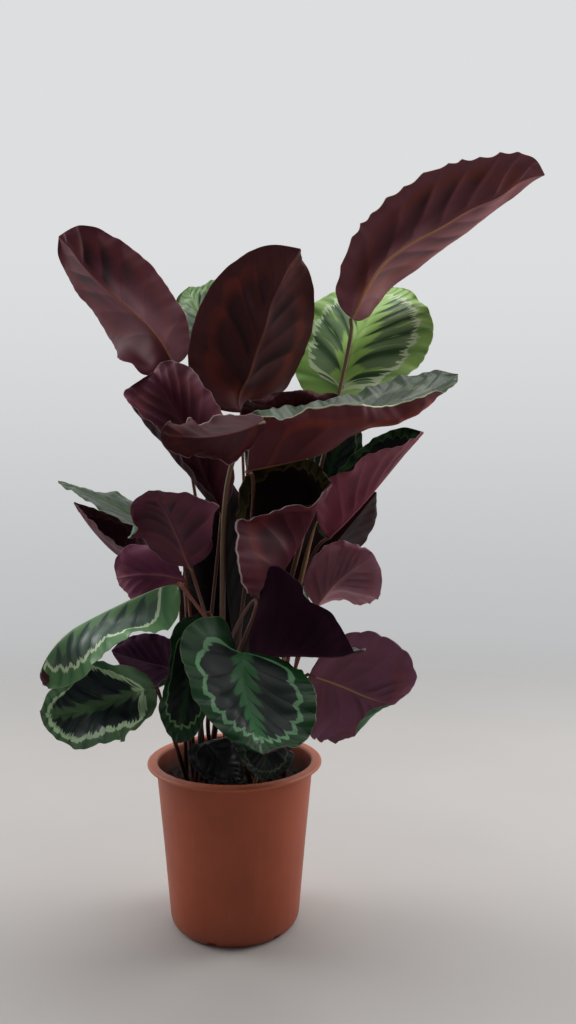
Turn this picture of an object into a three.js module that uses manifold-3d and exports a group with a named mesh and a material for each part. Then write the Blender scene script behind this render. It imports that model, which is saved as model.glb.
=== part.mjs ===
// Medallion calathea in its nursery pot. Millimetres, +Z up, origin on the floor under the pot's centre, front towards -Y.
import * as THREE from "three";
import { mergeVertices } from "three/addons/utils/BufferGeometryUtils.js";
import Module from "manifold-3d";

// ---- pot ----
const POT_HEIGHT = 227;
const POT_FLOOR = 3; // thickness of the floor
const POT_WALL = 2.3;
const POT_FOOT_R = 76; // flat ring it stands on
const POT_BASE_R = 89.5; // outer radius just above the rounded corner
const POT_TOP_R = 107.5; // outer radius just under the lip
const LIP_R = 120;
const LIP_DROP = 6;
const POT_SEGMENTS = 48;
const DRAIN_COUNT = 6;
const DRAIN_R = 6;
const DRAIN_RING_R = 86; // the holes break the rounded corner between floor and wall
const DRAIN_PHASE = 0.22; // radians
const DRAIN_TOP = 8;

// ---- potting soil ----
const SOIL_TOP = 200;
const SOIL_GAP = 0.4; // clearance to the pot
const SOIL_RELIEF = 2.2;

// ---- foliage ----
const BLADE_THICKNESS = 1.2;
// radius at fractions of the length, from the soil to the blade
const STALK_RADIUS = [[0, 3.4], [0.12, 3.1], [0.9, 2.2], [1, 1]];
const STALK_SCALE = { leaf_07: 1.38 }; // thicker than the others
const STALK_SIDES = 7;
const STALK_RINGS = 9;

// A blade is a net of 11 rows from its base (u = 0) to its tip (u = 1), each row 7 points from one margin (v = -1)
// over the midrib (v = 0) to the other margin (v = 1). Its upper side is the side that v x u points to.
const U = [0, 0.04, 0.12, 0.24, 0.38, 0.52, 0.66, 0.79, 0.9, 0.97, 1];
const V = [-1, -0.66, -0.3, 0, 0.3, 0.66, 1];
const BLADE_COLUMNS = [-1, -0.5, 0, 0.5, 1];

// Blades whose purple underside faces the front.
const UNDERSIDE_FORWARD = new Set(["leaf_01", "leaf_02", "leaf_03", "leaf_06", "leaf_07", "leaf_08", "leaf_09", "leaf_10", "leaf_13", "leaf_16", "leaf_17", "leaf_21", "leaf_22", "leaf_23", "leaf_24", "leaf_26", "leaf_27"]);

const BLADES = {
  leaf_01: `
    -85.8 29.5 770.7 -85.8 29.5 770.7 -85.8 29.5 770.7 -85.8 29.5 770.7 -85.8 29.5 770.7 -85.8 29.5 770.7 -85.8 29.5 770.7
    -69.8 54.7 788.1 -77.5 45.8 786.1 -85.1 36.5 783 -90.9 28.6 779.7 -99 26.3 773.7 -108.5 26.7 765.3 -117.2 28.9 757.2
    -66.9 67.7 815.9 -80.4 56.6 808.9 -92.6 41.8 802.8 -100.7 28 798.3 -114 31.2 788.3 -126.5 40.1 775.4 -143.6 33.5 772.4
    -76.1 78.6 850.7 -93.3 65.6 839.3 -109.3 48.4 829.2 -120 31.1 823.3 -130.4 45.4 811 -144.8 59.6 794.9 -165.6 61.4 782.5
    -97.5 86.3 883.3 -114.4 70.4 870.6 -132.8 54.2 857 -146.6 37.5 848 -152.3 58 837.1 -162.5 79.2 820.6 -177.3 92.4 802.2
    -119.2 83.5 914.2 -137.8 70.9 899.4 -157.5 57.5 883.8 -173.7 45.2 871.5 -178.5 66 860.7 -186 89.5 846 -196.8 107.9 829.2
    -146.7 77.5 939.5 -164.2 67.5 925.4 -183.3 58.8 909.7 -199.6 53.4 896 -204.8 71.5 885 -210.5 93.7 872.4 -216 114.5 860
    -177.5 69.8 958.8 -192.2 63.8 946.6 -208.2 61.4 932.6 -221.4 62.4 920.4 -226.6 76.1 910.4 -232.5 93.3 899 -238 109.6 888.4
    -210.2 64.5 971.1 -219.8 66 961 -229.8 68.3 950.5 -237.7 71.5 941.9 -242.7 79.5 934.3 -247.7 90.1 925.9 -251.2 101.3 919
    -237.1 70.2 968.4 -241.4 72.4 963.7 -246 74.4 958.7 -249.8 76.1 954.5 -252.3 79.9 950.7 -255.4 84.4 946.2 -258.5 88.4 941.8
    -255 78 959.9 -255 78 959.9 -255 78 959.9 -255 78 959.9 -255 78 959.9 -255 78 959.9 -255 78 959.9`,
  leaf_02: `
    8.5 25 704.6 8.5 25 704.6 8.5 25 704.6 8.5 25 704.6 8.5 25 704.6 8.5 25 704.6 8.5 25 704.6
    17.7 61.6 708.4 18 49.2 705.1 11.3 38.4 708.9 4.6 30.2 712 -3.4 22.7 712.9 -16.4 19.4 712.5 -29.2 17.9 710.9
    40 79.2 721.8 35 59.2 720.9 18.6 46.2 727.1 5 34.6 731 -10.2 24.3 732.8 -30.8 16.3 733.9 -51.9 12.9 734.6
    70 81.9 742.2 54.1 60.9 747 34.8 40.6 752 18.4 23.6 754.9 -5.4 18.2 762 -34.5 11.6 767.4 -62.7 8.3 772.2
    87.9 81.6 774.6 71.3 57.4 777.9 49.9 34.6 782.7 29.6 18.4 787.5 3.7 13.4 795.5 -27.7 7.7 804.2 -57.2 2.7 812.6
    101.4 76.9 806.8 84 53 810.1 61.8 31.1 815 42 14.3 819.8 15.7 9.7 828.3 -15.3 4 838.9 -44.2 -1.2 848.9
    109.9 67.2 840 90.3 49 844.4 67.9 31.7 849.1 50.2 15.9 853.2 28.6 8 861.1 2 0.6 871.5 -23.5 -4.7 881.8
    110.2 54.1 873.2 91.7 42.7 877.4 74.3 27.3 880.6 63.6 10.9 881.5 46.2 4.5 888.8 25.3 -2.2 898.1 5.3 -6.9 907
    102.7 38.3 903.1 91.3 28.6 904.3 82 15.9 904.9 75.8 4.2 904.3 64.8 -0.6 909.6 51 -4.7 916.5 38 -7.8 923.9
    90.2 18.4 919.5 90.5 11.2 919 88.3 3.9 917.7 85.9 -2.1 916.9 80.5 -3.9 919.9 73.7 -5.5 923.2 67.1 -6.6 926.4
    90.1 -4.5 922.6 90.1 -4.5 922.6 90.1 -4.5 922.6 90.1 -4.5 922.6 90.1 -4.5 922.6 90.1 -4.5 922.6 90.1 -4.5 922.6`,
  leaf_03: `
    162.5 42.1 837.7 162.5 42.1 837.7 162.5 42.1 837.7 162.5 42.1 837.7 162.5 42.1 837.7 162.5 42.1 837.7 162.5 42.1 837.7
    182.4 65.7 841 179.6 55.7 843.5 174 46.9 847.5 169.6 39.2 849.5 163.3 44.4 853.8 153.7 45.5 859.9 143.4 46.5 864.1
    199.6 84 860.1 195.1 67.9 865.8 189 51.2 870.8 182.7 37.9 875 175.2 49.6 880.1 161.1 47.3 890.8 147.2 45.4 900.6
    224.7 98.9 891.2 218.3 78.8 899.2 213 56.2 904.6 206.4 38.6 910.7 197.6 53.6 918 181.4 47.4 933.4 164.9 43.7 948.3
    262.3 107.5 918.7 257.5 84.5 926.1 252.3 59.9 932.3 245.8 41 940.6 234 51.9 954.1 217.8 46.1 972.8 202.4 41.1 991
    298.6 112.8 947.3 298.7 88.3 948.8 295 63.4 954.4 288.4 45.7 964.6 275.8 47.5 982.3 260.8 44.1 1003.3 246.9 38.9 1023.1
    337 111.8 974.5 337.7 89.3 975.5 334.8 66.4 981.1 329.7 49.5 990 319.5 46.8 1007 307.2 42.7 1027.3 295.4 37.8 1046.6
    372.3 104.5 1002.1 372.5 86.3 1003.2 371.5 67.1 1006 370.7 51.3 1008.7 363 47.7 1023.1 354.2 43.2 1040.3 345.6 38.7 1056
    404.6 89.6 1022.8 403.5 77.5 1025 402.2 64.7 1027.6 401.2 54.3 1030.5 398.2 48.7 1039.4 394.3 43.7 1051 390.5 39.1 1062.3
    424.3 71 1035.8 424.4 64.9 1035.7 424 58.6 1036.4 423.6 53.4 1037.7 422.8 50.7 1042.3 421.6 47.8 1048.1 421.2 44 1053.4
    433.7 52.8 1038.3 433.7 52.8 1038.3 433.7 52.8 1038.3 433.7 52.8 1038.3 433.7 52.8 1038.3 433.7 52.8 1038.3 433.7 52.8 1038.3`,
  leaf_04: `
    146.2 88.5 724.5 146.2 88.5 724.5 146.2 88.5 724.5 146.2 88.5 724.5 146.2 88.5 724.5 146.2 88.5 724.5 146.2 88.5 724.5
    107.6 96.6 735.4 121.9 93.6 735.9 136.7 90.6 735.1 148.6 88.6 733.2 158.4 82.6 729.2 167.7 71.8 724.5 174.4 59.3 721.7
    88.4 104.2 759.7 110.7 98.4 757.4 133.8 91.6 754.3 152.9 86.8 750.6 170.6 80.4 744.1 188.9 66.7 736.2 201.6 47.9 733.2
    82.7 113.7 794.6 109.7 105.9 787.7 137.1 93.7 781.9 159.7 83 776.5 183.6 78.8 768.7 210.8 68.6 758.3 231.8 49.2 753.3
    87.6 121.9 828.9 117 113.8 819.2 146.6 99.3 811.6 168.7 82.5 807.1 196.6 79 797.3 229.2 73.3 785.2 258.1 63.8 772.7
    100.4 129.8 857.6 129.6 120.5 847.3 159.8 106.3 838.9 184 91.7 833.5 211.1 85.4 823.9 244.2 78.4 812.2 274.9 74.8 798.6
    121.3 139.3 880.6 147.7 129.5 871.4 175.5 116.9 863.4 198.1 104.4 858.6 222.9 97.2 849.8 253.3 88 840.3 283 83.3 829.8
    148.9 150.2 895.1 170.2 140.9 888.6 193 131.1 881.7 212 123 876 231.3 114.8 871.1 254.9 105.6 865.1 277.8 98 859.5
    180.4 157.6 903.2 194.7 151 899.2 210.1 144.7 894.3 222.9 139.9 890 235.5 133.3 887.8 250.8 126 884.9 265.4 120.8 880.4
    208.9 158.8 905.4 216 155.7 903.4 223.6 152.8 901 229.9 150.6 898.8 236 147 898.1 243.1 142.5 897.7 249.7 137.9 897.8
    232.9 155 902.9 232.9 155 902.9 232.9 155 902.9 232.9 155 902.9 232.9 155 902.9 232.9 155 902.9 232.9 155 902.9`,
  leaf_05: `
    17.2 119.3 740.9 17.2 119.3 740.9 17.2 119.3 740.9 17.2 119.3 740.9 17.2 119.3 740.9 17.2 119.3 740.9 17.2 119.3 740.9
    -0.9 142 727 3.4 135.4 734.6 8.3 128.1 742.1 12.5 121.8 747.9 18.8 117 753.2 26.8 111.1 759.1 34.6 105.4 764.3
    -19.9 160.9 729.1 -12.1 149.8 740.7 -3.6 137.9 752.6 3.8 127.7 762 13.7 119.4 770.9 26.2 109.5 781.1 38.3 100.2 790.4
    -41.7 179.4 742.8 -30.7 165 756.8 -18.9 149.6 771.3 -8.9 136.8 783.2 3 125.5 794.9 17.9 112.2 808.7 32.4 100.2 821.6
    -61.6 193.9 764.4 -49.2 177.7 779.2 -35.7 160.8 794.9 -24.1 147 807.9 -11.8 133.7 820.8 3.7 118.5 836.4 18.9 104.8 851.1
    -77.5 204.1 789.2 -65.7 187 803.7 -52.3 169.7 819.2 -40.1 156.3 832.4 -28.1 142.6 845.3 -12.4 127.7 861.2 3 114.6 876.3
    -89.9 209.9 817.5 -80.1 193.2 830.4 -68.3 176.8 844.5 -57.5 164.2 856.5 -45.2 153.2 868.6 -29.3 141.4 883.4 -13.7 131.3 897.2
    -97.7 211 847.6 -91 196.6 857.9 -80.9 183.7 869.5 -71.2 174.4 879.5 -59.8 167 889.2 -45.1 159.5 900.7 -30.9 153.2 911.5
    -102.9 206.2 876.9 -95.9 198.5 884.2 -87 191.9 892 -79.2 187.1 898.5 -70.3 183.4 904.3 -58.9 180.1 910.7 -47.6 178 916.3
    -97.2 202.5 900.5 -91.7 201.3 903.3 -86 199.7 906.4 -81.7 197.9 909.3 -76.8 196.7 911.4 -70.3 196.2 912.4 -64.2 195.5 910.7
    -82.2 203.2 913.2 -82.2 203.2 913.2 -82.2 203.2 913.2 -82.2 203.2 913.2 -82.2 203.2 913.2 -82.2 203.2 913.2 -82.2 203.2 913.2`,
  leaf_06: `
    25.3 -130.1 621.1 25.3 -130.1 621.1 25.3 -130.1 621.1 25.3 -130.1 621.1 25.3 -130.1 621.1 25.3 -130.1 621.1 25.3 -130.1 621.1
    21 -131.5 658.1 20.7 -127.1 646.4 22 -122.4 634.4 23 -118.5 624.4 22.2 -122.6 634.6 21.3 -128.3 646.5 22.4 -134.8 657.1
    23 -112.8 687.8 30.3 -109.6 667.8 38 -106.8 646.8 43.7 -106.4 629.2 39.7 -109.4 647.8 34.1 -115.8 669.6 28.5 -124.2 689.5
    50.6 -81.5 702.5 63.2 -95 684.3 72.8 -100.5 659.1 79.7 -101.8 637.1 75.8 -111.1 657.7 71.1 -127.3 679.3 64 -151.1 686
    87.5 -53.2 708.8 100.8 -73.3 694.1 112.3 -85.5 669.1 122.2 -98.1 649.6 118.4 -120.5 660.7 113.5 -143.5 679.5 108.2 -162.8 699.9
    127.5 -35.8 719 139.6 -54.3 701.4 152.2 -74.3 682.9 158.1 -97.4 675.7 160.6 -121.9 671.3 157.7 -151.2 678 154.4 -162.9 703.9
    170.7 -30.8 730.1 180.4 -51.5 717.5 188.6 -75.6 706.7 192.3 -98.1 702.9 199.1 -117.1 691.5 203.3 -142.8 681.9 189.7 -135.7 702.2
    210.6 -40.1 744.3 218.2 -56.9 733.7 225 -76.3 724.3 230.1 -92.8 717 235.5 -108.4 707.8 240 -129.3 700.8 230.7 -144.1 712.9
    247.5 -54.2 750.9 252.4 -65.9 744.1 257.3 -78.4 736.8 261.5 -88.5 730.3 264.5 -100 725.7 266.8 -114.6 722.2 265.9 -129 723.5
    273.6 -70.5 751 275.8 -76.6 747.9 278.3 -82.7 744.3 280.6 -87.3 740.9 281.6 -93.3 739.3 282.7 -100.4 737.3 283.9 -107.1 735.1
    288.3 -87.5 746.3 288.3 -87.5 746.3 288.3 -87.5 746.3 288.3 -87.5 746.3 288.3 -87.5 746.3 288.3 -87.5 746.3 288.3 -87.5 746.3`,
  leaf_07: `
    45.8 -167.8 681.4 45.8 -167.8 681.4 45.8 -167.8 681.4 45.8 -167.8 681.4 45.8 -167.8 681.4 45.8 -167.8 681.4 45.8 -167.8 681.4
    41.1 -149.9 690.8 40 -158.2 686.4 40.1 -166.2 682.6 41.9 -171.3 679.9 42.7 -166.8 676.1 42.5 -158.3 674 41.3 -148.9 674.3
    25.3 -147.5 688.3 27 -159.5 686.1 29.8 -170.2 681.1 33.7 -177.3 676.4 35.2 -171.8 669.1 35.2 -161.2 663.3 32.8 -149.4 660.9
    3.3 -157.9 692 8.8 -168.1 684.7 15.3 -178.4 677.1 21.5 -186.2 670.9 22.9 -181.2 660.8 22.3 -171.4 650.7 20.7 -160.6 642.4
    -17 -169 686.6 -9 -176.8 677.2 -0.2 -187.5 670.4 7.2 -197.2 666.5 7.6 -192.6 654.9 6.1 -183.9 642.7 3.3 -173.9 632.7
    -32.8 -176.4 676.2 -24.2 -186.5 670.2 -14.8 -197.9 665.2 -7.5 -208.2 663.1 -9 -202.4 652 -12.3 -191.8 641.8 -15.9 -177.9 640.7
    -36.6 -191.6 686.8 -30.8 -201.2 679.7 -27.2 -210.8 670.2 -24.1 -217.6 661.3 -26.5 -210.1 652.7 -29.9 -199.2 644.6 -33.5 -187.2 640.4
    -48.1 -201.8 675.6 -44.7 -211.9 677.9 -41.8 -220.1 670.6 -40.8 -223.4 661.7 -42.7 -216.8 655.1 -45.4 -208.1 648.2 -48.1 -199.3 642.6
    -58.6 -216.1 679 -56.5 -222.2 675.5 -55.3 -226.2 668.9 -55.1 -227.2 662.6 -56.3 -222.8 658 -57.9 -217.5 652.6 -59.3 -212.7 647.2
    -64.5 -227.7 673.6 -64.3 -228.7 670 -64.2 -229.3 666.2 -64.2 -229.5 663.1 -64.7 -227.4 660.8 -65.3 -225 657.9 -65.8 -222.9 655.1
    -68.2 -230.3 663.3 -68.2 -230.3 663.3 -68.2 -230.3 663.3 -68.2 -230.3 663.3 -68.2 -230.3 663.3 -68.2 -230.3 663.3 -68.2 -230.3 663.3`,
  leaf_08: `
    76.5 -10.6 649.4 76.5 -10.6 649.4 76.5 -10.6 649.4 76.5 -10.6 649.4 76.5 -10.6 649.4 76.5 -10.6 649.4 76.5 -10.6 649.4
    108.1 -11.4 649.9 97.6 -9.8 651.1 86.6 -8.1 652.1 77.4 -6.8 652.8 68.6 -3.8 651.8 58 -0.4 650.4 47.9 2.7 649.1
    129.2 -8.6 656.7 112.2 -5.2 657.8 94.1 -1.8 658.7 79.1 0.8 659.4 64.4 5 658.4 46.6 9.3 657.5 29.6 12.9 656.8
    145.3 -4.3 670 123.7 1.5 670.1 100.7 7 670.2 81.3 10.9 670.6 61.9 14.6 670.8 38.4 17.8 671.3 16.2 19.7 671.9
    153.6 -1 687.2 130.1 6.9 686.7 104.4 12.8 686.8 82.7 16.3 687.4 60.8 18.6 688.2 34.5 20 689.3 9.8 19.6 690.1
    154.5 -1.1 705.2 130.7 5.9 704.4 104.3 8.2 703.8 82.4 9.3 703.6 60.5 10.7 704 34.1 12.4 705.2 9.2 12.3 706.5
    147.3 -6.7 722 125.1 -7.3 715.1 101.4 -7.3 712.1 81.5 -6.5 711.4 61.5 -5.8 710.4 37.6 -4.4 710.9 15.5 -1.8 717.4
    131 -17.5 729.1 116.6 -23.2 718.6 97.1 -23.2 715.2 80.7 -22.6 715.1 64.5 -22.2 713 44.8 -21.4 711.2 27.9 -18.1 718.6
    108.3 -20.6 728.1 102.6 -31.7 726.8 90.9 -35.3 721.8 80 -35.7 720.1 69 -35.1 719.3 56.1 -32.9 720.2 49.5 -22.5 722.9
    92.5 -33.2 730.5 89.4 -38.5 729.7 84.5 -41.9 727 79.4 -42.9 725.5 74.1 -42.2 725.4 67.9 -40.4 726.2 63.2 -36.5 727.5
    79.1 -45.5 728.4 79.1 -45.5 728.4 79.1 -45.5 728.4 79.1 -45.5 728.4 79.1 -45.5 728.4 79.1 -45.5 728.4 79.1 -45.5 728.4`,
  leaf_09: `
    -15.8 -28.8 567.5 -15.8 -28.8 567.5 -15.8 -28.8 567.5 -15.8 -28.8 567.5 -15.8 -28.8 567.5 -15.8 -28.8 567.5 -15.8 -28.8 567.5
    -1.8 -59.8 589.6 -8 -48.1 585.6 -14.5 -36 580.4 -19.5 -26.4 575.1 -22.9 -37.8 576.8 -23.1 -52.1 580.2 -21.4 -65.2 584.4
    3.1 -77.5 614.2 -6.9 -58.4 607.5 -17.8 -38.8 598.9 -26.9 -23.1 591.1 -34 -41.4 591.6 -35.8 -64.7 596.3 -33.9 -86.3 602.9
    2.8 -88.1 645.3 -10.5 -64.2 636.1 -25.1 -39.7 624.8 -37.7 -19.6 615.6 -49.6 -41.7 613.3 -54 -71.5 618.1 -51.4 -98.6 627.5
    -2.7 -91 676.9 -18.4 -65.4 666.5 -34.9 -39 654 -49.2 -17.1 644.4 -66.1 -38.8 638.7 -74.2 -71.4 641.7 -68.1 -99.8 654.7
    -13 -88.4 705.4 -29.3 -63.1 695 -46.4 -37.3 682.2 -61.8 -16.2 672.4 -81.8 -34.6 663.9 -93.8 -66.2 664.1 -88.9 -95.5 675.9
    -30.6 -81.1 730.4 -43.7 -57.2 721.8 -60.4 -35.1 708.9 -75.4 -16.7 699.1 -96.3 -29.3 689.3 -112.1 -56 686.5 -110.2 -83.8 694.9
    -49 -66.2 754.1 -62.8 -49.6 743.7 -77 -32.8 731.3 -89.1 -18 722.2 -107.9 -24.3 714 -125.5 -42 709.3 -130.2 -65.2 712.3
    -75.5 -49.1 766.5 -84.3 -38.9 756.9 -93.4 -27.4 747.9 -100 -16.7 741.2 -113.2 -19.6 736.6 -127.5 -28.7 732.9 -140.4 -39.5 731.1
    -98.6 -31.8 764.1 -100.1 -24.6 760.8 -102.8 -17.6 756.9 -105.1 -12 753.4 -111.7 -14 751.8 -117.4 -19.9 750.3 -119 -27 746.9
    -107 -9.4 758.6 -107 -9.4 758.6 -107 -9.4 758.6 -107 -9.4 758.6 -107 -9.4 758.6 -107 -9.4 758.6 -107 -9.4 758.6`,
  leaf_10: `
    -45.7 -133.8 507.1 -45.7 -133.8 507.1 -45.7 -133.8 507.1 -45.7 -133.8 507.1 -45.7 -133.8 507.1 -45.7 -133.8 507.1 -45.7 -133.8 507.1
    -22.5 -131.1 523 -29.9 -134.8 517.7 -38.9 -137.5 513.3 -47.1 -137.8 511 -54.4 -133.6 511.7 -63.4 -128.6 511.5 -72.3 -124.6 510.3
    -22.2 -133.7 544.7 -22.9 -141.6 531.1 -35.9 -146.3 521.8 -49.7 -145.1 519.4 -61.3 -137.6 521.4 -75.5 -128.7 522.7 -89.8 -121.8 522.4
    -21.1 -145.6 564.6 -19.4 -154.1 546.2 -35.8 -159.6 533.7 -52.9 -154.9 533.1 -67.4 -145 536.4 -85.5 -133.8 539.1 -104.2 -126.1 539.8
    -13 -161.8 577.9 -18.4 -171.3 558.3 -39.2 -174.3 547.4 -57.4 -166.8 548.3 -73.1 -155.7 552.6 -94.9 -146.5 553.1 -115.5 -144.8 544.3
    -8 -180.7 584.7 -21.6 -188.5 568.6 -44.3 -187.6 561.4 -61.9 -178.9 563.4 -78.7 -168.9 566.7 -101.4 -163.3 562.2 -115.9 -165.5 545.1
    -11.9 -201 589 -29.8 -203.7 579.3 -50.8 -199.4 576.1 -67.1 -191.6 577.7 -83.7 -184.6 578.3 -103.2 -182.4 569 -107.5 -184.6 549.1
    -25.4 -217.6 593.6 -41.6 -215.1 590.6 -58.5 -209.9 589.5 -72.4 -204.6 589.8 -86.5 -201.1 587.2 -101.2 -200.1 577.6 -99.7 -201.4 561
    -45 -226.2 601.2 -55.9 -223.6 599.5 -67.5 -220.2 598.4 -77.1 -217.4 597.4 -86.5 -215.9 594.1 -96.8 -215.2 587.9 -104.3 -215.3 579.2
    -64.2 -230.5 602.7 -69.6 -228.9 602.6 -75.3 -227.3 602 -80 -226.1 601.3 -84.6 -225.5 599.4 -90.1 -224.7 597.2 -95.4 -223.7 595.5
    -81.2 -230 602.8 -81.2 -230 602.8 -81.2 -230 602.8 -81.2 -230 602.8 -81.2 -230 602.8 -81.2 -230 602.8 -81.2 -230 602.8`,
  leaf_11: `
    -70.5 -30.8 525 -70.5 -30.8 525 -70.5 -30.8 525 -70.5 -30.8 525 -70.5 -30.8 525 -70.5 -30.8 525 -70.5 -30.8 525
    -80.1 -52.6 523.4 -79.1 -45 525.9 -78 -36.8 527.8 -77.2 -29.9 528.7 -75 -23.5 530.3 -71.9 -15.9 532.1 -68.5 -8.7 533.6
    -95.6 -65.9 529.9 -93.4 -53.4 533.2 -91.6 -39.8 535.3 -90.1 -28.4 536.5 -86.9 -17.7 539 -82.3 -4.9 542 -77.7 7 544.7
    -113.7 -75.2 547.2 -113.3 -58.5 546.6 -111.6 -40.9 547.2 -109.6 -26.2 548 -105.8 -12.4 551.3 -100.9 4.3 555.1 -96.2 19.9 558.6
    -138.2 -77.8 561.1 -136.6 -59.5 560.7 -134.5 -40 560.9 -132.3 -23.9 561.5 -128.4 -8.4 565 -123.8 10.3 568.7 -119.9 28.1 571.7
    -162.9 -75.4 572.2 -160.2 -57 573.3 -157.6 -37.6 573.9 -155.3 -21.4 574.4 -151.4 -5.8 577.9 -147.3 13.1 581 -144.9 31.5 581.4
    -185.4 -68 585.5 -183.4 -51.2 585.5 -181 -33.3 585.7 -178.9 -18.5 586 -175.4 -4.3 589.2 -171.5 13 592.3 -168.2 29.5 594.8
    -206.2 -56 596.8 -204.8 -42.3 596.1 -202.9 -27.7 595.9 -201.3 -15.6 595.9 -198.6 -3.9 598 -196.2 10.6 598.1 -194.3 23.6 593.9
    -224 -40.3 604.1 -222.8 -31 604 -221.4 -21.2 604.2 -220.2 -13 604.4 -218.8 -4.9 604.6 -217.3 4.8 603.8 -215.8 14 603
    -234.2 -24.5 608.6 -233.7 -20 608.7 -233.1 -15.2 609 -232.4 -11.2 609.4 -231.9 -7.3 608.9 -231.3 -2.7 607.5 -230.6 1.3 605.2
    -237.9 -10.4 610.9 -237.9 -10.4 610.9 -237.9 -10.4 610.9 -237.9 -10.4 610.9 -237.9 -10.4 610.9 -237.9 -10.4 610.9 -237.9 -10.4 610.9`,
  leaf_12: `
    -73.9 -19.9 487.3 -73.9 -19.9 487.3 -73.9 -19.9 487.3 -73.9 -19.9 487.3 -73.9 -19.9 487.3 -73.9 -19.9 487.3 -73.9 -19.9 487.3
    -73.8 -42.2 490.1 -76.6 -35.1 489.5 -79.1 -27.5 488.8 -80.8 -21.2 488.3 -81.8 -15.8 484.5 -82.6 -8.9 480.6 -83 -1.9 477.5
    -84 -58 496.4 -88.1 -46.6 493.9 -91.9 -34.3 491.5 -94.5 -23.9 489.6 -96.5 -14.5 484.5 -97.9 -1.8 481.2 -98.1 10.6 480.9
    -102.4 -69.9 507.8 -107.2 -55.8 502.3 -111.7 -40.4 497.5 -114.7 -27.2 494.2 -117 -13.8 490.8 -116.5 2.8 493.6 -112.5 16.8 500
    -124.2 -76 520.5 -129.3 -60.7 513.7 -134.1 -43.8 507.7 -137.8 -29.7 502.7 -136.5 -14.7 506.1 -129.2 -0.3 515.3 -118.8 10.2 524.6
    -146.4 -78.1 531.5 -150.6 -61.8 526.4 -154.9 -44.5 521.2 -158.6 -30.1 516.7 -150.4 -20 525.4 -138.7 -9.8 535.9 -127.4 -0.3 545.8
    -166.8 -74.5 545.2 -170.2 -59.2 541.3 -173.6 -43 537.4 -176.6 -29.5 534.1 -167.7 -21.6 542.3 -157.3 -11.8 551.8 -148.1 -1.4 559.9
    -182.9 -65.1 560.9 -186.4 -53 557.2 -189.3 -39.8 554 -191.6 -28.7 551.7 -185.7 -19.7 556.1 -178.3 -9.4 561.8 -171.2 -0.1 567.6
    -198.2 -52.9 572.6 -199.9 -44.4 570.7 -201.6 -35.3 568.9 -203 -27.7 567.6 -200.4 -20.5 569 -196.8 -12.1 571.2 -192.8 -4.6 573.8
    -207.6 -39.5 580 -208.2 -35.3 579.2 -209 -30.8 578.5 -209.9 -27.1 577.9 -208.8 -23.5 578.4 -207.5 -19.1 578.9 -206.3 -14.9 579.4
    -212.4 -26.9 582.6 -212.4 -26.9 582.6 -212.4 -26.9 582.6 -212.4 -26.9 582.6 -212.4 -26.9 582.6 -212.4 -26.9 582.6 -212.4 -26.9 582.6`,
  leaf_13: `
    -61.6 -63.6 482 -61.6 -63.6 482 -61.6 -63.6 482 -61.6 -63.6 482 -61.6 -63.6 482 -61.6 -63.6 482 -61.6 -63.6 482
    -75.5 -63 499 -69.8 -64.1 494.3 -64.8 -66.5 488.7 -62.2 -68.5 483 -65.3 -68.8 477.3 -69.4 -68.5 470.5 -73.3 -68.2 463.9
    -77.9 -66.3 515.6 -71.3 -70.1 506.1 -66.7 -74.8 495.1 -64.5 -78 485.1 -68.9 -78.7 475.3 -77.2 -78 465.6 -87.9 -76.6 460.1
    -74.4 -75.6 531.3 -71.8 -82.2 517.3 -70.6 -87.9 501.7 -69.8 -91.7 488.5 -73.3 -93.2 475.3 -83.1 -92.8 462.1 -97.8 -92.3 456.8
    -88.3 -85.8 536.8 -81.1 -95.7 524.2 -79.6 -101.9 506.9 -78.9 -106.1 492.3 -79.7 -109.4 477.4 -85.3 -110.2 460 -96.8 -108.5 447.2
    -102.9 -88.8 527.7 -95.9 -104.6 525.4 -92.8 -113 509.5 -91.4 -117.9 495.1 -90.5 -122.6 480.4 -91.1 -126.3 462.2 -94.7 -125.7 445
    -115.5 -100.1 532.6 -111.2 -113 524.3 -108.7 -120 509.2 -107.4 -124.2 496 -106.5 -128.7 482.8 -105.8 -134.1 466.9 -105.7 -137.7 451.3
    -127.6 -113.4 530.4 -126.2 -118.4 518.5 -124.5 -120.7 505.2 -123.2 -122.3 494.1 -122 -124.1 483 -120 -125.3 469.6 -116.2 -124.3 457.3
    -139.3 -114.7 516.8 -137.6 -114.9 508.2 -135.6 -114.7 499.2 -134.1 -114.7 491.7 -132.5 -114.8 484.2 -129.4 -114.1 475.5 -124.1 -112.4 468.8
    -142.4 -108.9 502.7 -141.5 -108.6 498.5 -140.3 -108.2 494.2 -139.4 -107.9 490.6 -138.3 -107.8 487 -136.6 -107.4 482.8 -134.9 -107.1 478.8
    -141.3 -104.8 490.2 -141.3 -104.8 490.2 -141.3 -104.8 490.2 -141.3 -104.8 490.2 -141.3 -104.8 490.2 -141.3 -104.8 490.2 -141.3 -104.8 490.2`,
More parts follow.
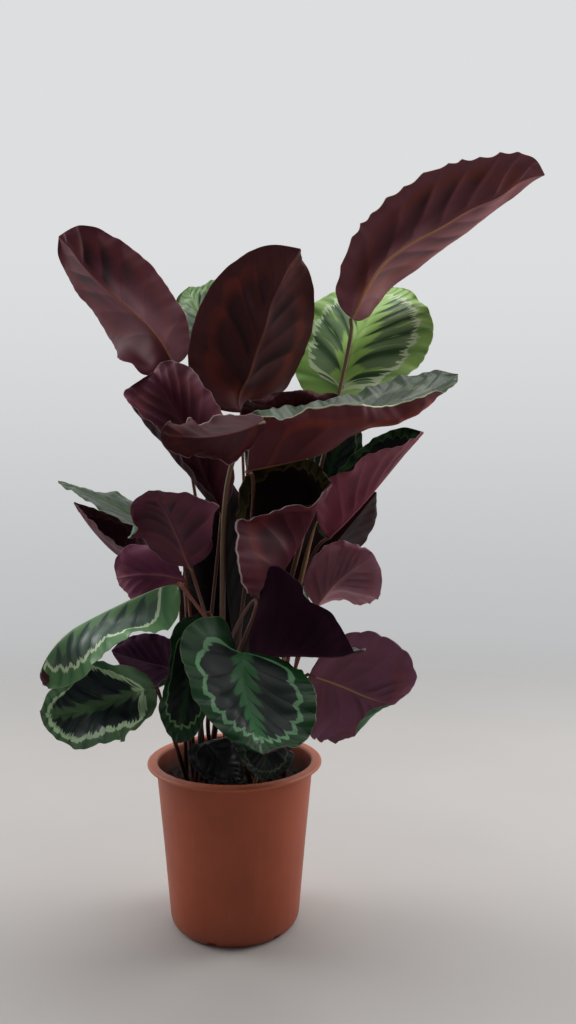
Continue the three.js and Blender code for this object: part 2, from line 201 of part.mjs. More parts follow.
  leaf_14: `
    -55.6 -181.7 492.6 -55.6 -181.7 492.6 -55.6 -181.7 492.6 -55.6 -181.7 492.6 -55.6 -181.7 492.6 -55.6 -181.7 492.6 -55.6 -181.7 492.6
    -52.7 -192.4 466.9 -56.9 -189.9 475.3 -60.8 -187.1 484.4 -63.2 -184.3 492.2 -64.5 -177.8 487 -65.5 -169 481.7 -65.6 -160.4 477.2
    -58.8 -206.5 448.5 -65.9 -200.5 461.9 -73 -194.5 476.3 -78.4 -189.3 488.4 -79.7 -178.3 480.1 -81.4 -163.9 471.8 -82.5 -149.7 464.8
    -70.7 -232.1 445.2 -82 -217.4 452.9 -92.3 -204.6 466.6 -100.3 -196.4 479.9 -101.3 -182.3 469.6 -104 -163.6 459.7 -106.7 -145.3 451.8
    -91.8 -252.8 449 -103.5 -234.2 449.1 -115.6 -216.1 457.1 -125.4 -204.6 469 -125.6 -189.3 457.3 -128.6 -168.6 446.9 -132.2 -148.3 438.5
    -114.2 -263.4 435.8 -126.8 -246.9 443.7 -139.1 -227.8 449.7 -150 -213.7 457.3 -149.1 -198.4 445.4 -151.6 -177.5 434.8 -155.4 -157.1 426.2
    -136.1 -262.2 418.5 -147.8 -248 426.5 -161.4 -234 435.4 -173.7 -224 443.7 -170.8 -210 432.7 -172.2 -190.9 422.6 -176.1 -172.3 415
    -149.4 -245.6 399.9 -163.2 -239.3 407.3 -178.2 -235.1 416.5 -190.8 -234.8 424.9 -186.5 -223.1 417.3 -186.7 -207.7 408.9 -190.4 -192.8 402.7
    -171.7 -237.9 386.2 -181.3 -236.4 393.1 -191.7 -238.8 400.2 -199.2 -244 405.6 -193.5 -236.9 402 -192.5 -226.7 396.2 -195.8 -216.9 392
    -192.6 -241.2 383.2 -194.9 -244.6 387.4 -195.8 -249.1 391.4 -195.8 -252.6 394.9 -193.9 -248.3 393.3 -193.1 -243.2 390.5 -193.4 -238.3 388.1
    -191.3 -255.3 391.9 -191.3 -255.3 391.9 -191.3 -255.3 391.9 -191.3 -255.3 391.9 -191.3 -255.3 391.9 -191.3 -255.3 391.9 -191.3 -255.3 391.9`,
  leaf_15: `
    -96.1 -88.5 346.2 -96.1 -88.5 346.2 -96.1 -88.5 346.2 -96.1 -88.5 346.2 -96.1 -88.5 346.2 -96.1 -88.5 346.2 -96.1 -88.5 346.2
    -97.6 -76.6 318.3 -97.3 -79.2 328.2 -100.8 -82.7 337.8 -103 -88.7 344 -104.6 -94.5 350.5 -106.8 -99.3 359.9 -112.8 -98.6 368.2
    -113 -85.7 300.9 -104.2 -89.4 313.9 -112.8 -83.1 327.9 -117.1 -87.3 341.1 -119.8 -97.6 351.3 -122.8 -109.1 364.5 -125.7 -114.2 380.4
    -129.4 -106.7 293.3 -116.2 -108.9 309.4 -130.1 -94.1 319.1 -138.1 -87.9 335 -141.7 -95.4 351.8 -146.3 -109.5 368.7 -150.6 -122.6 384.8
    -129.9 -134.3 290.7 -130.8 -129.4 313.8 -147.9 -112.2 318.5 -160.5 -98.9 328.2 -166.8 -95.8 347.6 -170.8 -102.1 371.4 -175.8 -115.2 390.3
    -132.6 -158.1 300.3 -148.1 -147.5 314.7 -165.4 -129.9 319.4 -179.5 -116.1 326.3 -189 -107 342.6 -195.5 -101.3 366.7 -197.3 -102.5 390.6
    -153.3 -173 298.6 -168.5 -159.5 306.4 -184.3 -146 316.2 -196.4 -135.6 326.7 -201.5 -129 343.8 -195.7 -126.5 365.8 -183 -123.2 382.9
    -177.9 -180.3 296.7 -189.8 -171.4 306.4 -200.4 -162.9 319.4 -207.7 -156.2 331.5 -206.2 -152.1 346.3 -193.8 -149.8 360 -180.4 -146.8 370.9
    -195.4 -189.1 312.5 -204.2 -183.7 318.5 -210 -178.5 328.5 -213.1 -174.5 337.8 -210.3 -171.8 347.6 -204.6 -169.3 358.6 -199 -166.3 368.6
    -210.2 -192.9 327.1 -212.6 -190.3 331.8 -214.2 -188 337.3 -215.1 -186.3 342.1 -214 -184.8 346.9 -213.1 -182.9 352.8 -212.8 -180.6 358.3
    -215.6 -191.4 343.8 -215.6 -191.4 343.8 -215.6 -191.4 343.8 -215.6 -191.4 343.8 -215.6 -191.4 343.8 -215.6 -191.4 343.8 -215.6 -191.4 343.8`,
  leaf_16: `
    -66.8 -60.7 350 -66.8 -60.7 350 -66.8 -60.7 350 -66.8 -60.7 350 -66.8 -60.7 350 -66.8 -60.7 350 -66.8 -60.7 350
    -60.9 -58.1 365.9 -63.6 -57.1 360.8 -66.3 -56.4 355.3 -68.2 -56.1 350.6 -72.6 -57.6 348.6 -78.5 -59.5 348.7 -84.1 -60 350.6
    -62.7 -51.7 378.7 -65.9 -49.8 369.9 -69.4 -48.3 360.6 -72.2 -47.4 352.7 -78 -49.2 347 -86.9 -52.7 343.7 -96.2 -54.8 344.3
    -71.5 -43.3 390.8 -74.5 -40.6 379.3 -77.7 -38.1 367 -80.5 -36.1 356.7 -85.4 -36.4 347.1 -94.3 -39.9 338.3 -104.9 -44 333.9
    -85.1 -35.4 399.6 -88.2 -33.3 386.7 -91.6 -30.8 373.2 -94.1 -28 362.1 -96.8 -24.6 351.2 -102.9 -24.9 338.3 -111.8 -28.2 328.7
    -100.4 -29.1 404.1 -103.9 -28.7 391 -107.6 -28.1 377.2 -110.6 -27.7 365.7 -111.9 -19.6 357.2 -114.9 -14.3 344.3 -120 -13.4 331.9
    -116.7 -23.6 404.6 -120.3 -25.1 392.8 -124 -26.1 380.2 -126.9 -26.5 369.7 -127.9 -18.5 362.3 -129.3 -10.3 352.3 -130.9 -4.2 341.7
    -132.9 -19.3 401.5 -136.1 -22 392.4 -139.3 -23.7 382.3 -141.8 -24.3 373.8 -142.8 -18.4 367.3 -143.9 -11.3 359.3 -145 -5.2 351.4
    -148.1 -18.1 396 -150.3 -19.9 389.8 -152.6 -21.5 383.1 -154.4 -22.2 377.4 -155.1 -18.6 372.7 -155.9 -14.2 367 -156.9 -10.4 361.4
    -159.1 -18.6 388.8 -160.2 -19.4 385.7 -161.4 -20.3 382.5 -162.4 -20.8 379.8 -162.7 -19.1 377.4 -163 -17.1 374.6 -163.4 -15.2 371.8
    -165.8 -20 380.8 -165.8 -20 380.8 -165.8 -20 380.8 -165.8 -20 380.8 -165.8 -20 380.8 -165.8 -20 380.8 -165.8 -20 380.8`,
  leaf_17: `
    2.9 -26.8 353 2.9 -26.8 353 2.9 -26.8 353 2.9 -26.8 353 2.9 -26.8 353 2.9 -26.8 353 2.9 -26.8 353
    14.3 2.7 360.1 10.7 -7.7 362.1 6.3 -18.4 363.4 2 -27 363.7 -7.1 -24.4 362.4 -17.5 -19.6 360.3 -26.6 -13.7 358
    24.1 20.5 381.3 16.1 4.5 383.3 7.4 -12.4 384.6 -0.5 -26 385.1 -15.7 -22.5 382.9 -33.3 -16.1 379.9 -49.2 -8.6 376.4
    32.8 31.8 415.3 19.7 12.9 416.1 6.5 -7.5 416.7 -4.9 -24.3 416.8 -24.5 -20.4 414.5 -47.3 -12.5 411.4 -68.9 -4.9 408
    35.4 37.1 454 20 16.8 453.9 4.1 -4.8 453.9 -9.5 -22.7 453.8 -31.4 -19.9 451.7 -55.2 -8.4 449.1 -75.5 6.1 446.1
    33.3 37.8 491.3 18 17.4 491.1 1.4 -4.1 491 -13 -21.4 490.8 -35 -18.9 489.3 -57.1 -4.1 486.8 -73.1 15.2 483.5
    28.3 33 528.1 14.3 14.3 528 -1.1 -5.2 528 -14.7 -20.7 528 -34.6 -16.5 527 -53.1 -0.7 524.6 -64.7 19 520.9
    20.7 23.1 562.2 8.8 8.2 562.2 -4 -7.4 562.5 -15.2 -19.9 562.8 -30.8 -14.1 561.9 -44.8 -0.1 559.7 -53.6 16.3 556.5
    7.7 11.4 591.2 0.2 0.9 591.4 -8 -10 591.8 -15.2 -18.8 592.3 -24.9 -13.1 591.4 -33.9 -3.1 589.7 -40.4 7.7 587.5
    -5.8 -1.7 609.7 -8.7 -7.2 610.1 -12.2 -13 610.6 -15.4 -17.5 611.1 -19.7 -14 610.4 -23.9 -9 609.2 -27.3 -3.8 607.8
    -15.7 -16.2 619.1 -15.7 -16.2 619.1 -15.7 -16.2 619.1 -15.7 -16.2 619.1 -15.7 -16.2 619.1 -15.7 -16.2 619.1 -15.7 -16.2 619.1`,
  leaf_18: `
    16 -195.5 412.9 16 -195.5 412.9 16 -195.5 412.9 16 -195.5 412.9 16 -195.5 412.9 16 -195.5 412.9 16 -195.5 412.9
    40.8 -173.7 404.8 34.4 -184.6 411.1 26 -195 414.6 17.9 -201.3 414.8 9.4 -200.2 420 4.9 -200 433.1 5.5 -202.2 447.6
    64.3 -179 402.8 51 -192.7 409.3 35.8 -205.3 414.9 21.6 -213 418.4 5.7 -214.1 422.8 -8.1 -214 438.8 -17.2 -214.2 458.6
    85.3 -201.1 395.9 65.3 -212.6 402 42.9 -223.2 406.7 23.4 -230.1 410.4 4.2 -234.5 418.8 -18.5 -237.8 432.9 -40.2 -240.8 449.1
    98.6 -226.3 388.1 74.2 -234.4 390.5 47.3 -240.7 391.7 24.4 -244.2 392.8 5.5 -252.4 403 -17.5 -260.1 416.6 -41.8 -266.2 425.2
    103.7 -246.6 375 78.5 -251.4 374.4 51.1 -255.4 374.7 28.5 -260 376.6 11.3 -269.7 388 -10.7 -279 400.6 -32.5 -286.9 409.4
    103.1 -262.7 357.1 79.3 -266.1 356.7 54.2 -271.5 359.1 34.2 -277.9 363 19.1 -287.1 374.2 -2.1 -295.9 384.4 -24.8 -301.4 389
    94.9 -278.8 340 75.6 -283.3 343.4 56 -289.5 348.2 40.6 -295.7 353 27.5 -302.9 361.1 9.4 -309.4 367.9 -9 -313.1 371.5
    80.2 -298.8 335.2 67.8 -301.9 337.8 55.3 -306.5 341.3 45.5 -311.1 344.9 35.8 -315.4 349 22.9 -319.1 352.4 10.1 -320.4 354
    64.4 -314 340.2 59.1 -316.4 337.6 52.7 -318.2 337.2 47.6 -320.4 338.4 42.8 -322.4 340.3 36.3 -323.6 341.7 30 -323.8 342.5
    48.7 -324.3 335.6 48.7 -324.3 335.6 48.7 -324.3 335.6 48.7 -324.3 335.6 48.7 -324.3 335.6 48.7 -324.3 335.6 48.7 -324.3 335.6`,
  leaf_19: `
    -35.8 -53.3 263.2 -35.8 -53.3 263.2 -35.8 -53.3 263.2 -35.8 -53.3 263.2 -35.8 -53.3 263.2 -35.8 -53.3 263.2 -35.8 -53.3 263.2
    -20.4 -49.3 264.2 -25.7 -50.6 265.6 -31.1 -52.9 266.2 -35.4 -55.1 265.8 -40 -56.6 265.2 -45.6 -58.3 264.3 -51.3 -60.9 265
    -9.1 -50.1 268.3 -17.8 -52.6 269.9 -26.2 -57.2 268.8 -32.9 -60.9 266.1 -39.8 -63.1 262.5 -48.6 -65 258.7 -56.7 -69.4 257.4
    -0.2 -55.2 276.3 -10.2 -60 272.7 -19.5 -63.9 265.8 -27.4 -65.5 259.7 -35.9 -66.6 254.1 -46.2 -70.8 249.5 -52.5 -80 250.7
    6.3 -65.8 276 -1.6 -64.1 266.2 -11.8 -65.9 257.8 -20.4 -67.4 251 -29.5 -70.3 245.2 -40 -77.7 241.5 -46.3 -88.2 243.9
    7.3 -76.5 271.3 4.7 -70.8 260.1 -4.5 -69.5 250.1 -13.1 -70.6 242.9 -22.1 -75.3 237.9 -32.2 -83.7 235.2 -40 -93.7 236.1
    7.3 -84.9 262.9 8 -78.7 253 1.6 -75.5 242.9 -5.7 -75.6 235.6 -13.8 -80.8 231.9 -23 -88.8 230 -30.8 -97.5 229.9
    12.8 -89.3 252.7 11.1 -84.8 244.4 6.5 -81.8 236 1.1 -81.1 229.6 -5.4 -85.8 227.1 -12.8 -92.5 226.3 -19.2 -99.6 227.2
    16.7 -90.3 240.5 13.8 -88.4 235 10.2 -86.9 229.3 6.8 -86.3 224.8 2.4 -89.6 223.7 -2.5 -94.3 223.8 -6.7 -98.9 225.7
    16.1 -90.6 229.3 14.1 -90.3 226.9 12 -90 224.2 10.3 -89.8 221.9 8.2 -91.5 221.7 5.8 -93.8 222 3.6 -96 222.8
    11.8 -91.4 220.8 11.8 -91.4 220.8 11.8 -91.4 220.8 11.8 -91.4 220.8 11.8 -91.4 220.8 11.8 -91.4 220.8 11.8 -91.4 220.8`,
  leaf_20: `
    39.1 -68 272.7 39.1 -68 272.7 39.1 -68 272.7 39.1 -68 272.7 39.1 -68 272.7 39.1 -68 272.7 39.1 -68 272.7
    54.2 -65.5 277.2 49.2 -67.5 276.2 44 -69.5 274.9 39.7 -70.9 273.7 35.3 -71.3 275.1 29.8 -71.4 276.8 24.6 -71.4 278.2
    65.5 -69.1 277.5 57.1 -71.9 277.9 48.3 -74.6 277.3 40.9 -76.8 276 33.5 -77.5 277.9 24.4 -78.2 279.8 15.8 -78.8 281.3
    73.9 -76.7 272.5 64 -80.2 276.5 52.6 -83.4 278.5 42.8 -85.5 279.1 33 -87 280.2 21.2 -88.5 281.1 9.9 -89.8 281.4
    77.2 -85.7 265.4 67.8 -90.3 272.3 55.6 -93.9 276.1 44.8 -96.3 278.1 33.7 -98.1 278.8 20.4 -99.8 278.8 7.8 -101.1 277.8
    80.3 -95.9 262.2 69.4 -100 267 56.8 -103.1 270.1 45.9 -105.2 271.7 34.8 -106.9 272.3 21.5 -108.9 272.6 8.8 -110.4 271.6
    78.8 -106 257 67.7 -108.2 259.4 55.7 -108.9 260.7 45.7 -108.5 261.2 35.9 -110.6 262 24.3 -113.6 262.9 13.7 -117.5 263.7
    72.2 -112.6 249.3 62.9 -111.7 250.2 53.1 -110.4 250.7 45 -108.6 250.9 37.2 -110.9 251.6 28.2 -114.6 252.5 21.3 -120.6 254.6
    61.8 -114.9 242.7 56.2 -112.3 242 49.8 -110.4 242.1 44.5 -108.9 242.2 39.3 -111 242.7 33.6 -114.3 243.5 30.2 -119.1 245.7
    52.8 -112.9 236.7 49.9 -111.6 236.7 46.8 -110.3 236.7 44.2 -109.5 236.7 41.7 -110.7 237 38.9 -112.6 237.4 36.3 -114.4 237.7
    44 -109.8 234.4 44 -109.8 234.4 44 -109.8 234.4 44 -109.8 234.4 44 -109.8 234.4 44 -109.8 234.4 44 -109.8 234.4`,
  leaf_21: `
    102.4 -30.8 350.1 102.4 -30.8 350.1 102.4 -30.8 350.1 102.4 -30.8 350.1 102.4 -30.8 350.1 102.4 -30.8 350.1 102.4 -30.8 350.1
    93.5 -23.1 319.8 99.6 -25.8 329.1 105.1 -28.8 339.4 108.4 -31.3 348.3 111.5 -31.9 357.4 115.8 -29.1 368.2 122.5 -22.8 375
    94.3 -28.8 296.5 105 -28.1 311.9 114.4 -29.6 329.3 120.5 -32 344.4 125.5 -34.1 359.6 131.8 -32.6 378.2 137.4 -26 394.6
    102.1 -44.6 278 116.7 -38.1 296.6 129.5 -35 318.9 138 -35 338.5 145.1 -36.6 358.4 153.7 -36.2 382.5 160.7 -32.7 405.7
    114 -65.1 272.9 131.7 -53.2 288.7 147.1 -45.2 310.9 157.4 -42.1 331.8 166.2 -41.8 354 176.5 -41.4 380.7 185.5 -39.7 406.1
    125.2 -83.2 278.5 145.7 -70.1 288.1 163.3 -59.1 306.9 175.3 -52.9 325.9 185.2 -50.5 348.1 196.7 -49.1 374.7 206.9 -47.4 399.8
    141.4 -98.2 281.9 159.2 -86.6 293.3 177 -75.7 308.4 190.5 -68.2 323.7 201.3 -63.7 342.2 213.7 -60.4 365.3 225.1 -57.5 387.4
    158.3 -109.7 293.3 171.3 -100.5 304.4 186.9 -92 315.1 200 -85.8 324.8 211 -80.8 337.4 223.9 -75.9 353.5 235.7 -71.6 369.1
    170.6 -114.3 314.5 182 -109.8 319.2 194.3 -105.3 323.7 204.6 -101.9 328 213.4 -98.2 335 224.2 -93.9 343.2 235.4 -89.8 350
    187.6 -115 329.2 194.2 -114.6 329.2 201 -113.4 329.7 206.5 -112.2 330.8 210.9 -110.3 333.8 216.3 -107.9 337.3 221.2 -105.4 340.8
    207.1 -116.6 332.4 207.1 -116.6 332.4 207.1 -116.6 332.4 207.1 -116.6 332.4 207.1 -116.6 332.4 207.1 -116.6 332.4 207.1 -116.6 332.4`,
  leaf_22: `
    26.3 -130 396.1 26.3 -130 396.1 26.3 -130 396.1 26.3 -130 396.1 26.3 -130 396.1 26.3 -130 396.1 26.3 -130 396.1
    49.5 -97.3 396.4 44 -110.2 395.9 37.6 -123.4 396.2 31.4 -133.6 396.8 29.9 -131.9 408.7 28.8 -128 422.9 29.2 -122.6 435.7
    74.3 -83.5 396 63.8 -103.3 395.8 52.1 -124 396.8 41.7 -140.7 398.3 38.4 -139.3 418 35.7 -135.1 441.7 37.7 -127.2 463
    102.6 -80.4 395.9 87.3 -104.6 396.3 70.8 -129.9 398.2 57.2 -150.9 400.7 51.6 -150.4 427 46 -148.1 458.8 45 -141.6 488.1
    127.3 -86.8 397.2 109.4 -112.8 397.7 90.2 -140.1 400.5 74.3 -162.7 404.5 68 -161.8 434.6 60.8 -159.2 472.4 53.6 -154.2 511.3
    145.9 -99.5 399.7 127.6 -125.3 399.8 107.9 -152.4 402.3 91.2 -174.6 406.8 86.8 -171 436.2 81.1 -166 471.6 73 -167.3 504
    159 -118.4 403.5 142.2 -142.1 403.1 124 -166.7 404.2 108.4 -186.4 408.8 105.6 -180.8 434.7 99.3 -178 466 88.2 -183.3 493
    165.7 -142.9 408.2 151.9 -162.1 407.6 137 -182.2 407.8 124.1 -198.1 411.1 120.6 -194.4 432.1 113.5 -193.4 456.7 99 -199.1 474.6
    165.3 -171 413.2 155.8 -183.9 413 145.5 -197.5 413.1 136.6 -208.8 414.2 132 -207.7 428.3 127.3 -206.9 445.1 123.6 -206.3 460.9
    158.8 -196.1 417.2 154.1 -202.4 417.4 148.9 -209.1 417.7 144.7 -214.6 418.3 142 -214.6 424.7 139.6 -214.2 432.8 137.9 -213.5 440.6
    148.3 -217.1 420 148.3 -217.1 420 148.3 -217.1 420 148.3 -217.1 420 148.3 -217.1 420 148.3 -217.1 420 148.3 -217.1 420`,
  leaf_23: `
    111.6 -17.3 439.6 111.6 -17.3 439.6 111.6 -17.3 439.6 111.6 -17.3 439.6 111.6 -17.3 439.6 111.6 -17.3 439.6 111.6 -17.3 439.6
    131.4 -4.8 446.1 125.1 -10.3 445.7 118.8 -16.2 444.5 113.7 -21.1 442.8 109.6 -18.4 448.1 104.1 -15.2 454.2 98.3 -12.8 459.7
    149.9 -6.4 448.1 138.4 -12.7 451.5 126.5 -20.7 451.8 117.8 -28.5 449.4 111.3 -24 458.2 103.6 -18.1 468.7 95.9 -12.7 478.5
    165.8 -18.9 444.5 152.5 -23.5 454.8 136.4 -30.9 460 123.8 -39.6 459.2 116 -33.7 470.9 108.4 -25 484.9 103.2 -15 497.9
    178.4 -34.5 446.5 163.2 -39.5 457 146 -45.7 466.1 131 -52.3 470.9 123.6 -45.3 484 117.5 -34.4 499.6 114 -22.2 513.8
    187.2 -50.1 453 170.8 -56.2 461 154.2 -61.4 471.7 140.7 -64.4 481.5 134.1 -56.5 495.1 128.9 -44.7 510.9 126.3 -31.9 524.9
    191 -68 459.2 176.8 -72.2 469 162.7 -74.9 481.2 151.6 -75.2 492.5 146.2 -67.5 504.8 142.3 -55.9 518.9 141.1 -43.1 531
    192.6 -83.2 471.6 182 -84.8 481.3 171.2 -85.1 492.4 162.8 -84.4 502.3 158.9 -77.5 512.2 156.8 -67 522.8 157.4 -54.6 530
    192.9 -92 489.4 185.5 -92.6 495.9 178.5 -92.2 503.6 173.1 -91.3 510.3 171 -85.9 516.6 170.5 -77.7 522.7 171.1 -68.2 524.3
    188.6 -96.9 505 185.3 -96.4 508.5 182.1 -95.8 512.4 179.6 -95.4 515.8 179 -92.2 518.4 179.1 -87.8 520.8 179.3 -83.2 522.2
    182.6 -96.8 518.1 182.6 -96.8 518.1 182.6 -96.8 518.1 182.6 -96.8 518.1 182.6 -96.8 518.1 182.6 -96.8 518.1 182.6 -96.8 518.1`,
  leaf_24: `
    125.3 -50.6 536 125.3 -50.6 536 125.3 -50.6 536 125.3 -50.6 536 125.3 -50.6 536 125.3 -50.6 536 125.3 -50.6 536
    115.1 -21 543.3 121.1 -30.3 542.8 126.9 -40.2 542 131.2 -48.8 541.1 125.9 -53.5 547.6 119.1 -59.4 554.9 112.3 -65.3 561.4
    115.5 -0.6 559 125.4 -15.3 556.4 135.3 -31.3 553.7 142.8 -45.1 551.3 134 -52.5 562.4 123.1 -61.7 575.1 113.7 -71.5 586.7
    122.7 15.4 582.8 135.5 -2.9 577.6 148.6 -22.6 572 159.2 -39.4 567.6 147.7 -48.5 581.9 134.9 -61.1 598.8 124.5 -75.3 614.2
    135.2 24.7 608.5 149.5 5.1 601.5 164.7 -15.4 593.6 177.7 -32.3 586.8 166.6 -44.7 601.8 156.1 -63.1 618.1 151.4 -86.8 624.4
    151.3 28.2 631.9 165.8 9 624.1 181.7 -10.5 615 195.5 -26 606.8 188.7 -44.2 618 180.1 -65.3 632.3 172.1 -86.2 644.6
    171.5 26.4 652.7 185 9.3 644.9 200 -7.7 635.7 213.1 -21.1 627.3 211.5 -40.8 633 205.9 -62.6 642.9 200.2 -82.8 652.4
    194.7 19.8 669 205.9 6.4 662.1 218.4 -6.9 653.8 229.3 -17.2 646.5 230 -33.7 649.4 228.4 -53 654.7 226.4 -71.1 659.2
    218.6 8.5 680 227.2 1.2 674.1 235.9 -7 667.8 243.1 -14 662.6 244.1 -25.1 664.4 244.4 -38.3 667.1 243.8 -50.8 670
    240.3 -1.2 681.5 244.6 -4.5 678.3 249.1 -8.3 675 252.7 -11.5 672.3 253 -16.9 673.3 253.3 -23.5 674.5 253.3 -29.7 675.7
    256.8 -10.4 676.5 256.8 -10.4 676.5 256.8 -10.4 676.5 256.8 -10.4 676.5 256.8 -10.4 676.5 256.8 -10.4 676.5 256.8 -10.4 676.5`,
  leaf_25: `
    122.2 45.9 594.2 122.2 45.9 594.2 122.2 45.9 594.2 122.2 45.9 594.2 122.2 45.9 594.2 122.2 45.9 594.2 122.2 45.9 594.2
    109.6 36.9 604.1 114.5 40.6 602.8 119.7 44.4 601 123.9 47.3 599.1 128.2 44.1 598.3 133 39.6 597 137.2 35.2 595.5
    103.6 32.9 618 111.7 38.7 615.3 120.1 44.7 612.1 127.3 49.3 609.1 134.6 44.3 607.4 142.6 37.3 605.4 149.6 30 603.5
    101.8 32.1 636.6 112.1 39.2 632.5 123 46.4 627.9 132.4 51.9 624 142 45.9 621.8 152.7 37.5 619.4 161.9 28.4 617.6
    103.7 35 655.8 115 42.5 650.8 127.5 49.7 645.6 138.4 54.7 641.4 148.9 48 639 161.3 39.4 636.3 172.9 31.2 633.7
    107 41.6 672.9 118.9 48.2 667.9 132.4 53.9 662.9 144.1 57.4 659 154.4 50.2 656.7 166.6 41.3 654 178.3 32.9 651.6
    112.6 51.1 688.2 124.7 55 684.1 137.9 58 680.1 149 59.3 676.8 158.2 52.2 674.8 168.5 42.9 672.5 177.3 33.2 670.4
    122.6 58.9 701.7 133 60 698.9 144.1 60.5 695.9 153.4 60.2 693.6 160.4 53.9 691.9 168 45.5 690.1 174.1 36.7 688.4
    136 62.4 712.8 143.1 61.9 711 150.6 61.2 709.2 156.9 60.4 707.8 161.2 55.8 706.6 166 49.8 705.4 170.2 43.9 704.2
    148.7 61.9 719 152.2 61.2 718.2 155.9 60.7 717.5 159 60.3 716.9 160.9 57.8 716.2 163.1 54.8 715.5 165.1 51.9 714.9
    159.7 59.9 720.8 159.7 59.9 720.8 159.7 59.9 720.8 159.7 59.9 720.8 159.7 59.9 720.8 159.7 59.9 720.8 159.7 59.9 720.8`,
  leaf_26: `
    89.3 -0.1 460 89.3 -0.1 460 89.3 -0.1 460 89.3 -0.1 460 89.3 -0.1 460 89.3 -0.1 460 89.3 -0.1 460
    100.2 22.2 453 98.4 14.8 457.4 96.1 7 461.9 93.5 0.8 465.6 87.2 2.8 469.4 79.4 5.8 473.5 71.8 8.6 477
    114.2 38 456.9 110.7 25.8 463.5 106.3 13.2 470.6 101.7 3.2 476.6 91.4 5.7 483.3 79.2 10.9 490.4 67.9 17.2 496.4
    132.7 50.5 468.7 126.9 35.3 476.8 120.2 19.3 485.6 113.9 6.5 493.1 100.9 8.9 502.2 86 16 512 72.9 25.7 519.9
    151.4 57.8 485.6 144.1 41.1 494.2 136 23.8 503.7 128.4 9.9 512.1 114.4 12.7 522.5 98.3 20.8 533.7 83.6 30.5 543.4
    167.2 60.6 504.7 160.5 43.2 512.5 151.9 26 521.9 143.8 12.4 530.4 130 16.5 541 113.9 25.1 552.4 99.3 34.9 562.5
    183.6 56.6 523.3 175.8 42.1 531.8 167.2 26.8 540.9 159.3 14.9 548.9 146.8 19.7 558.3 132.6 28.8 568.3 120 39.9 576.2
    194.4 50.3 544.9 187.6 38.7 551.9 180.3 26.6 559.5 173.7 17.1 566.2 163.7 22.1 573.5 152.6 30.8 580.9 143.2 41.7 585.5
    199.1 42 566.9 194.9 33.8 571.4 190.2 25.5 576.5 185.7 19.1 581 179.2 23.3 585.5 171.9 29.8 590.2 165.4 36.8 593.8
    198.7 32.3 583.8 197.3 27.9 585.9 195.3 23.6 588.3 193.4 20.3 590.6 190.2 22.8 592.5 186.6 26.1 594.6 183.3 29.4 596.5
    196.6 21.2 594.7 196.6 21.2 594.7 196.6 21.2 594.7 196.6 21.2 594.7 196.6 21.2 594.7 196.6 21.2 594.7 196.6 21.2 594.7`,
  leaf_27: `
    39.3 -62.3 454.9 39.3 -62.3 454.9 39.3 -62.3 454.9 39.3 -62.3 454.9 39.3 -62.3 454.9 39.3 -62.3 454.9 39.3 -62.3 454.9
    15.4 -34.7 483.8 24.8 -44.7 476.3 35.1 -55.1 468.4 43.8 -63.5 461.6 41.6 -77 460.6 35.3 -92.3 461.7 26.4 -103.1 468.6
    5.6 -21 513.1 20.3 -37.5 500.2 37.6 -53.2 486.6 52.5 -65.8 475.2 48.8 -88.1 473.6 38.5 -113.5 475.1 22.5 -133.8 478.5
    4 -15.9 546.2 21.1 -37.9 528.9 44.9 -55.8 510.7 66.4 -68.1 495 58 -96.2 495.8 37.2 -124 501.3 12.7 -145.7 507.1
    7.8 -21.3 576.8 26.7 -45.2 557.2 55.5 -61 536.7 81.4 -70.1 519.2 63.3 -96.2 524 34 -120.2 530.5 10.9 -147 537.6
    10.5 -36.4 602.1 36.8 -54 582.8 68.3 -65 561.8 94.8 -73.7 544.3 66.9 -89.8 551.5 37.5 -114.5 558.4 12.5 -140.1 564.9
    25 -54.1 623.4 53.4 -62.4 605.1 82.9 -70.6 585.5 106.5 -80.4 569.4 83.7 -100.2 571.4 59.9 -126.4 572.8 39.4 -152.5 567.8
    53.1 -66.6 636 74.7 -73.9 621.1 96.3 -84.1 604.3 113.8 -94.5 590.7 106.3 -113.6 577 87.3 -135.4 576.9 68.4 -154.7 581.1
    85.2 -80.8 640.9 95.9 -90.3 629.3 105.1 -102 616.7 113 -111.2 605.9 121.5 -119.1 594.2 113 -135.5 588.7 102.8 -149.9 584
    111.6 -95.5 631.6 116.1 -100.6 625.6 120.5 -106.6 619.4 124.2 -111.6 614.3 127.8 -116.4 609.1 124.2 -124.7 606.3 119.5 -131.9 603.4
    127.2 -106.8 611.9 127.2 -106.8 611.9 127.2 -106.8 611.9 127.2 -106.8 611.9 127.2 -106.8 611.9 127.2 -106.8 611.9 127.2 -106.8 611.9`,
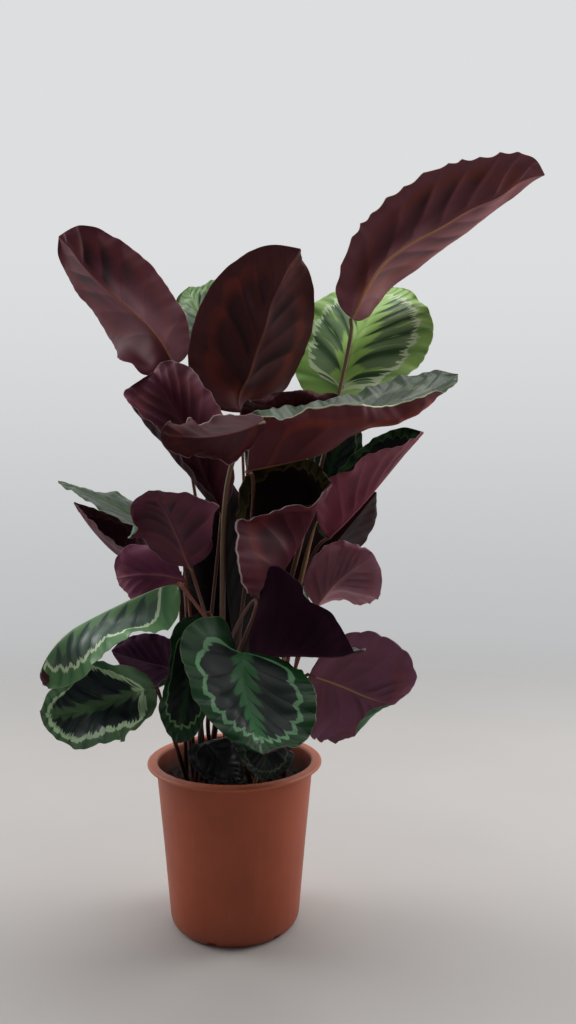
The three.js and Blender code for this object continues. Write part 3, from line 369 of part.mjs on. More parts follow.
  leaf_28: `
    -33.6 -53.7 438.9 -33.6 -53.7 438.9 -33.6 -53.7 438.9 -33.6 -53.7 438.9 -33.6 -53.7 438.9 -33.6 -53.7 438.9 -33.6 -53.7 438.9
    -34.1 -71.7 436.7 -34.6 -65.8 434.7 -35 -59.5 433.1 -35.4 -54.2 432.2 -40.4 -54.9 434 -45.4 -58.5 436 -48 -64.1 435.1
    -36.3 -84.9 424.9 -37.3 -75.2 422.5 -38.3 -64.9 420.4 -39.7 -56.2 419.1 -48 -56.8 421.9 -57.6 -59.6 425.8 -65.5 -64.3 430.1
    -38.3 -95.8 404 -40.1 -83.2 402.2 -42.4 -70 400.4 -44.9 -59 399.2 -55.5 -60.8 402.5 -67.4 -65.7 407 -77.5 -72.5 411.5
    -35.4 -101.3 379.2 -39.5 -87.9 378 -44.5 -73.8 376.6 -49.8 -62.6 375.7 -61.3 -65.8 379.2 -72.3 -74.4 384.3 -76.6 -86.6 389.7
    -31.3 -101.8 354.9 -37.2 -89 353.8 -45.6 -76.6 352.7 -54.6 -67.9 352.3 -65.6 -72.5 356.2 -75.2 -82.6 361.7 -77.8 -95.6 366.5
    -29.5 -98.7 330.6 -37.6 -88.6 329.5 -48.5 -80.2 329 -59.1 -76 329.6 -69.2 -80 333.4 -79.5 -87.5 338.4 -85 -98.3 343
    -33.7 -95.3 307.5 -42.7 -89.8 307.2 -53.5 -86.7 308.1 -62.7 -86.4 309.8 -71.4 -88.8 312.8 -81.7 -92.2 316.3 -91.1 -96.3 319.9
    -43.8 -96 288.3 -51 -95.2 289.8 -58.5 -95.1 291.6 -64.7 -95.7 293.4 -70.6 -97 295.4 -77.6 -99 297.9 -84 -101.2 300.3
    -56.8 -100.9 279.9 -60.1 -101.1 281.1 -63.7 -101.5 282.2 -66.7 -101.8 283.1 -69.4 -102.5 284.3 -72.4 -103.9 286 -74.8 -105.6 288
    -67.6 -104.8 279 -67.6 -104.8 279 -67.6 -104.8 279 -67.6 -104.8 279 -67.6 -104.8 279 -67.6 -104.8 279 -67.6 -104.8 279`,
};

const STALKS = {
  leaf_01: [[6.1, 21.5, 200.3], [-6.2, 21.9, 272.8], [-60.6, 27.4, 624.1], [-84.9, 29.6, 769]],
  leaf_02: [[20, 62, 200.3], [20.1, 37, 410.4], [7.7, 55.1, 672.2], [8.8, 24.3, 702.7]],
  leaf_03: [[-0.5, -56.7, 200.3], [19.4, -66.3, 273.9], [181.4, 48.5, 828.9], [161.5, 42.3, 835.9]],
  leaf_04: [[61.2, 12.3, 200.3], [66.1, 16.7, 236.7], [135.3, 78.7, 655.8], [145.7, 88.7, 722.6]],
  leaf_05: [[45.4, 42.7, 200.3], [42, 54.8, 289.1], [21.3, 107.9, 658.3], [18.2, 118.6, 739.3]],
  leaf_06: [[-13, -17.1, 200.3], [6.4, -76.2, 415.8], [46.4, -105.7, 648], [24.1, -131.7, 620.5]],
  leaf_07: [[-40.2, 34.1, 200.3], [16.5, -116.5, 456.4], [-36.9, -125.2, 630.9], [38.1, -162.5, 678.1]],
  leaf_08: [[30.7, 30.7, 200.3], [64, 0.2, 524], [68, -4.8, 570.5], [76.2, -12.1, 648.1]],
  leaf_09: [[-50.4, -45.7, 200.3], [-32.5, -35.7, 402.3], [-26, -42, 451.9], [-15, -29.2, 565.7]],
  leaf_10: [[31, -19.2, 200.3], [17.5, -40.2, 260], [-21.1, -95.2, 407.7], [-45.2, -132.5, 505.7]],
  leaf_11: [[-37.1, -25.8, 200.3], [-40, -27.1, 229.3], [-59, -29, 476.7], [-68.8, -31, 524]],
  leaf_12: [[-67.8, 3.8, 200.3], [-69.4, -8.3, 323.2], [-73.1, -17, 422.4], [-72, -19.6, 487.1]],
  leaf_13: [[-57.1, 0.7, 200.3], [-56.7, -14.6, 271.5], [-60.6, -57.7, 467.2], [-61.2, -61.7, 481.6]],
  leaf_14: [[67.8, 5.1, 200.3], [74.2, -37.2, 282.5], [-49.7, -132.2, 477.4], [-53.7, -181.1, 493]],
  leaf_15: [[-63.1, -19.9, 200.3], [-79.4, -55.8, 276], [-84.5, -66.2, 301], [-94.2, -88.6, 346.6]],
  leaf_16: [[-52.5, -29.9, 200.3], [-58.9, -43.8, 264.1], [-61.5, -51.2, 301.8], [-66, -62.5, 349.7]],
  leaf_17: [[-25.7, 45.7, 200.3], [-18.7, 28.6, 235.4], [-3, -11, 318.9], [3.1, -26.8, 351]],
  leaf_18: [[-12.9, 36.6, 200.3], [-96.8, -87.4, 297.7], [99.2, -181.8, 599.7], [15.4, -193.6, 412.4]],
  leaf_19: [[2.8, -45.7, 200.3], [-10.9, -47.7, 222.3], [-21.4, -49.4, 238.7], [-36.5, -51.5, 262.5]],
  leaf_20: [[2.3, -25.3, 200.3], [14.6, -38.9, 224.2], [25.3, -51.4, 246.1], [38.8, -66.1, 272]],
  leaf_21: [[-45.4, -12.4, 200.3], [-42.2, -11.3, 249.3], [63.6, -28.7, 325.2], [100.5, -30.6, 350.7]],
  leaf_22: [[19.8, -9.3, 200.3], [29.7, -11.6, 254.3], [1.8, -73.6, 342], [24.7, -128.8, 395.9]],
  leaf_23: [[33.4, 20.7, 200.3], [52.6, 11.2, 262.6], [88.3, -1, 361.9], [110.9, -15.9, 438.3]],
  leaf_24: [[14.7, 12.6, 200.3], [50.4, 2.8, 331.6], [92.9, -51.2, 523.4], [123.9, -51, 534.7]],
  leaf_25: [[42.4, 25.4, 200.3], [58.6, 21.8, 271.5], [93, 74.3, 492], [121.6, 45.5, 592.4]],
  leaf_26: [[48.1, -5.1, 200.3], [71.2, -2.4, 342.1], [87.4, -0.6, 455], [88.1, -0.4, 458.5]],
  leaf_27: [[-9.8, 17.4, 200.3], [0.3, -0.1, 256.3], [15.9, -24.8, 333.5], [38.3, -62.1, 453.2]],
  leaf_28: [[21.8, -20, 200.3], [3.5, -27.7, 271.5], [-6.1, -35.5, 370.7], [-30.5, -52.7, 438.4]],
};

const FURLED = {
  furled_leaf_tan: { path: [[27.6, -40.5, 200.3], [65.8, -66.6, 352.2], [95.5, -86.3, 529.5], [109.3, -122, 562]], radius: [[0, 2.6], [0.5, 3.0], [0.68, 3.6], [0.84, 3.3], [0.95, 2.0], [1, 0.7]] },
  furled_leaf_purple: { path: [[2.1, 52.3, 200.3], [19.7, 4.5, 265], [-21.4, 78.4, 398.2], [5.4, 20, 574.6]], radius: [[0, 3.2], [0.38, 3.6], [0.58, 6.4], [0.78, 7.2], [0.92, 4.4], [1, 0.8]] },
};

// ---- materials ----
const mat = (color, roughness, metalness = 0) =>
  new THREE.MeshStandardMaterial({ color, roughness, metalness });
const POT_MAT = mat(0x9a4a2e, 0.55);
const SOIL_MAT = mat(0x1d1613, 0.95);
const GREEN_MAT = mat(0x3f7a45, 0.4);
const PURPLE_MAT = mat(0x5a2a34, 0.5);
const STALK_MAT = mat(0x5b4030, 0.5);
const TAN_MAT = mat(0x9a7350, 0.5);

const wasm = await Module();
wasm.setup();

// Weights of the knots at parameter x on a cubic Hermite spline through them.
function weights(knots, x) {
  const n = knots.length,
    w = new Array(n).fill(0);
  let i = 0;
  while (i < n - 2 && x >= knots[i + 1]) i++;
  const h = knots[i + 1] - knots[i],
    s = (x - knots[i]) / h,
    s2 = s * s,
    s3 = s2 * s;
  w[i] += 2 * s3 - 3 * s2 + 1;
  w[i + 1] += -2 * s3 + 3 * s2;
  const slope = (k, f) => {
    if (k === 0) {
      const d = knots[1] - knots[0];
      w[0] -= f / d;
      w[1] += f / d;
    } else if (k === n - 1) {
      const d = knots[n - 1] - knots[n - 2];
      w[n - 2] -= f / d;
      w[n - 1] += f / d;
    } else {
      const a = knots[k] - knots[k - 1],
        b = knots[k + 1] - knots[k],
        fa = (f * b) / (a + b),
        fb = (f * a) / (a + b);
      w[k - 1] -= fa / a;
      w[k] += fa / a - fb / b;
      w[k + 1] += fb / b;
    }
  };
  slope(i, h * (s3 - 2 * s2 + s));
  slope(i + 1, h * (s3 - s2));
  return w;
}

function geometryOf(points, triangles) {
  const g = new THREE.BufferGeometry();
  g.setAttribute(
    "position",
    new THREE.BufferAttribute(new Float32Array(points.flatMap((p) => [p.x, p.y, p.z])), 3),
  );
  g.setIndex(triangles.flat());
  return g;
}

function meshOf(name, geometry, material) {
  const m = new THREE.Mesh(geometry, material);
  m.name = name;
  geometry.computeVertexNormals();
  return m;
}

// ---- a leaf blade: a thin closed sheet, both faces offset from the net ----
function blade(text) {
  const q = text.trim().split(/\s+/).map(Number);
  const columns = BLADE_COLUMNS.map((v) => weights(V, v));
  const rows = U.map((_, i) =>
    columns.map((w) => {
      const p = new THREE.Vector3();
      w.forEach((f, j) => {
        const k = (i * V.length + j) * 3;
        p.x += f * q[k];
        p.y += f * q[k + 1];
        p.z += f * q[k + 2];
      });
      return p;
    }),
  );
  const n = rows.length,
    m = columns.length;
  const net = [rows[0][(m - 1) / 2]];
  for (let i = 1; i < n - 1; i++) net.push(...rows[i]);
  net.push(rows[n - 1][(m - 1) / 2]);
  const last = net.length - 1,
    at = (i, j) => (i === 0 ? 0 : i === n - 1 ? last : 1 + (i - 1) * m + j);
  const faces = [];
  for (let i = 0; i < n - 1; i++)
    for (let j = 0; j < m - 1; j++) {
      const a = at(i, j),
        b = at(i, j + 1),
        c = at(i + 1, j + 1),
        d = at(i + 1, j);
      if (i === 0) faces.push([a, c, d]);
      else if (i === n - 2) faces.push([a, b, c]);
      else faces.push([a, b, c], [a, c, d]);
    }
  const normals = net.map(() => new THREE.Vector3()),
    ab = new THREE.Vector3(),
    ac = new THREE.Vector3();
  for (const [a, b, c] of faces) {
    ab.subVectors(net[b], net[a]);
    ac.subVectors(net[c], net[a]);
    const f = ab.cross(ac).normalize();
    normals[a].add(f);
    normals[b].add(f);
    normals[c].add(f);
  }
  normals.forEach((v) => v.normalize());
  const top = net.map((p, k) => p.clone().addScaledVector(normals[k], BLADE_THICKNESS / 2));
  const under = net.map((p, k) => p.clone().addScaledVector(normals[k], -BLADE_THICKNESS / 2));
  const o = net.length,
    tris = [...faces, ...faces.map(([a, b, c]) => [a + o, c + o, b + o])];
  const rim = [];
  for (let i = 0; i < n; i++) rim.push(at(i, m - 1));
  for (let i = n - 2; i > 0; i--) rim.push(at(i, 0));
  rim.forEach((a, k) => {
    const b = rim[(k + 1) % rim.length];
    tris.push([a, a + o, b + o], [a, b + o, b]);
  });
  return geometryOf([...top, ...under], tris);
}

// ---- a round stem along a cubic curve, with a radius at each fraction of its length ----
function stem(path, radiusAt, rings, sides) {
  const curve = new THREE.CubicBezierCurve3(...path.map((p) => new THREE.Vector3(...p)));
  const pts = [],
    tris = [];
  let side = new THREE.Vector3(1, 0, 0);
  for (let i = 0; i < rings; i++) {
    const t = i / (rings - 1),
      c = curve.getPointAt(t),
      d = i === 0 ? new THREE.Vector3(0, 0, 1) : curve.getTangentAt(t);
    side.addScaledVector(d, -side.dot(d)).normalize();
    const up = new THREE.Vector3().crossVectors(d, side),
      r = radiusAt(t);
    for (let k = 0; k < sides; k++) {
      const a = (2 * Math.PI * k) / sides;
      pts.push(
        c.clone().addScaledVector(side, r * Math.cos(a)).addScaledVector(up, r * Math.sin(a)),
      );
    }
  }
  for (let i = 0; i < rings - 1; i++)
    for (let k = 0; k < sides; k++) {
      const a = i * sides + k,
        b = i * sides + ((k + 1) % sides);
      tris.push([a, b, b + sides], [a, b + sides, a + sides]);
    }
  const e = (rings - 1) * sides;
  for (let k = 1; k < sides - 1; k++) {
    tris.push([0, k + 1, k]);
    tris.push([e, e + k, e + k + 1]);
  }
  return geometryOf(pts, tris);
}

const lerpProfile = (profile) => (t) => {
  let i = 0;
  while (i < profile.length - 2 && t > profile[i + 1][0]) i++;
  const [t0, r0] = profile[i],
    [t1, r1] = profile[i + 1];
  return r0 + ((r1 - r0) * (t - t0)) / (t1 - t0);
};

// ---- a solid of revolution from a closed profile of [radius, height], listed anticlockwise ----
function turned(profile, segments, shape = (x, y, z) => z) {
  const pts = [],
    tris = [],
    first = [];
  profile.forEach(([r, z]) => {
    first.push(pts.length);
    if (r === 0) pts.push(new THREE.Vector3(0, 0, shape(0, 0, z)));
    else
      for (let k = 0; k < segments; k++) {
        const a = (2 * Math.PI * k) / segments,
          x = r * Math.cos(a),
          y = r * Math.sin(a);
        pts.push(new THREE.Vector3(x, y, shape(x, y, z)));
      }
  });
  for (let i = 0; i < profile.length - 1; i++)
    for (let k = 0; k < segments; k++) {
      const l = (k + 1) % segments,
        A = profile[i][0] === 0 ? first[i] : first[i] + k,
        B = profile[i][0] === 0 ? first[i] : first[i] + l,
        C = profile[i + 1][0] === 0 ? first[i + 1] : first[i + 1] + l,
        D = profile[i + 1][0] === 0 ? first[i + 1] : first[i + 1] + k;
      if (A !== B) tris.push([A, B, C]);
      if (C !== D) tris.push([A, C, D]);
    }
  return geometryOf(pts, tris);
}

function solidOf(geometry) {
  const g = mergeVertices(geometry, 1e-4);
  return new wasm.Manifold(
    new wasm.Mesh({
      numProp: 3,
      vertProperties: g.attributes.position.array,
      triVerts: new Uint32Array(g.index.array),
    }),
  );
}
function geometryFrom(solid) {
  const m = solid.getMesh(),
    v = new Float32Array(m.numVert * 3);
  for (let i = 0; i < m.numVert; i++)
    v.set(m.vertProperties.subarray(i * m.numProp, i * m.numProp + 3), i * 3);
  return new THREE.BufferGeometry()
    .setAttribute("position", new THREE.BufferAttribute(v, 3))
    .setIndex(new THREE.BufferAttribute(new Uint32Array(m.triVerts), 1));
}

const plant = new THREE.Group();
plant.name = "medallion_calathea_in_pot";

// ---- pot: turned, with drain holes through the corner ----
const potProfile = [
  [0, 0],
  [POT_FOOT_R, 0],
  [POT_FOOT_R + 6, 1.4],
  [POT_BASE_R - 4, 5],
  [POT_BASE_R - 1.2, 10],
  [POT_BASE_R, 18],
  [(POT_BASE_R + POT_TOP_R) / 2 - 0.8, POT_HEIGHT / 2],
  [POT_TOP_R, POT_HEIGHT - LIP_DROP - 4],
  [POT_TOP_R + 2, POT_HEIGHT - LIP_DROP],
  [LIP_R - 2, POT_HEIGHT - LIP_DROP],
  [LIP_R, POT_HEIGHT - LIP_DROP + 1.6],
  [LIP_R, POT_HEIGHT - 2.4],
  [LIP_R - 2.2, POT_HEIGHT - 0.4],
  [LIP_R - 5, POT_HEIGHT],
  [POT_TOP_R - POT_WALL + 2.5, POT_HEIGHT],
  [POT_TOP_R - POT_WALL, POT_HEIGHT - 2.5],
  [POT_TOP_R - POT_WALL, POT_HEIGHT - LIP_DROP - 6],
  [(POT_BASE_R + POT_TOP_R) / 2 - 0.8 - POT_WALL, POT_HEIGHT / 2],
  [POT_BASE_R - POT_WALL, 18],
  [POT_BASE_R - POT_WALL - 2.4, 9],
  [POT_FOOT_R + 3, POT_FLOOR + 0.6],
  [POT_FOOT_R - 2, POT_FLOOR],
  [0, POT_FLOOR],
];
let pot = solidOf(turned(potProfile, POT_SEGMENTS));
for (let i = 0; i < DRAIN_COUNT; i++) {
  const a = DRAIN_PHASE + (2 * Math.PI * i) / DRAIN_COUNT;
  pot = pot.subtract(
    wasm.Manifold.cylinder(DRAIN_TOP + 2, DRAIN_R, DRAIN_R, 12).translate([
      DRAIN_RING_R * Math.cos(a),
      DRAIN_RING_R * Math.sin(a),
      -2,
    ]),
  );
}
plant.add(meshOf("pot", geometryFrom(pot), POT_MAT));

// ---- soil: fills the pot to a slightly uneven surface ----
const inner = (z) => {
  const mid = (POT_BASE_R + POT_TOP_R) / 2 - 0.8,
    half = POT_HEIGHT / 2,
    top = POT_HEIGHT - LIP_DROP - 6;
  const r =
    z < half
      ? POT_BASE_R + ((mid - POT_BASE_R) * (z - 18)) / (half - 18)
      : mid + ((POT_TOP_R - mid) * (z - half)) / (top - half);
  return r - POT_WALL - SOIL_GAP - 0.5;
};
const relief = (x, y, z) =>
  z < SOIL_TOP
    ? z
    : z -
      SOIL_RELIEF *
        (0.5 + 0.25 * Math.sin(x * 0.11 + 1.3) * Math.cos(y * 0.09) + 0.25 * Math.sin(x * 0.05 - y * 0.13));
const soilProfile = [
  [0, DRAIN_TOP + SOIL_GAP],
  [POT_BASE_R - 8, DRAIN_TOP + SOIL_GAP + 2.2],
  [inner(18) - 0.6, 20],
  [inner(POT_HEIGHT / 2), POT_HEIGHT / 2],
  [inner(SOIL_TOP - 4), SOIL_TOP - 5],
  [inner(SOIL_TOP - 4) - 2, SOIL_TOP],
  [72, SOIL_TOP],
  [40, SOIL_TOP],
  [0, SOIL_TOP],
];
plant.add(meshOf("soil", turned(soilProfile, 32, relief), SOIL_MAT));

// ---- leaves ----
const stalkRadius = lerpProfile(STALK_RADIUS);
for (const [name, text] of Object.entries(BLADES)) {
  const purple = UNDERSIDE_FORWARD.has(name),
    scale = STALK_SCALE[name] ?? 1,
    radiusAt = (f) => scale * stalkRadius(f);
  plant.add(meshOf(name + "_blade", blade(text), purple ? PURPLE_MAT : GREEN_MAT));
  plant.add(
    meshOf(name + "_stalk", stem(STALKS[name], radiusAt, STALK_RINGS, STALK_SIDES), STALK_MAT),
  );
}
for (const [name, f] of Object.entries(FURLED))
  plant.add(
    meshOf(
      name,
      stem(f.path, lerpProfile(f.radius), 14, 8),
      name === "furled_leaf_tan" ? TAN_MAT : PURPLE_MAT,
    ),
  );

export default plant;
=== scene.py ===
"""Looks of the medallion calathea in its nursery pot. Row frame: metres, +Z up, origin under the pot, front towards -Y."""
import math

import bpy
import numpy as np
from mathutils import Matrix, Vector


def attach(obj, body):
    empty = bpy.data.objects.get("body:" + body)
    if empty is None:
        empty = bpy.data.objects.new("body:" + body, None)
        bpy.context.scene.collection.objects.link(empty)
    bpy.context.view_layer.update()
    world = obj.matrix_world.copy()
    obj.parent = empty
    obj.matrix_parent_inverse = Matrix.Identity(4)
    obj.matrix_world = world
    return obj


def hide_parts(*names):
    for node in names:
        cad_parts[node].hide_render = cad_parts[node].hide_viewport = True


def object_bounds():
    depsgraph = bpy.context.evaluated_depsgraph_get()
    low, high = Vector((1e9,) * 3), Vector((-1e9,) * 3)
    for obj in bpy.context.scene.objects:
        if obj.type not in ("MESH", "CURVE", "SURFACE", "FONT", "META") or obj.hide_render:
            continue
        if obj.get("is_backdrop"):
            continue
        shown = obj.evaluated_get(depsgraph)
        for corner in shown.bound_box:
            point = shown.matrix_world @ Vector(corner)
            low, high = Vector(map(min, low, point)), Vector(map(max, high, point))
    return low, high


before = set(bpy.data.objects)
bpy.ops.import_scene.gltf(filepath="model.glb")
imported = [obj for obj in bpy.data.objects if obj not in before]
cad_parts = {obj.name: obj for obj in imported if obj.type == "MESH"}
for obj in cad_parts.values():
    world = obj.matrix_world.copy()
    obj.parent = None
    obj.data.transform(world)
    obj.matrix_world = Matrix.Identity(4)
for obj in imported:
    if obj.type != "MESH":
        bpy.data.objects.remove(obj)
CAD_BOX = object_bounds()
MM = 0.001
rng = np.random.default_rng(11)

# The knots of every leaf net and the nets themselves, as in the CAD part: 11 rows from base to tip, each 7 points
# from one margin over the midrib to the other, in millimetres.
U = np.array([0, 0.04, 0.12, 0.24, 0.38, 0.52, 0.66, 0.79, 0.9, 0.97, 1.0])
V = np.array([-1, -0.66, -0.3, 0, 0.3, 0.66, 1.0])

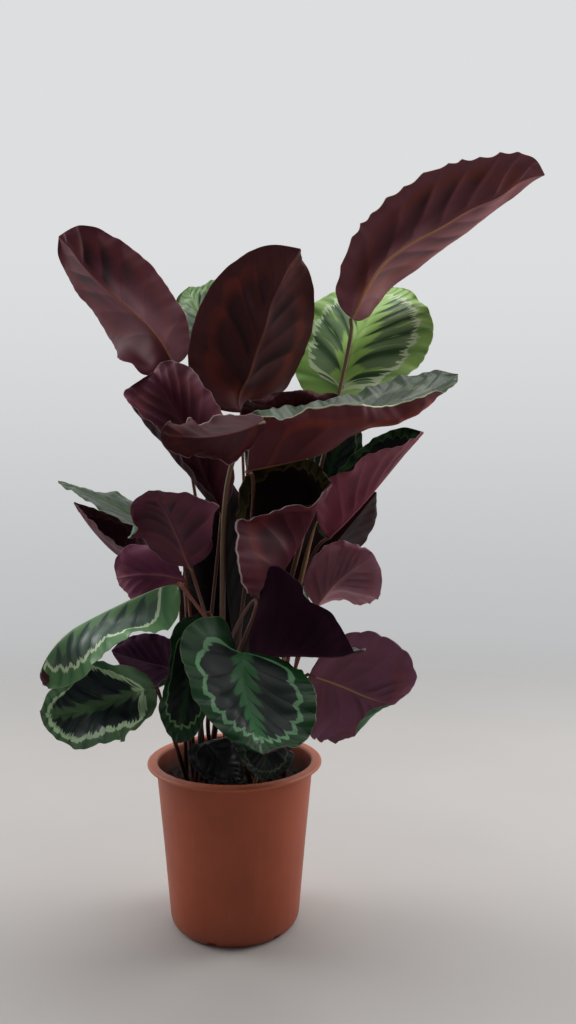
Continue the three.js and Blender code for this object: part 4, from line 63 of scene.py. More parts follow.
BLADES = {
    "leaf_01": """
      -85.8 29.5 770.7 -85.8 29.5 770.7 -85.8 29.5 770.7 -85.8 29.5 770.7 -85.8 29.5 770.7 -85.8 29.5 770.7 -85.8 29.5 770.7
      -69.8 54.7 788.1 -77.5 45.8 786.1 -85.1 36.5 783 -90.9 28.6 779.7 -99 26.3 773.7 -108.5 26.7 765.3 -117.2 28.9 757.2
      -66.9 67.7 815.9 -80.4 56.6 808.9 -92.6 41.8 802.8 -100.7 28 798.3 -114 31.2 788.3 -126.5 40.1 775.4 -143.6 33.5 772.4
      -76.1 78.6 850.7 -93.3 65.6 839.3 -109.3 48.4 829.2 -120 31.1 823.3 -130.4 45.4 811 -144.8 59.6 794.9 -165.6 61.4 782.5
      -97.5 86.3 883.3 -114.4 70.4 870.6 -132.8 54.2 857 -146.6 37.5 848 -152.3 58 837.1 -162.5 79.2 820.6 -177.3 92.4 802.2
      -119.2 83.5 914.2 -137.8 70.9 899.4 -157.5 57.5 883.8 -173.7 45.2 871.5 -178.5 66 860.7 -186 89.5 846 -196.8 107.9 829.2
      -146.7 77.5 939.5 -164.2 67.5 925.4 -183.3 58.8 909.7 -199.6 53.4 896 -204.8 71.5 885 -210.5 93.7 872.4 -216 114.5 860
      -177.5 69.8 958.8 -192.2 63.8 946.6 -208.2 61.4 932.6 -221.4 62.4 920.4 -226.6 76.1 910.4 -232.5 93.3 899 -238 109.6 888.4
      -210.2 64.5 971.1 -219.8 66 961 -229.8 68.3 950.5 -237.7 71.5 941.9 -242.7 79.5 934.3 -247.7 90.1 925.9 -251.2 101.3 919
      -237.1 70.2 968.4 -241.4 72.4 963.7 -246 74.4 958.7 -249.8 76.1 954.5 -252.3 79.9 950.7 -255.4 84.4 946.2 -258.5 88.4 941.8
      -255 78 959.9 -255 78 959.9 -255 78 959.9 -255 78 959.9 -255 78 959.9 -255 78 959.9 -255 78 959.9""",
    "leaf_02": """
      8.5 25 704.6 8.5 25 704.6 8.5 25 704.6 8.5 25 704.6 8.5 25 704.6 8.5 25 704.6 8.5 25 704.6
      17.7 61.6 708.4 18 49.2 705.1 11.3 38.4 708.9 4.6 30.2 712 -3.4 22.7 712.9 -16.4 19.4 712.5 -29.2 17.9 710.9
      40 79.2 721.8 35 59.2 720.9 18.6 46.2 727.1 5 34.6 731 -10.2 24.3 732.8 -30.8 16.3 733.9 -51.9 12.9 734.6
      70 81.9 742.2 54.1 60.9 747 34.8 40.6 752 18.4 23.6 754.9 -5.4 18.2 762 -34.5 11.6 767.4 -62.7 8.3 772.2
      87.9 81.6 774.6 71.3 57.4 777.9 49.9 34.6 782.7 29.6 18.4 787.5 3.7 13.4 795.5 -27.7 7.7 804.2 -57.2 2.7 812.6
      101.4 76.9 806.8 84 53 810.1 61.8 31.1 815 42 14.3 819.8 15.7 9.7 828.3 -15.3 4 838.9 -44.2 -1.2 848.9
      109.9 67.2 840 90.3 49 844.4 67.9 31.7 849.1 50.2 15.9 853.2 28.6 8 861.1 2 0.6 871.5 -23.5 -4.7 881.8
      110.2 54.1 873.2 91.7 42.7 877.4 74.3 27.3 880.6 63.6 10.9 881.5 46.2 4.5 888.8 25.3 -2.2 898.1 5.3 -6.9 907
      102.7 38.3 903.1 91.3 28.6 904.3 82 15.9 904.9 75.8 4.2 904.3 64.8 -0.6 909.6 51 -4.7 916.5 38 -7.8 923.9
      90.2 18.4 919.5 90.5 11.2 919 88.3 3.9 917.7 85.9 -2.1 916.9 80.5 -3.9 919.9 73.7 -5.5 923.2 67.1 -6.6 926.4
      90.1 -4.5 922.6 90.1 -4.5 922.6 90.1 -4.5 922.6 90.1 -4.5 922.6 90.1 -4.5 922.6 90.1 -4.5 922.6 90.1 -4.5 922.6""",
    "leaf_03": """
      162.5 42.1 837.7 162.5 42.1 837.7 162.5 42.1 837.7 162.5 42.1 837.7 162.5 42.1 837.7 162.5 42.1 837.7 162.5 42.1 837.7
      182.4 65.7 841 179.6 55.7 843.5 174 46.9 847.5 169.6 39.2 849.5 163.3 44.4 853.8 153.7 45.5 859.9 143.4 46.5 864.1
      199.6 84 860.1 195.1 67.9 865.8 189 51.2 870.8 182.7 37.9 875 175.2 49.6 880.1 161.1 47.3 890.8 147.2 45.4 900.6
      224.7 98.9 891.2 218.3 78.8 899.2 213 56.2 904.6 206.4 38.6 910.7 197.6 53.6 918 181.4 47.4 933.4 164.9 43.7 948.3
      262.3 107.5 918.7 257.5 84.5 926.1 252.3 59.9 932.3 245.8 41 940.6 234 51.9 954.1 217.8 46.1 972.8 202.4 41.1 991
      298.6 112.8 947.3 298.7 88.3 948.8 295 63.4 954.4 288.4 45.7 964.6 275.8 47.5 982.3 260.8 44.1 1003.3 246.9 38.9 1023.1
      337 111.8 974.5 337.7 89.3 975.5 334.8 66.4 981.1 329.7 49.5 990 319.5 46.8 1007 307.2 42.7 1027.3 295.4 37.8 1046.6
      372.3 104.5 1002.1 372.5 86.3 1003.2 371.5 67.1 1006 370.7 51.3 1008.7 363 47.7 1023.1 354.2 43.2 1040.3 345.6 38.7 1056
      404.6 89.6 1022.8 403.5 77.5 1025 402.2 64.7 1027.6 401.2 54.3 1030.5 398.2 48.7 1039.4 394.3 43.7 1051 390.5 39.1 1062.3
      424.3 71 1035.8 424.4 64.9 1035.7 424 58.6 1036.4 423.6 53.4 1037.7 422.8 50.7 1042.3 421.6 47.8 1048.1 421.2 44 1053.4
      433.7 52.8 1038.3 433.7 52.8 1038.3 433.7 52.8 1038.3 433.7 52.8 1038.3 433.7 52.8 1038.3 433.7 52.8 1038.3 433.7 52.8 1038.3""",
    "leaf_04": """
      146.2 88.5 724.5 146.2 88.5 724.5 146.2 88.5 724.5 146.2 88.5 724.5 146.2 88.5 724.5 146.2 88.5 724.5 146.2 88.5 724.5
      107.6 96.6 735.4 121.9 93.6 735.9 136.7 90.6 735.1 148.6 88.6 733.2 158.4 82.6 729.2 167.7 71.8 724.5 174.4 59.3 721.7
      88.4 104.2 759.7 110.7 98.4 757.4 133.8 91.6 754.3 152.9 86.8 750.6 170.6 80.4 744.1 188.9 66.7 736.2 201.6 47.9 733.2
      82.7 113.7 794.6 109.7 105.9 787.7 137.1 93.7 781.9 159.7 83 776.5 183.6 78.8 768.7 210.8 68.6 758.3 231.8 49.2 753.3
      87.6 121.9 828.9 117 113.8 819.2 146.6 99.3 811.6 168.7 82.5 807.1 196.6 79 797.3 229.2 73.3 785.2 258.1 63.8 772.7
      100.4 129.8 857.6 129.6 120.5 847.3 159.8 106.3 838.9 184 91.7 833.5 211.1 85.4 823.9 244.2 78.4 812.2 274.9 74.8 798.6
      121.3 139.3 880.6 147.7 129.5 871.4 175.5 116.9 863.4 198.1 104.4 858.6 222.9 97.2 849.8 253.3 88 840.3 283 83.3 829.8
      148.9 150.2 895.1 170.2 140.9 888.6 193 131.1 881.7 212 123 876 231.3 114.8 871.1 254.9 105.6 865.1 277.8 98 859.5
      180.4 157.6 903.2 194.7 151 899.2 210.1 144.7 894.3 222.9 139.9 890 235.5 133.3 887.8 250.8 126 884.9 265.4 120.8 880.4
      208.9 158.8 905.4 216 155.7 903.4 223.6 152.8 901 229.9 150.6 898.8 236 147 898.1 243.1 142.5 897.7 249.7 137.9 897.8
      232.9 155 902.9 232.9 155 902.9 232.9 155 902.9 232.9 155 902.9 232.9 155 902.9 232.9 155 902.9 232.9 155 902.9""",
    "leaf_05": """
      17.2 119.3 740.9 17.2 119.3 740.9 17.2 119.3 740.9 17.2 119.3 740.9 17.2 119.3 740.9 17.2 119.3 740.9 17.2 119.3 740.9
      -0.9 142 727 3.4 135.4 734.6 8.3 128.1 742.1 12.5 121.8 747.9 18.8 117 753.2 26.8 111.1 759.1 34.6 105.4 764.3
      -19.9 160.9 729.1 -12.1 149.8 740.7 -3.6 137.9 752.6 3.8 127.7 762 13.7 119.4 770.9 26.2 109.5 781.1 38.3 100.2 790.4
      -41.7 179.4 742.8 -30.7 165 756.8 -18.9 149.6 771.3 -8.9 136.8 783.2 3 125.5 794.9 17.9 112.2 808.7 32.4 100.2 821.6
      -61.6 193.9 764.4 -49.2 177.7 779.2 -35.7 160.8 794.9 -24.1 147 807.9 -11.8 133.7 820.8 3.7 118.5 836.4 18.9 104.8 851.1
      -77.5 204.1 789.2 -65.7 187 803.7 -52.3 169.7 819.2 -40.1 156.3 832.4 -28.1 142.6 845.3 -12.4 127.7 861.2 3 114.6 876.3
      -89.9 209.9 817.5 -80.1 193.2 830.4 -68.3 176.8 844.5 -57.5 164.2 856.5 -45.2 153.2 868.6 -29.3 141.4 883.4 -13.7 131.3 897.2
      -97.7 211 847.6 -91 196.6 857.9 -80.9 183.7 869.5 -71.2 174.4 879.5 -59.8 167 889.2 -45.1 159.5 900.7 -30.9 153.2 911.5
      -102.9 206.2 876.9 -95.9 198.5 884.2 -87 191.9 892 -79.2 187.1 898.5 -70.3 183.4 904.3 -58.9 180.1 910.7 -47.6 178 916.3
      -97.2 202.5 900.5 -91.7 201.3 903.3 -86 199.7 906.4 -81.7 197.9 909.3 -76.8 196.7 911.4 -70.3 196.2 912.4 -64.2 195.5 910.7
      -82.2 203.2 913.2 -82.2 203.2 913.2 -82.2 203.2 913.2 -82.2 203.2 913.2 -82.2 203.2 913.2 -82.2 203.2 913.2 -82.2 203.2 913.2""",
    "leaf_06": """
      25.3 -130.1 621.1 25.3 -130.1 621.1 25.3 -130.1 621.1 25.3 -130.1 621.1 25.3 -130.1 621.1 25.3 -130.1 621.1 25.3 -130.1 621.1
      21 -131.5 658.1 20.7 -127.1 646.4 22 -122.4 634.4 23 -118.5 624.4 22.2 -122.6 634.6 21.3 -128.3 646.5 22.4 -134.8 657.1
      23 -112.8 687.8 30.3 -109.6 667.8 38 -106.8 646.8 43.7 -106.4 629.2 39.7 -109.4 647.8 34.1 -115.8 669.6 28.5 -124.2 689.5
      50.6 -81.5 702.5 63.2 -95 684.3 72.8 -100.5 659.1 79.7 -101.8 637.1 75.8 -111.1 657.7 71.1 -127.3 679.3 64 -151.1 686
      87.5 -53.2 708.8 100.8 -73.3 694.1 112.3 -85.5 669.1 122.2 -98.1 649.6 118.4 -120.5 660.7 113.5 -143.5 679.5 108.2 -162.8 699.9
      127.5 -35.8 719 139.6 -54.3 701.4 152.2 -74.3 682.9 158.1 -97.4 675.7 160.6 -121.9 671.3 157.7 -151.2 678 154.4 -162.9 703.9
      170.7 -30.8 730.1 180.4 -51.5 717.5 188.6 -75.6 706.7 192.3 -98.1 702.9 199.1 -117.1 691.5 203.3 -142.8 681.9 189.7 -135.7 702.2
      210.6 -40.1 744.3 218.2 -56.9 733.7 225 -76.3 724.3 230.1 -92.8 717 235.5 -108.4 707.8 240 -129.3 700.8 230.7 -144.1 712.9
      247.5 -54.2 750.9 252.4 -65.9 744.1 257.3 -78.4 736.8 261.5 -88.5 730.3 264.5 -100 725.7 266.8 -114.6 722.2 265.9 -129 723.5
      273.6 -70.5 751 275.8 -76.6 747.9 278.3 -82.7 744.3 280.6 -87.3 740.9 281.6 -93.3 739.3 282.7 -100.4 737.3 283.9 -107.1 735.1
      288.3 -87.5 746.3 288.3 -87.5 746.3 288.3 -87.5 746.3 288.3 -87.5 746.3 288.3 -87.5 746.3 288.3 -87.5 746.3 288.3 -87.5 746.3""",
    "leaf_07": """
      45.8 -167.8 681.4 45.8 -167.8 681.4 45.8 -167.8 681.4 45.8 -167.8 681.4 45.8 -167.8 681.4 45.8 -167.8 681.4 45.8 -167.8 681.4
      41.1 -149.9 690.8 40 -158.2 686.4 40.1 -166.2 682.6 41.9 -171.3 679.9 42.7 -166.8 676.1 42.5 -158.3 674 41.3 -148.9 674.3
      25.3 -147.5 688.3 27 -159.5 686.1 29.8 -170.2 681.1 33.7 -177.3 676.4 35.2 -171.8 669.1 35.2 -161.2 663.3 32.8 -149.4 660.9
      3.3 -157.9 692 8.8 -168.1 684.7 15.3 -178.4 677.1 21.5 -186.2 670.9 22.9 -181.2 660.8 22.3 -171.4 650.7 20.7 -160.6 642.4
      -17 -169 686.6 -9 -176.8 677.2 -0.2 -187.5 670.4 7.2 -197.2 666.5 7.6 -192.6 654.9 6.1 -183.9 642.7 3.3 -173.9 632.7
      -32.8 -176.4 676.2 -24.2 -186.5 670.2 -14.8 -197.9 665.2 -7.5 -208.2 663.1 -9 -202.4 652 -12.3 -191.8 641.8 -15.9 -177.9 640.7
      -36.6 -191.6 686.8 -30.8 -201.2 679.7 -27.2 -210.8 670.2 -24.1 -217.6 661.3 -26.5 -210.1 652.7 -29.9 -199.2 644.6 -33.5 -187.2 640.4
      -48.1 -201.8 675.6 -44.7 -211.9 677.9 -41.8 -220.1 670.6 -40.8 -223.4 661.7 -42.7 -216.8 655.1 -45.4 -208.1 648.2 -48.1 -199.3 642.6
      -58.6 -216.1 679 -56.5 -222.2 675.5 -55.3 -226.2 668.9 -55.1 -227.2 662.6 -56.3 -222.8 658 -57.9 -217.5 652.6 -59.3 -212.7 647.2
      -64.5 -227.7 673.6 -64.3 -228.7 670 -64.2 -229.3 666.2 -64.2 -229.5 663.1 -64.7 -227.4 660.8 -65.3 -225 657.9 -65.8 -222.9 655.1
      -68.2 -230.3 663.3 -68.2 -230.3 663.3 -68.2 -230.3 663.3 -68.2 -230.3 663.3 -68.2 -230.3 663.3 -68.2 -230.3 663.3 -68.2 -230.3 663.3""",
    "leaf_08": """
      76.5 -10.6 649.4 76.5 -10.6 649.4 76.5 -10.6 649.4 76.5 -10.6 649.4 76.5 -10.6 649.4 76.5 -10.6 649.4 76.5 -10.6 649.4
      108.1 -11.4 649.9 97.6 -9.8 651.1 86.6 -8.1 652.1 77.4 -6.8 652.8 68.6 -3.8 651.8 58 -0.4 650.4 47.9 2.7 649.1
      129.2 -8.6 656.7 112.2 -5.2 657.8 94.1 -1.8 658.7 79.1 0.8 659.4 64.4 5 658.4 46.6 9.3 657.5 29.6 12.9 656.8
      145.3 -4.3 670 123.7 1.5 670.1 100.7 7 670.2 81.3 10.9 670.6 61.9 14.6 670.8 38.4 17.8 671.3 16.2 19.7 671.9
      153.6 -1 687.2 130.1 6.9 686.7 104.4 12.8 686.8 82.7 16.3 687.4 60.8 18.6 688.2 34.5 20 689.3 9.8 19.6 690.1
      154.5 -1.1 705.2 130.7 5.9 704.4 104.3 8.2 703.8 82.4 9.3 703.6 60.5 10.7 704 34.1 12.4 705.2 9.2 12.3 706.5
      147.3 -6.7 722 125.1 -7.3 715.1 101.4 -7.3 712.1 81.5 -6.5 711.4 61.5 -5.8 710.4 37.6 -4.4 710.9 15.5 -1.8 717.4
      131 -17.5 729.1 116.6 -23.2 718.6 97.1 -23.2 715.2 80.7 -22.6 715.1 64.5 -22.2 713 44.8 -21.4 711.2 27.9 -18.1 718.6
      108.3 -20.6 728.1 102.6 -31.7 726.8 90.9 -35.3 721.8 80 -35.7 720.1 69 -35.1 719.3 56.1 -32.9 720.2 49.5 -22.5 722.9
      92.5 -33.2 730.5 89.4 -38.5 729.7 84.5 -41.9 727 79.4 -42.9 725.5 74.1 -42.2 725.4 67.9 -40.4 726.2 63.2 -36.5 727.5
      79.1 -45.5 728.4 79.1 -45.5 728.4 79.1 -45.5 728.4 79.1 -45.5 728.4 79.1 -45.5 728.4 79.1 -45.5 728.4 79.1 -45.5 728.4""",
    "leaf_09": """
      -15.8 -28.8 567.5 -15.8 -28.8 567.5 -15.8 -28.8 567.5 -15.8 -28.8 567.5 -15.8 -28.8 567.5 -15.8 -28.8 567.5 -15.8 -28.8 567.5
      -1.8 -59.8 589.6 -8 -48.1 585.6 -14.5 -36 580.4 -19.5 -26.4 575.1 -22.9 -37.8 576.8 -23.1 -52.1 580.2 -21.4 -65.2 584.4
      3.1 -77.5 614.2 -6.9 -58.4 607.5 -17.8 -38.8 598.9 -26.9 -23.1 591.1 -34 -41.4 591.6 -35.8 -64.7 596.3 -33.9 -86.3 602.9
      2.8 -88.1 645.3 -10.5 -64.2 636.1 -25.1 -39.7 624.8 -37.7 -19.6 615.6 -49.6 -41.7 613.3 -54 -71.5 618.1 -51.4 -98.6 627.5
      -2.7 -91 676.9 -18.4 -65.4 666.5 -34.9 -39 654 -49.2 -17.1 644.4 -66.1 -38.8 638.7 -74.2 -71.4 641.7 -68.1 -99.8 654.7
      -13 -88.4 705.4 -29.3 -63.1 695 -46.4 -37.3 682.2 -61.8 -16.2 672.4 -81.8 -34.6 663.9 -93.8 -66.2 664.1 -88.9 -95.5 675.9
      -30.6 -81.1 730.4 -43.7 -57.2 721.8 -60.4 -35.1 708.9 -75.4 -16.7 699.1 -96.3 -29.3 689.3 -112.1 -56 686.5 -110.2 -83.8 694.9
      -49 -66.2 754.1 -62.8 -49.6 743.7 -77 -32.8 731.3 -89.1 -18 722.2 -107.9 -24.3 714 -125.5 -42 709.3 -130.2 -65.2 712.3
      -75.5 -49.1 766.5 -84.3 -38.9 756.9 -93.4 -27.4 747.9 -100 -16.7 741.2 -113.2 -19.6 736.6 -127.5 -28.7 732.9 -140.4 -39.5 731.1
      -98.6 -31.8 764.1 -100.1 -24.6 760.8 -102.8 -17.6 756.9 -105.1 -12 753.4 -111.7 -14 751.8 -117.4 -19.9 750.3 -119 -27 746.9
      -107 -9.4 758.6 -107 -9.4 758.6 -107 -9.4 758.6 -107 -9.4 758.6 -107 -9.4 758.6 -107 -9.4 758.6 -107 -9.4 758.6""",
    "leaf_10": """
      -45.7 -133.8 507.1 -45.7 -133.8 507.1 -45.7 -133.8 507.1 -45.7 -133.8 507.1 -45.7 -133.8 507.1 -45.7 -133.8 507.1 -45.7 -133.8 507.1
      -22.5 -131.1 523 -29.9 -134.8 517.7 -38.9 -137.5 513.3 -47.1 -137.8 511 -54.4 -133.6 511.7 -63.4 -128.6 511.5 -72.3 -124.6 510.3
      -22.2 -133.7 544.7 -22.9 -141.6 531.1 -35.9 -146.3 521.8 -49.7 -145.1 519.4 -61.3 -137.6 521.4 -75.5 -128.7 522.7 -89.8 -121.8 522.4
      -21.1 -145.6 564.6 -19.4 -154.1 546.2 -35.8 -159.6 533.7 -52.9 -154.9 533.1 -67.4 -145 536.4 -85.5 -133.8 539.1 -104.2 -126.1 539.8
      -13 -161.8 577.9 -18.4 -171.3 558.3 -39.2 -174.3 547.4 -57.4 -166.8 548.3 -73.1 -155.7 552.6 -94.9 -146.5 553.1 -115.5 -144.8 544.3
      -8 -180.7 584.7 -21.6 -188.5 568.6 -44.3 -187.6 561.4 -61.9 -178.9 563.4 -78.7 -168.9 566.7 -101.4 -163.3 562.2 -115.9 -165.5 545.1
      -11.9 -201 589 -29.8 -203.7 579.3 -50.8 -199.4 576.1 -67.1 -191.6 577.7 -83.7 -184.6 578.3 -103.2 -182.4 569 -107.5 -184.6 549.1
      -25.4 -217.6 593.6 -41.6 -215.1 590.6 -58.5 -209.9 589.5 -72.4 -204.6 589.8 -86.5 -201.1 587.2 -101.2 -200.1 577.6 -99.7 -201.4 561
      -45 -226.2 601.2 -55.9 -223.6 599.5 -67.5 -220.2 598.4 -77.1 -217.4 597.4 -86.5 -215.9 594.1 -96.8 -215.2 587.9 -104.3 -215.3 579.2
      -64.2 -230.5 602.7 -69.6 -228.9 602.6 -75.3 -227.3 602 -80 -226.1 601.3 -84.6 -225.5 599.4 -90.1 -224.7 597.2 -95.4 -223.7 595.5
      -81.2 -230 602.8 -81.2 -230 602.8 -81.2 -230 602.8 -81.2 -230 602.8 -81.2 -230 602.8 -81.2 -230 602.8 -81.2 -230 602.8""",
    "leaf_11": """
      -70.5 -30.8 525 -70.5 -30.8 525 -70.5 -30.8 525 -70.5 -30.8 525 -70.5 -30.8 525 -70.5 -30.8 525 -70.5 -30.8 525
      -80.1 -52.6 523.4 -79.1 -45 525.9 -78 -36.8 527.8 -77.2 -29.9 528.7 -75 -23.5 530.3 -71.9 -15.9 532.1 -68.5 -8.7 533.6
      -95.6 -65.9 529.9 -93.4 -53.4 533.2 -91.6 -39.8 535.3 -90.1 -28.4 536.5 -86.9 -17.7 539 -82.3 -4.9 542 -77.7 7 544.7
      -113.7 -75.2 547.2 -113.3 -58.5 546.6 -111.6 -40.9 547.2 -109.6 -26.2 548 -105.8 -12.4 551.3 -100.9 4.3 555.1 -96.2 19.9 558.6
      -138.2 -77.8 561.1 -136.6 -59.5 560.7 -134.5 -40 560.9 -132.3 -23.9 561.5 -128.4 -8.4 565 -123.8 10.3 568.7 -119.9 28.1 571.7
      -162.9 -75.4 572.2 -160.2 -57 573.3 -157.6 -37.6 573.9 -155.3 -21.4 574.4 -151.4 -5.8 577.9 -147.3 13.1 581 -144.9 31.5 581.4
      -185.4 -68 585.5 -183.4 -51.2 585.5 -181 -33.3 585.7 -178.9 -18.5 586 -175.4 -4.3 589.2 -171.5 13 592.3 -168.2 29.5 594.8
      -206.2 -56 596.8 -204.8 -42.3 596.1 -202.9 -27.7 595.9 -201.3 -15.6 595.9 -198.6 -3.9 598 -196.2 10.6 598.1 -194.3 23.6 593.9
      -224 -40.3 604.1 -222.8 -31 604 -221.4 -21.2 604.2 -220.2 -13 604.4 -218.8 -4.9 604.6 -217.3 4.8 603.8 -215.8 14 603
      -234.2 -24.5 608.6 -233.7 -20 608.7 -233.1 -15.2 609 -232.4 -11.2 609.4 -231.9 -7.3 608.9 -231.3 -2.7 607.5 -230.6 1.3 605.2
      -237.9 -10.4 610.9 -237.9 -10.4 610.9 -237.9 -10.4 610.9 -237.9 -10.4 610.9 -237.9 -10.4 610.9 -237.9 -10.4 610.9 -237.9 -10.4 610.9""",
    "leaf_12": """
      -73.9 -19.9 487.3 -73.9 -19.9 487.3 -73.9 -19.9 487.3 -73.9 -19.9 487.3 -73.9 -19.9 487.3 -73.9 -19.9 487.3 -73.9 -19.9 487.3
      -73.8 -42.2 490.1 -76.6 -35.1 489.5 -79.1 -27.5 488.8 -80.8 -21.2 488.3 -81.8 -15.8 484.5 -82.6 -8.9 480.6 -83 -1.9 477.5
      -84 -58 496.4 -88.1 -46.6 493.9 -91.9 -34.3 491.5 -94.5 -23.9 489.6 -96.5 -14.5 484.5 -97.9 -1.8 481.2 -98.1 10.6 480.9
      -102.4 -69.9 507.8 -107.2 -55.8 502.3 -111.7 -40.4 497.5 -114.7 -27.2 494.2 -117 -13.8 490.8 -116.5 2.8 493.6 -112.5 16.8 500
      -124.2 -76 520.5 -129.3 -60.7 513.7 -134.1 -43.8 507.7 -137.8 -29.7 502.7 -136.5 -14.7 506.1 -129.2 -0.3 515.3 -118.8 10.2 524.6
      -146.4 -78.1 531.5 -150.6 -61.8 526.4 -154.9 -44.5 521.2 -158.6 -30.1 516.7 -150.4 -20 525.4 -138.7 -9.8 535.9 -127.4 -0.3 545.8
      -166.8 -74.5 545.2 -170.2 -59.2 541.3 -173.6 -43 537.4 -176.6 -29.5 534.1 -167.7 -21.6 542.3 -157.3 -11.8 551.8 -148.1 -1.4 559.9
      -182.9 -65.1 560.9 -186.4 -53 557.2 -189.3 -39.8 554 -191.6 -28.7 551.7 -185.7 -19.7 556.1 -178.3 -9.4 561.8 -171.2 -0.1 567.6
      -198.2 -52.9 572.6 -199.9 -44.4 570.7 -201.6 -35.3 568.9 -203 -27.7 567.6 -200.4 -20.5 569 -196.8 -12.1 571.2 -192.8 -4.6 573.8
      -207.6 -39.5 580 -208.2 -35.3 579.2 -209 -30.8 578.5 -209.9 -27.1 577.9 -208.8 -23.5 578.4 -207.5 -19.1 578.9 -206.3 -14.9 579.4
      -212.4 -26.9 582.6 -212.4 -26.9 582.6 -212.4 -26.9 582.6 -212.4 -26.9 582.6 -212.4 -26.9 582.6 -212.4 -26.9 582.6 -212.4 -26.9 582.6""",
    "leaf_13": """
      -61.6 -63.6 482 -61.6 -63.6 482 -61.6 -63.6 482 -61.6 -63.6 482 -61.6 -63.6 482 -61.6 -63.6 482 -61.6 -63.6 482
      -75.5 -63 499 -69.8 -64.1 494.3 -64.8 -66.5 488.7 -62.2 -68.5 483 -65.3 -68.8 477.3 -69.4 -68.5 470.5 -73.3 -68.2 463.9
      -77.9 -66.3 515.6 -71.3 -70.1 506.1 -66.7 -74.8 495.1 -64.5 -78 485.1 -68.9 -78.7 475.3 -77.2 -78 465.6 -87.9 -76.6 460.1
      -74.4 -75.6 531.3 -71.8 -82.2 517.3 -70.6 -87.9 501.7 -69.8 -91.7 488.5 -73.3 -93.2 475.3 -83.1 -92.8 462.1 -97.8 -92.3 456.8
      -88.3 -85.8 536.8 -81.1 -95.7 524.2 -79.6 -101.9 506.9 -78.9 -106.1 492.3 -79.7 -109.4 477.4 -85.3 -110.2 460 -96.8 -108.5 447.2
      -102.9 -88.8 527.7 -95.9 -104.6 525.4 -92.8 -113 509.5 -91.4 -117.9 495.1 -90.5 -122.6 480.4 -91.1 -126.3 462.2 -94.7 -125.7 445
      -115.5 -100.1 532.6 -111.2 -113 524.3 -108.7 -120 509.2 -107.4 -124.2 496 -106.5 -128.7 482.8 -105.8 -134.1 466.9 -105.7 -137.7 451.3
      -127.6 -113.4 530.4 -126.2 -118.4 518.5 -124.5 -120.7 505.2 -123.2 -122.3 494.1 -122 -124.1 483 -120 -125.3 469.6 -116.2 -124.3 457.3
      -139.3 -114.7 516.8 -137.6 -114.9 508.2 -135.6 -114.7 499.2 -134.1 -114.7 491.7 -132.5 -114.8 484.2 -129.4 -114.1 475.5 -124.1 -112.4 468.8
      -142.4 -108.9 502.7 -141.5 -108.6 498.5 -140.3 -108.2 494.2 -139.4 -107.9 490.6 -138.3 -107.8 487 -136.6 -107.4 482.8 -134.9 -107.1 478.8
      -141.3 -104.8 490.2 -141.3 -104.8 490.2 -141.3 -104.8 490.2 -141.3 -104.8 490.2 -141.3 -104.8 490.2 -141.3 -104.8 490.2 -141.3 -104.8 490.2""",
    "leaf_14": """
      -55.6 -181.7 492.6 -55.6 -181.7 492.6 -55.6 -181.7 492.6 -55.6 -181.7 492.6 -55.6 -181.7 492.6 -55.6 -181.7 492.6 -55.6 -181.7 492.6
      -52.7 -192.4 466.9 -56.9 -189.9 475.3 -60.8 -187.1 484.4 -63.2 -184.3 492.2 -64.5 -177.8 487 -65.5 -169 481.7 -65.6 -160.4 477.2
      -58.8 -206.5 448.5 -65.9 -200.5 461.9 -73 -194.5 476.3 -78.4 -189.3 488.4 -79.7 -178.3 480.1 -81.4 -163.9 471.8 -82.5 -149.7 464.8
      -70.7 -232.1 445.2 -82 -217.4 452.9 -92.3 -204.6 466.6 -100.3 -196.4 479.9 -101.3 -182.3 469.6 -104 -163.6 459.7 -106.7 -145.3 451.8
      -91.8 -252.8 449 -103.5 -234.2 449.1 -115.6 -216.1 457.1 -125.4 -204.6 469 -125.6 -189.3 457.3 -128.6 -168.6 446.9 -132.2 -148.3 438.5
      -114.2 -263.4 435.8 -126.8 -246.9 443.7 -139.1 -227.8 449.7 -150 -213.7 457.3 -149.1 -198.4 445.4 -151.6 -177.5 434.8 -155.4 -157.1 426.2
      -136.1 -262.2 418.5 -147.8 -248 426.5 -161.4 -234 435.4 -173.7 -224 443.7 -170.8 -210 432.7 -172.2 -190.9 422.6 -176.1 -172.3 415
      -149.4 -245.6 399.9 -163.2 -239.3 407.3 -178.2 -235.1 416.5 -190.8 -234.8 424.9 -186.5 -223.1 417.3 -186.7 -207.7 408.9 -190.4 -192.8 402.7
      -171.7 -237.9 386.2 -181.3 -236.4 393.1 -191.7 -238.8 400.2 -199.2 -244 405.6 -193.5 -236.9 402 -192.5 -226.7 396.2 -195.8 -216.9 392
      -192.6 -241.2 383.2 -194.9 -244.6 387.4 -195.8 -249.1 391.4 -195.8 -252.6 394.9 -193.9 -248.3 393.3 -193.1 -243.2 390.5 -193.4 -238.3 388.1
      -191.3 -255.3 391.9 -191.3 -255.3 391.9 -191.3 -255.3 391.9 -191.3 -255.3 391.9 -191.3 -255.3 391.9 -191.3 -255.3 391.9 -191.3 -255.3 391.9""",
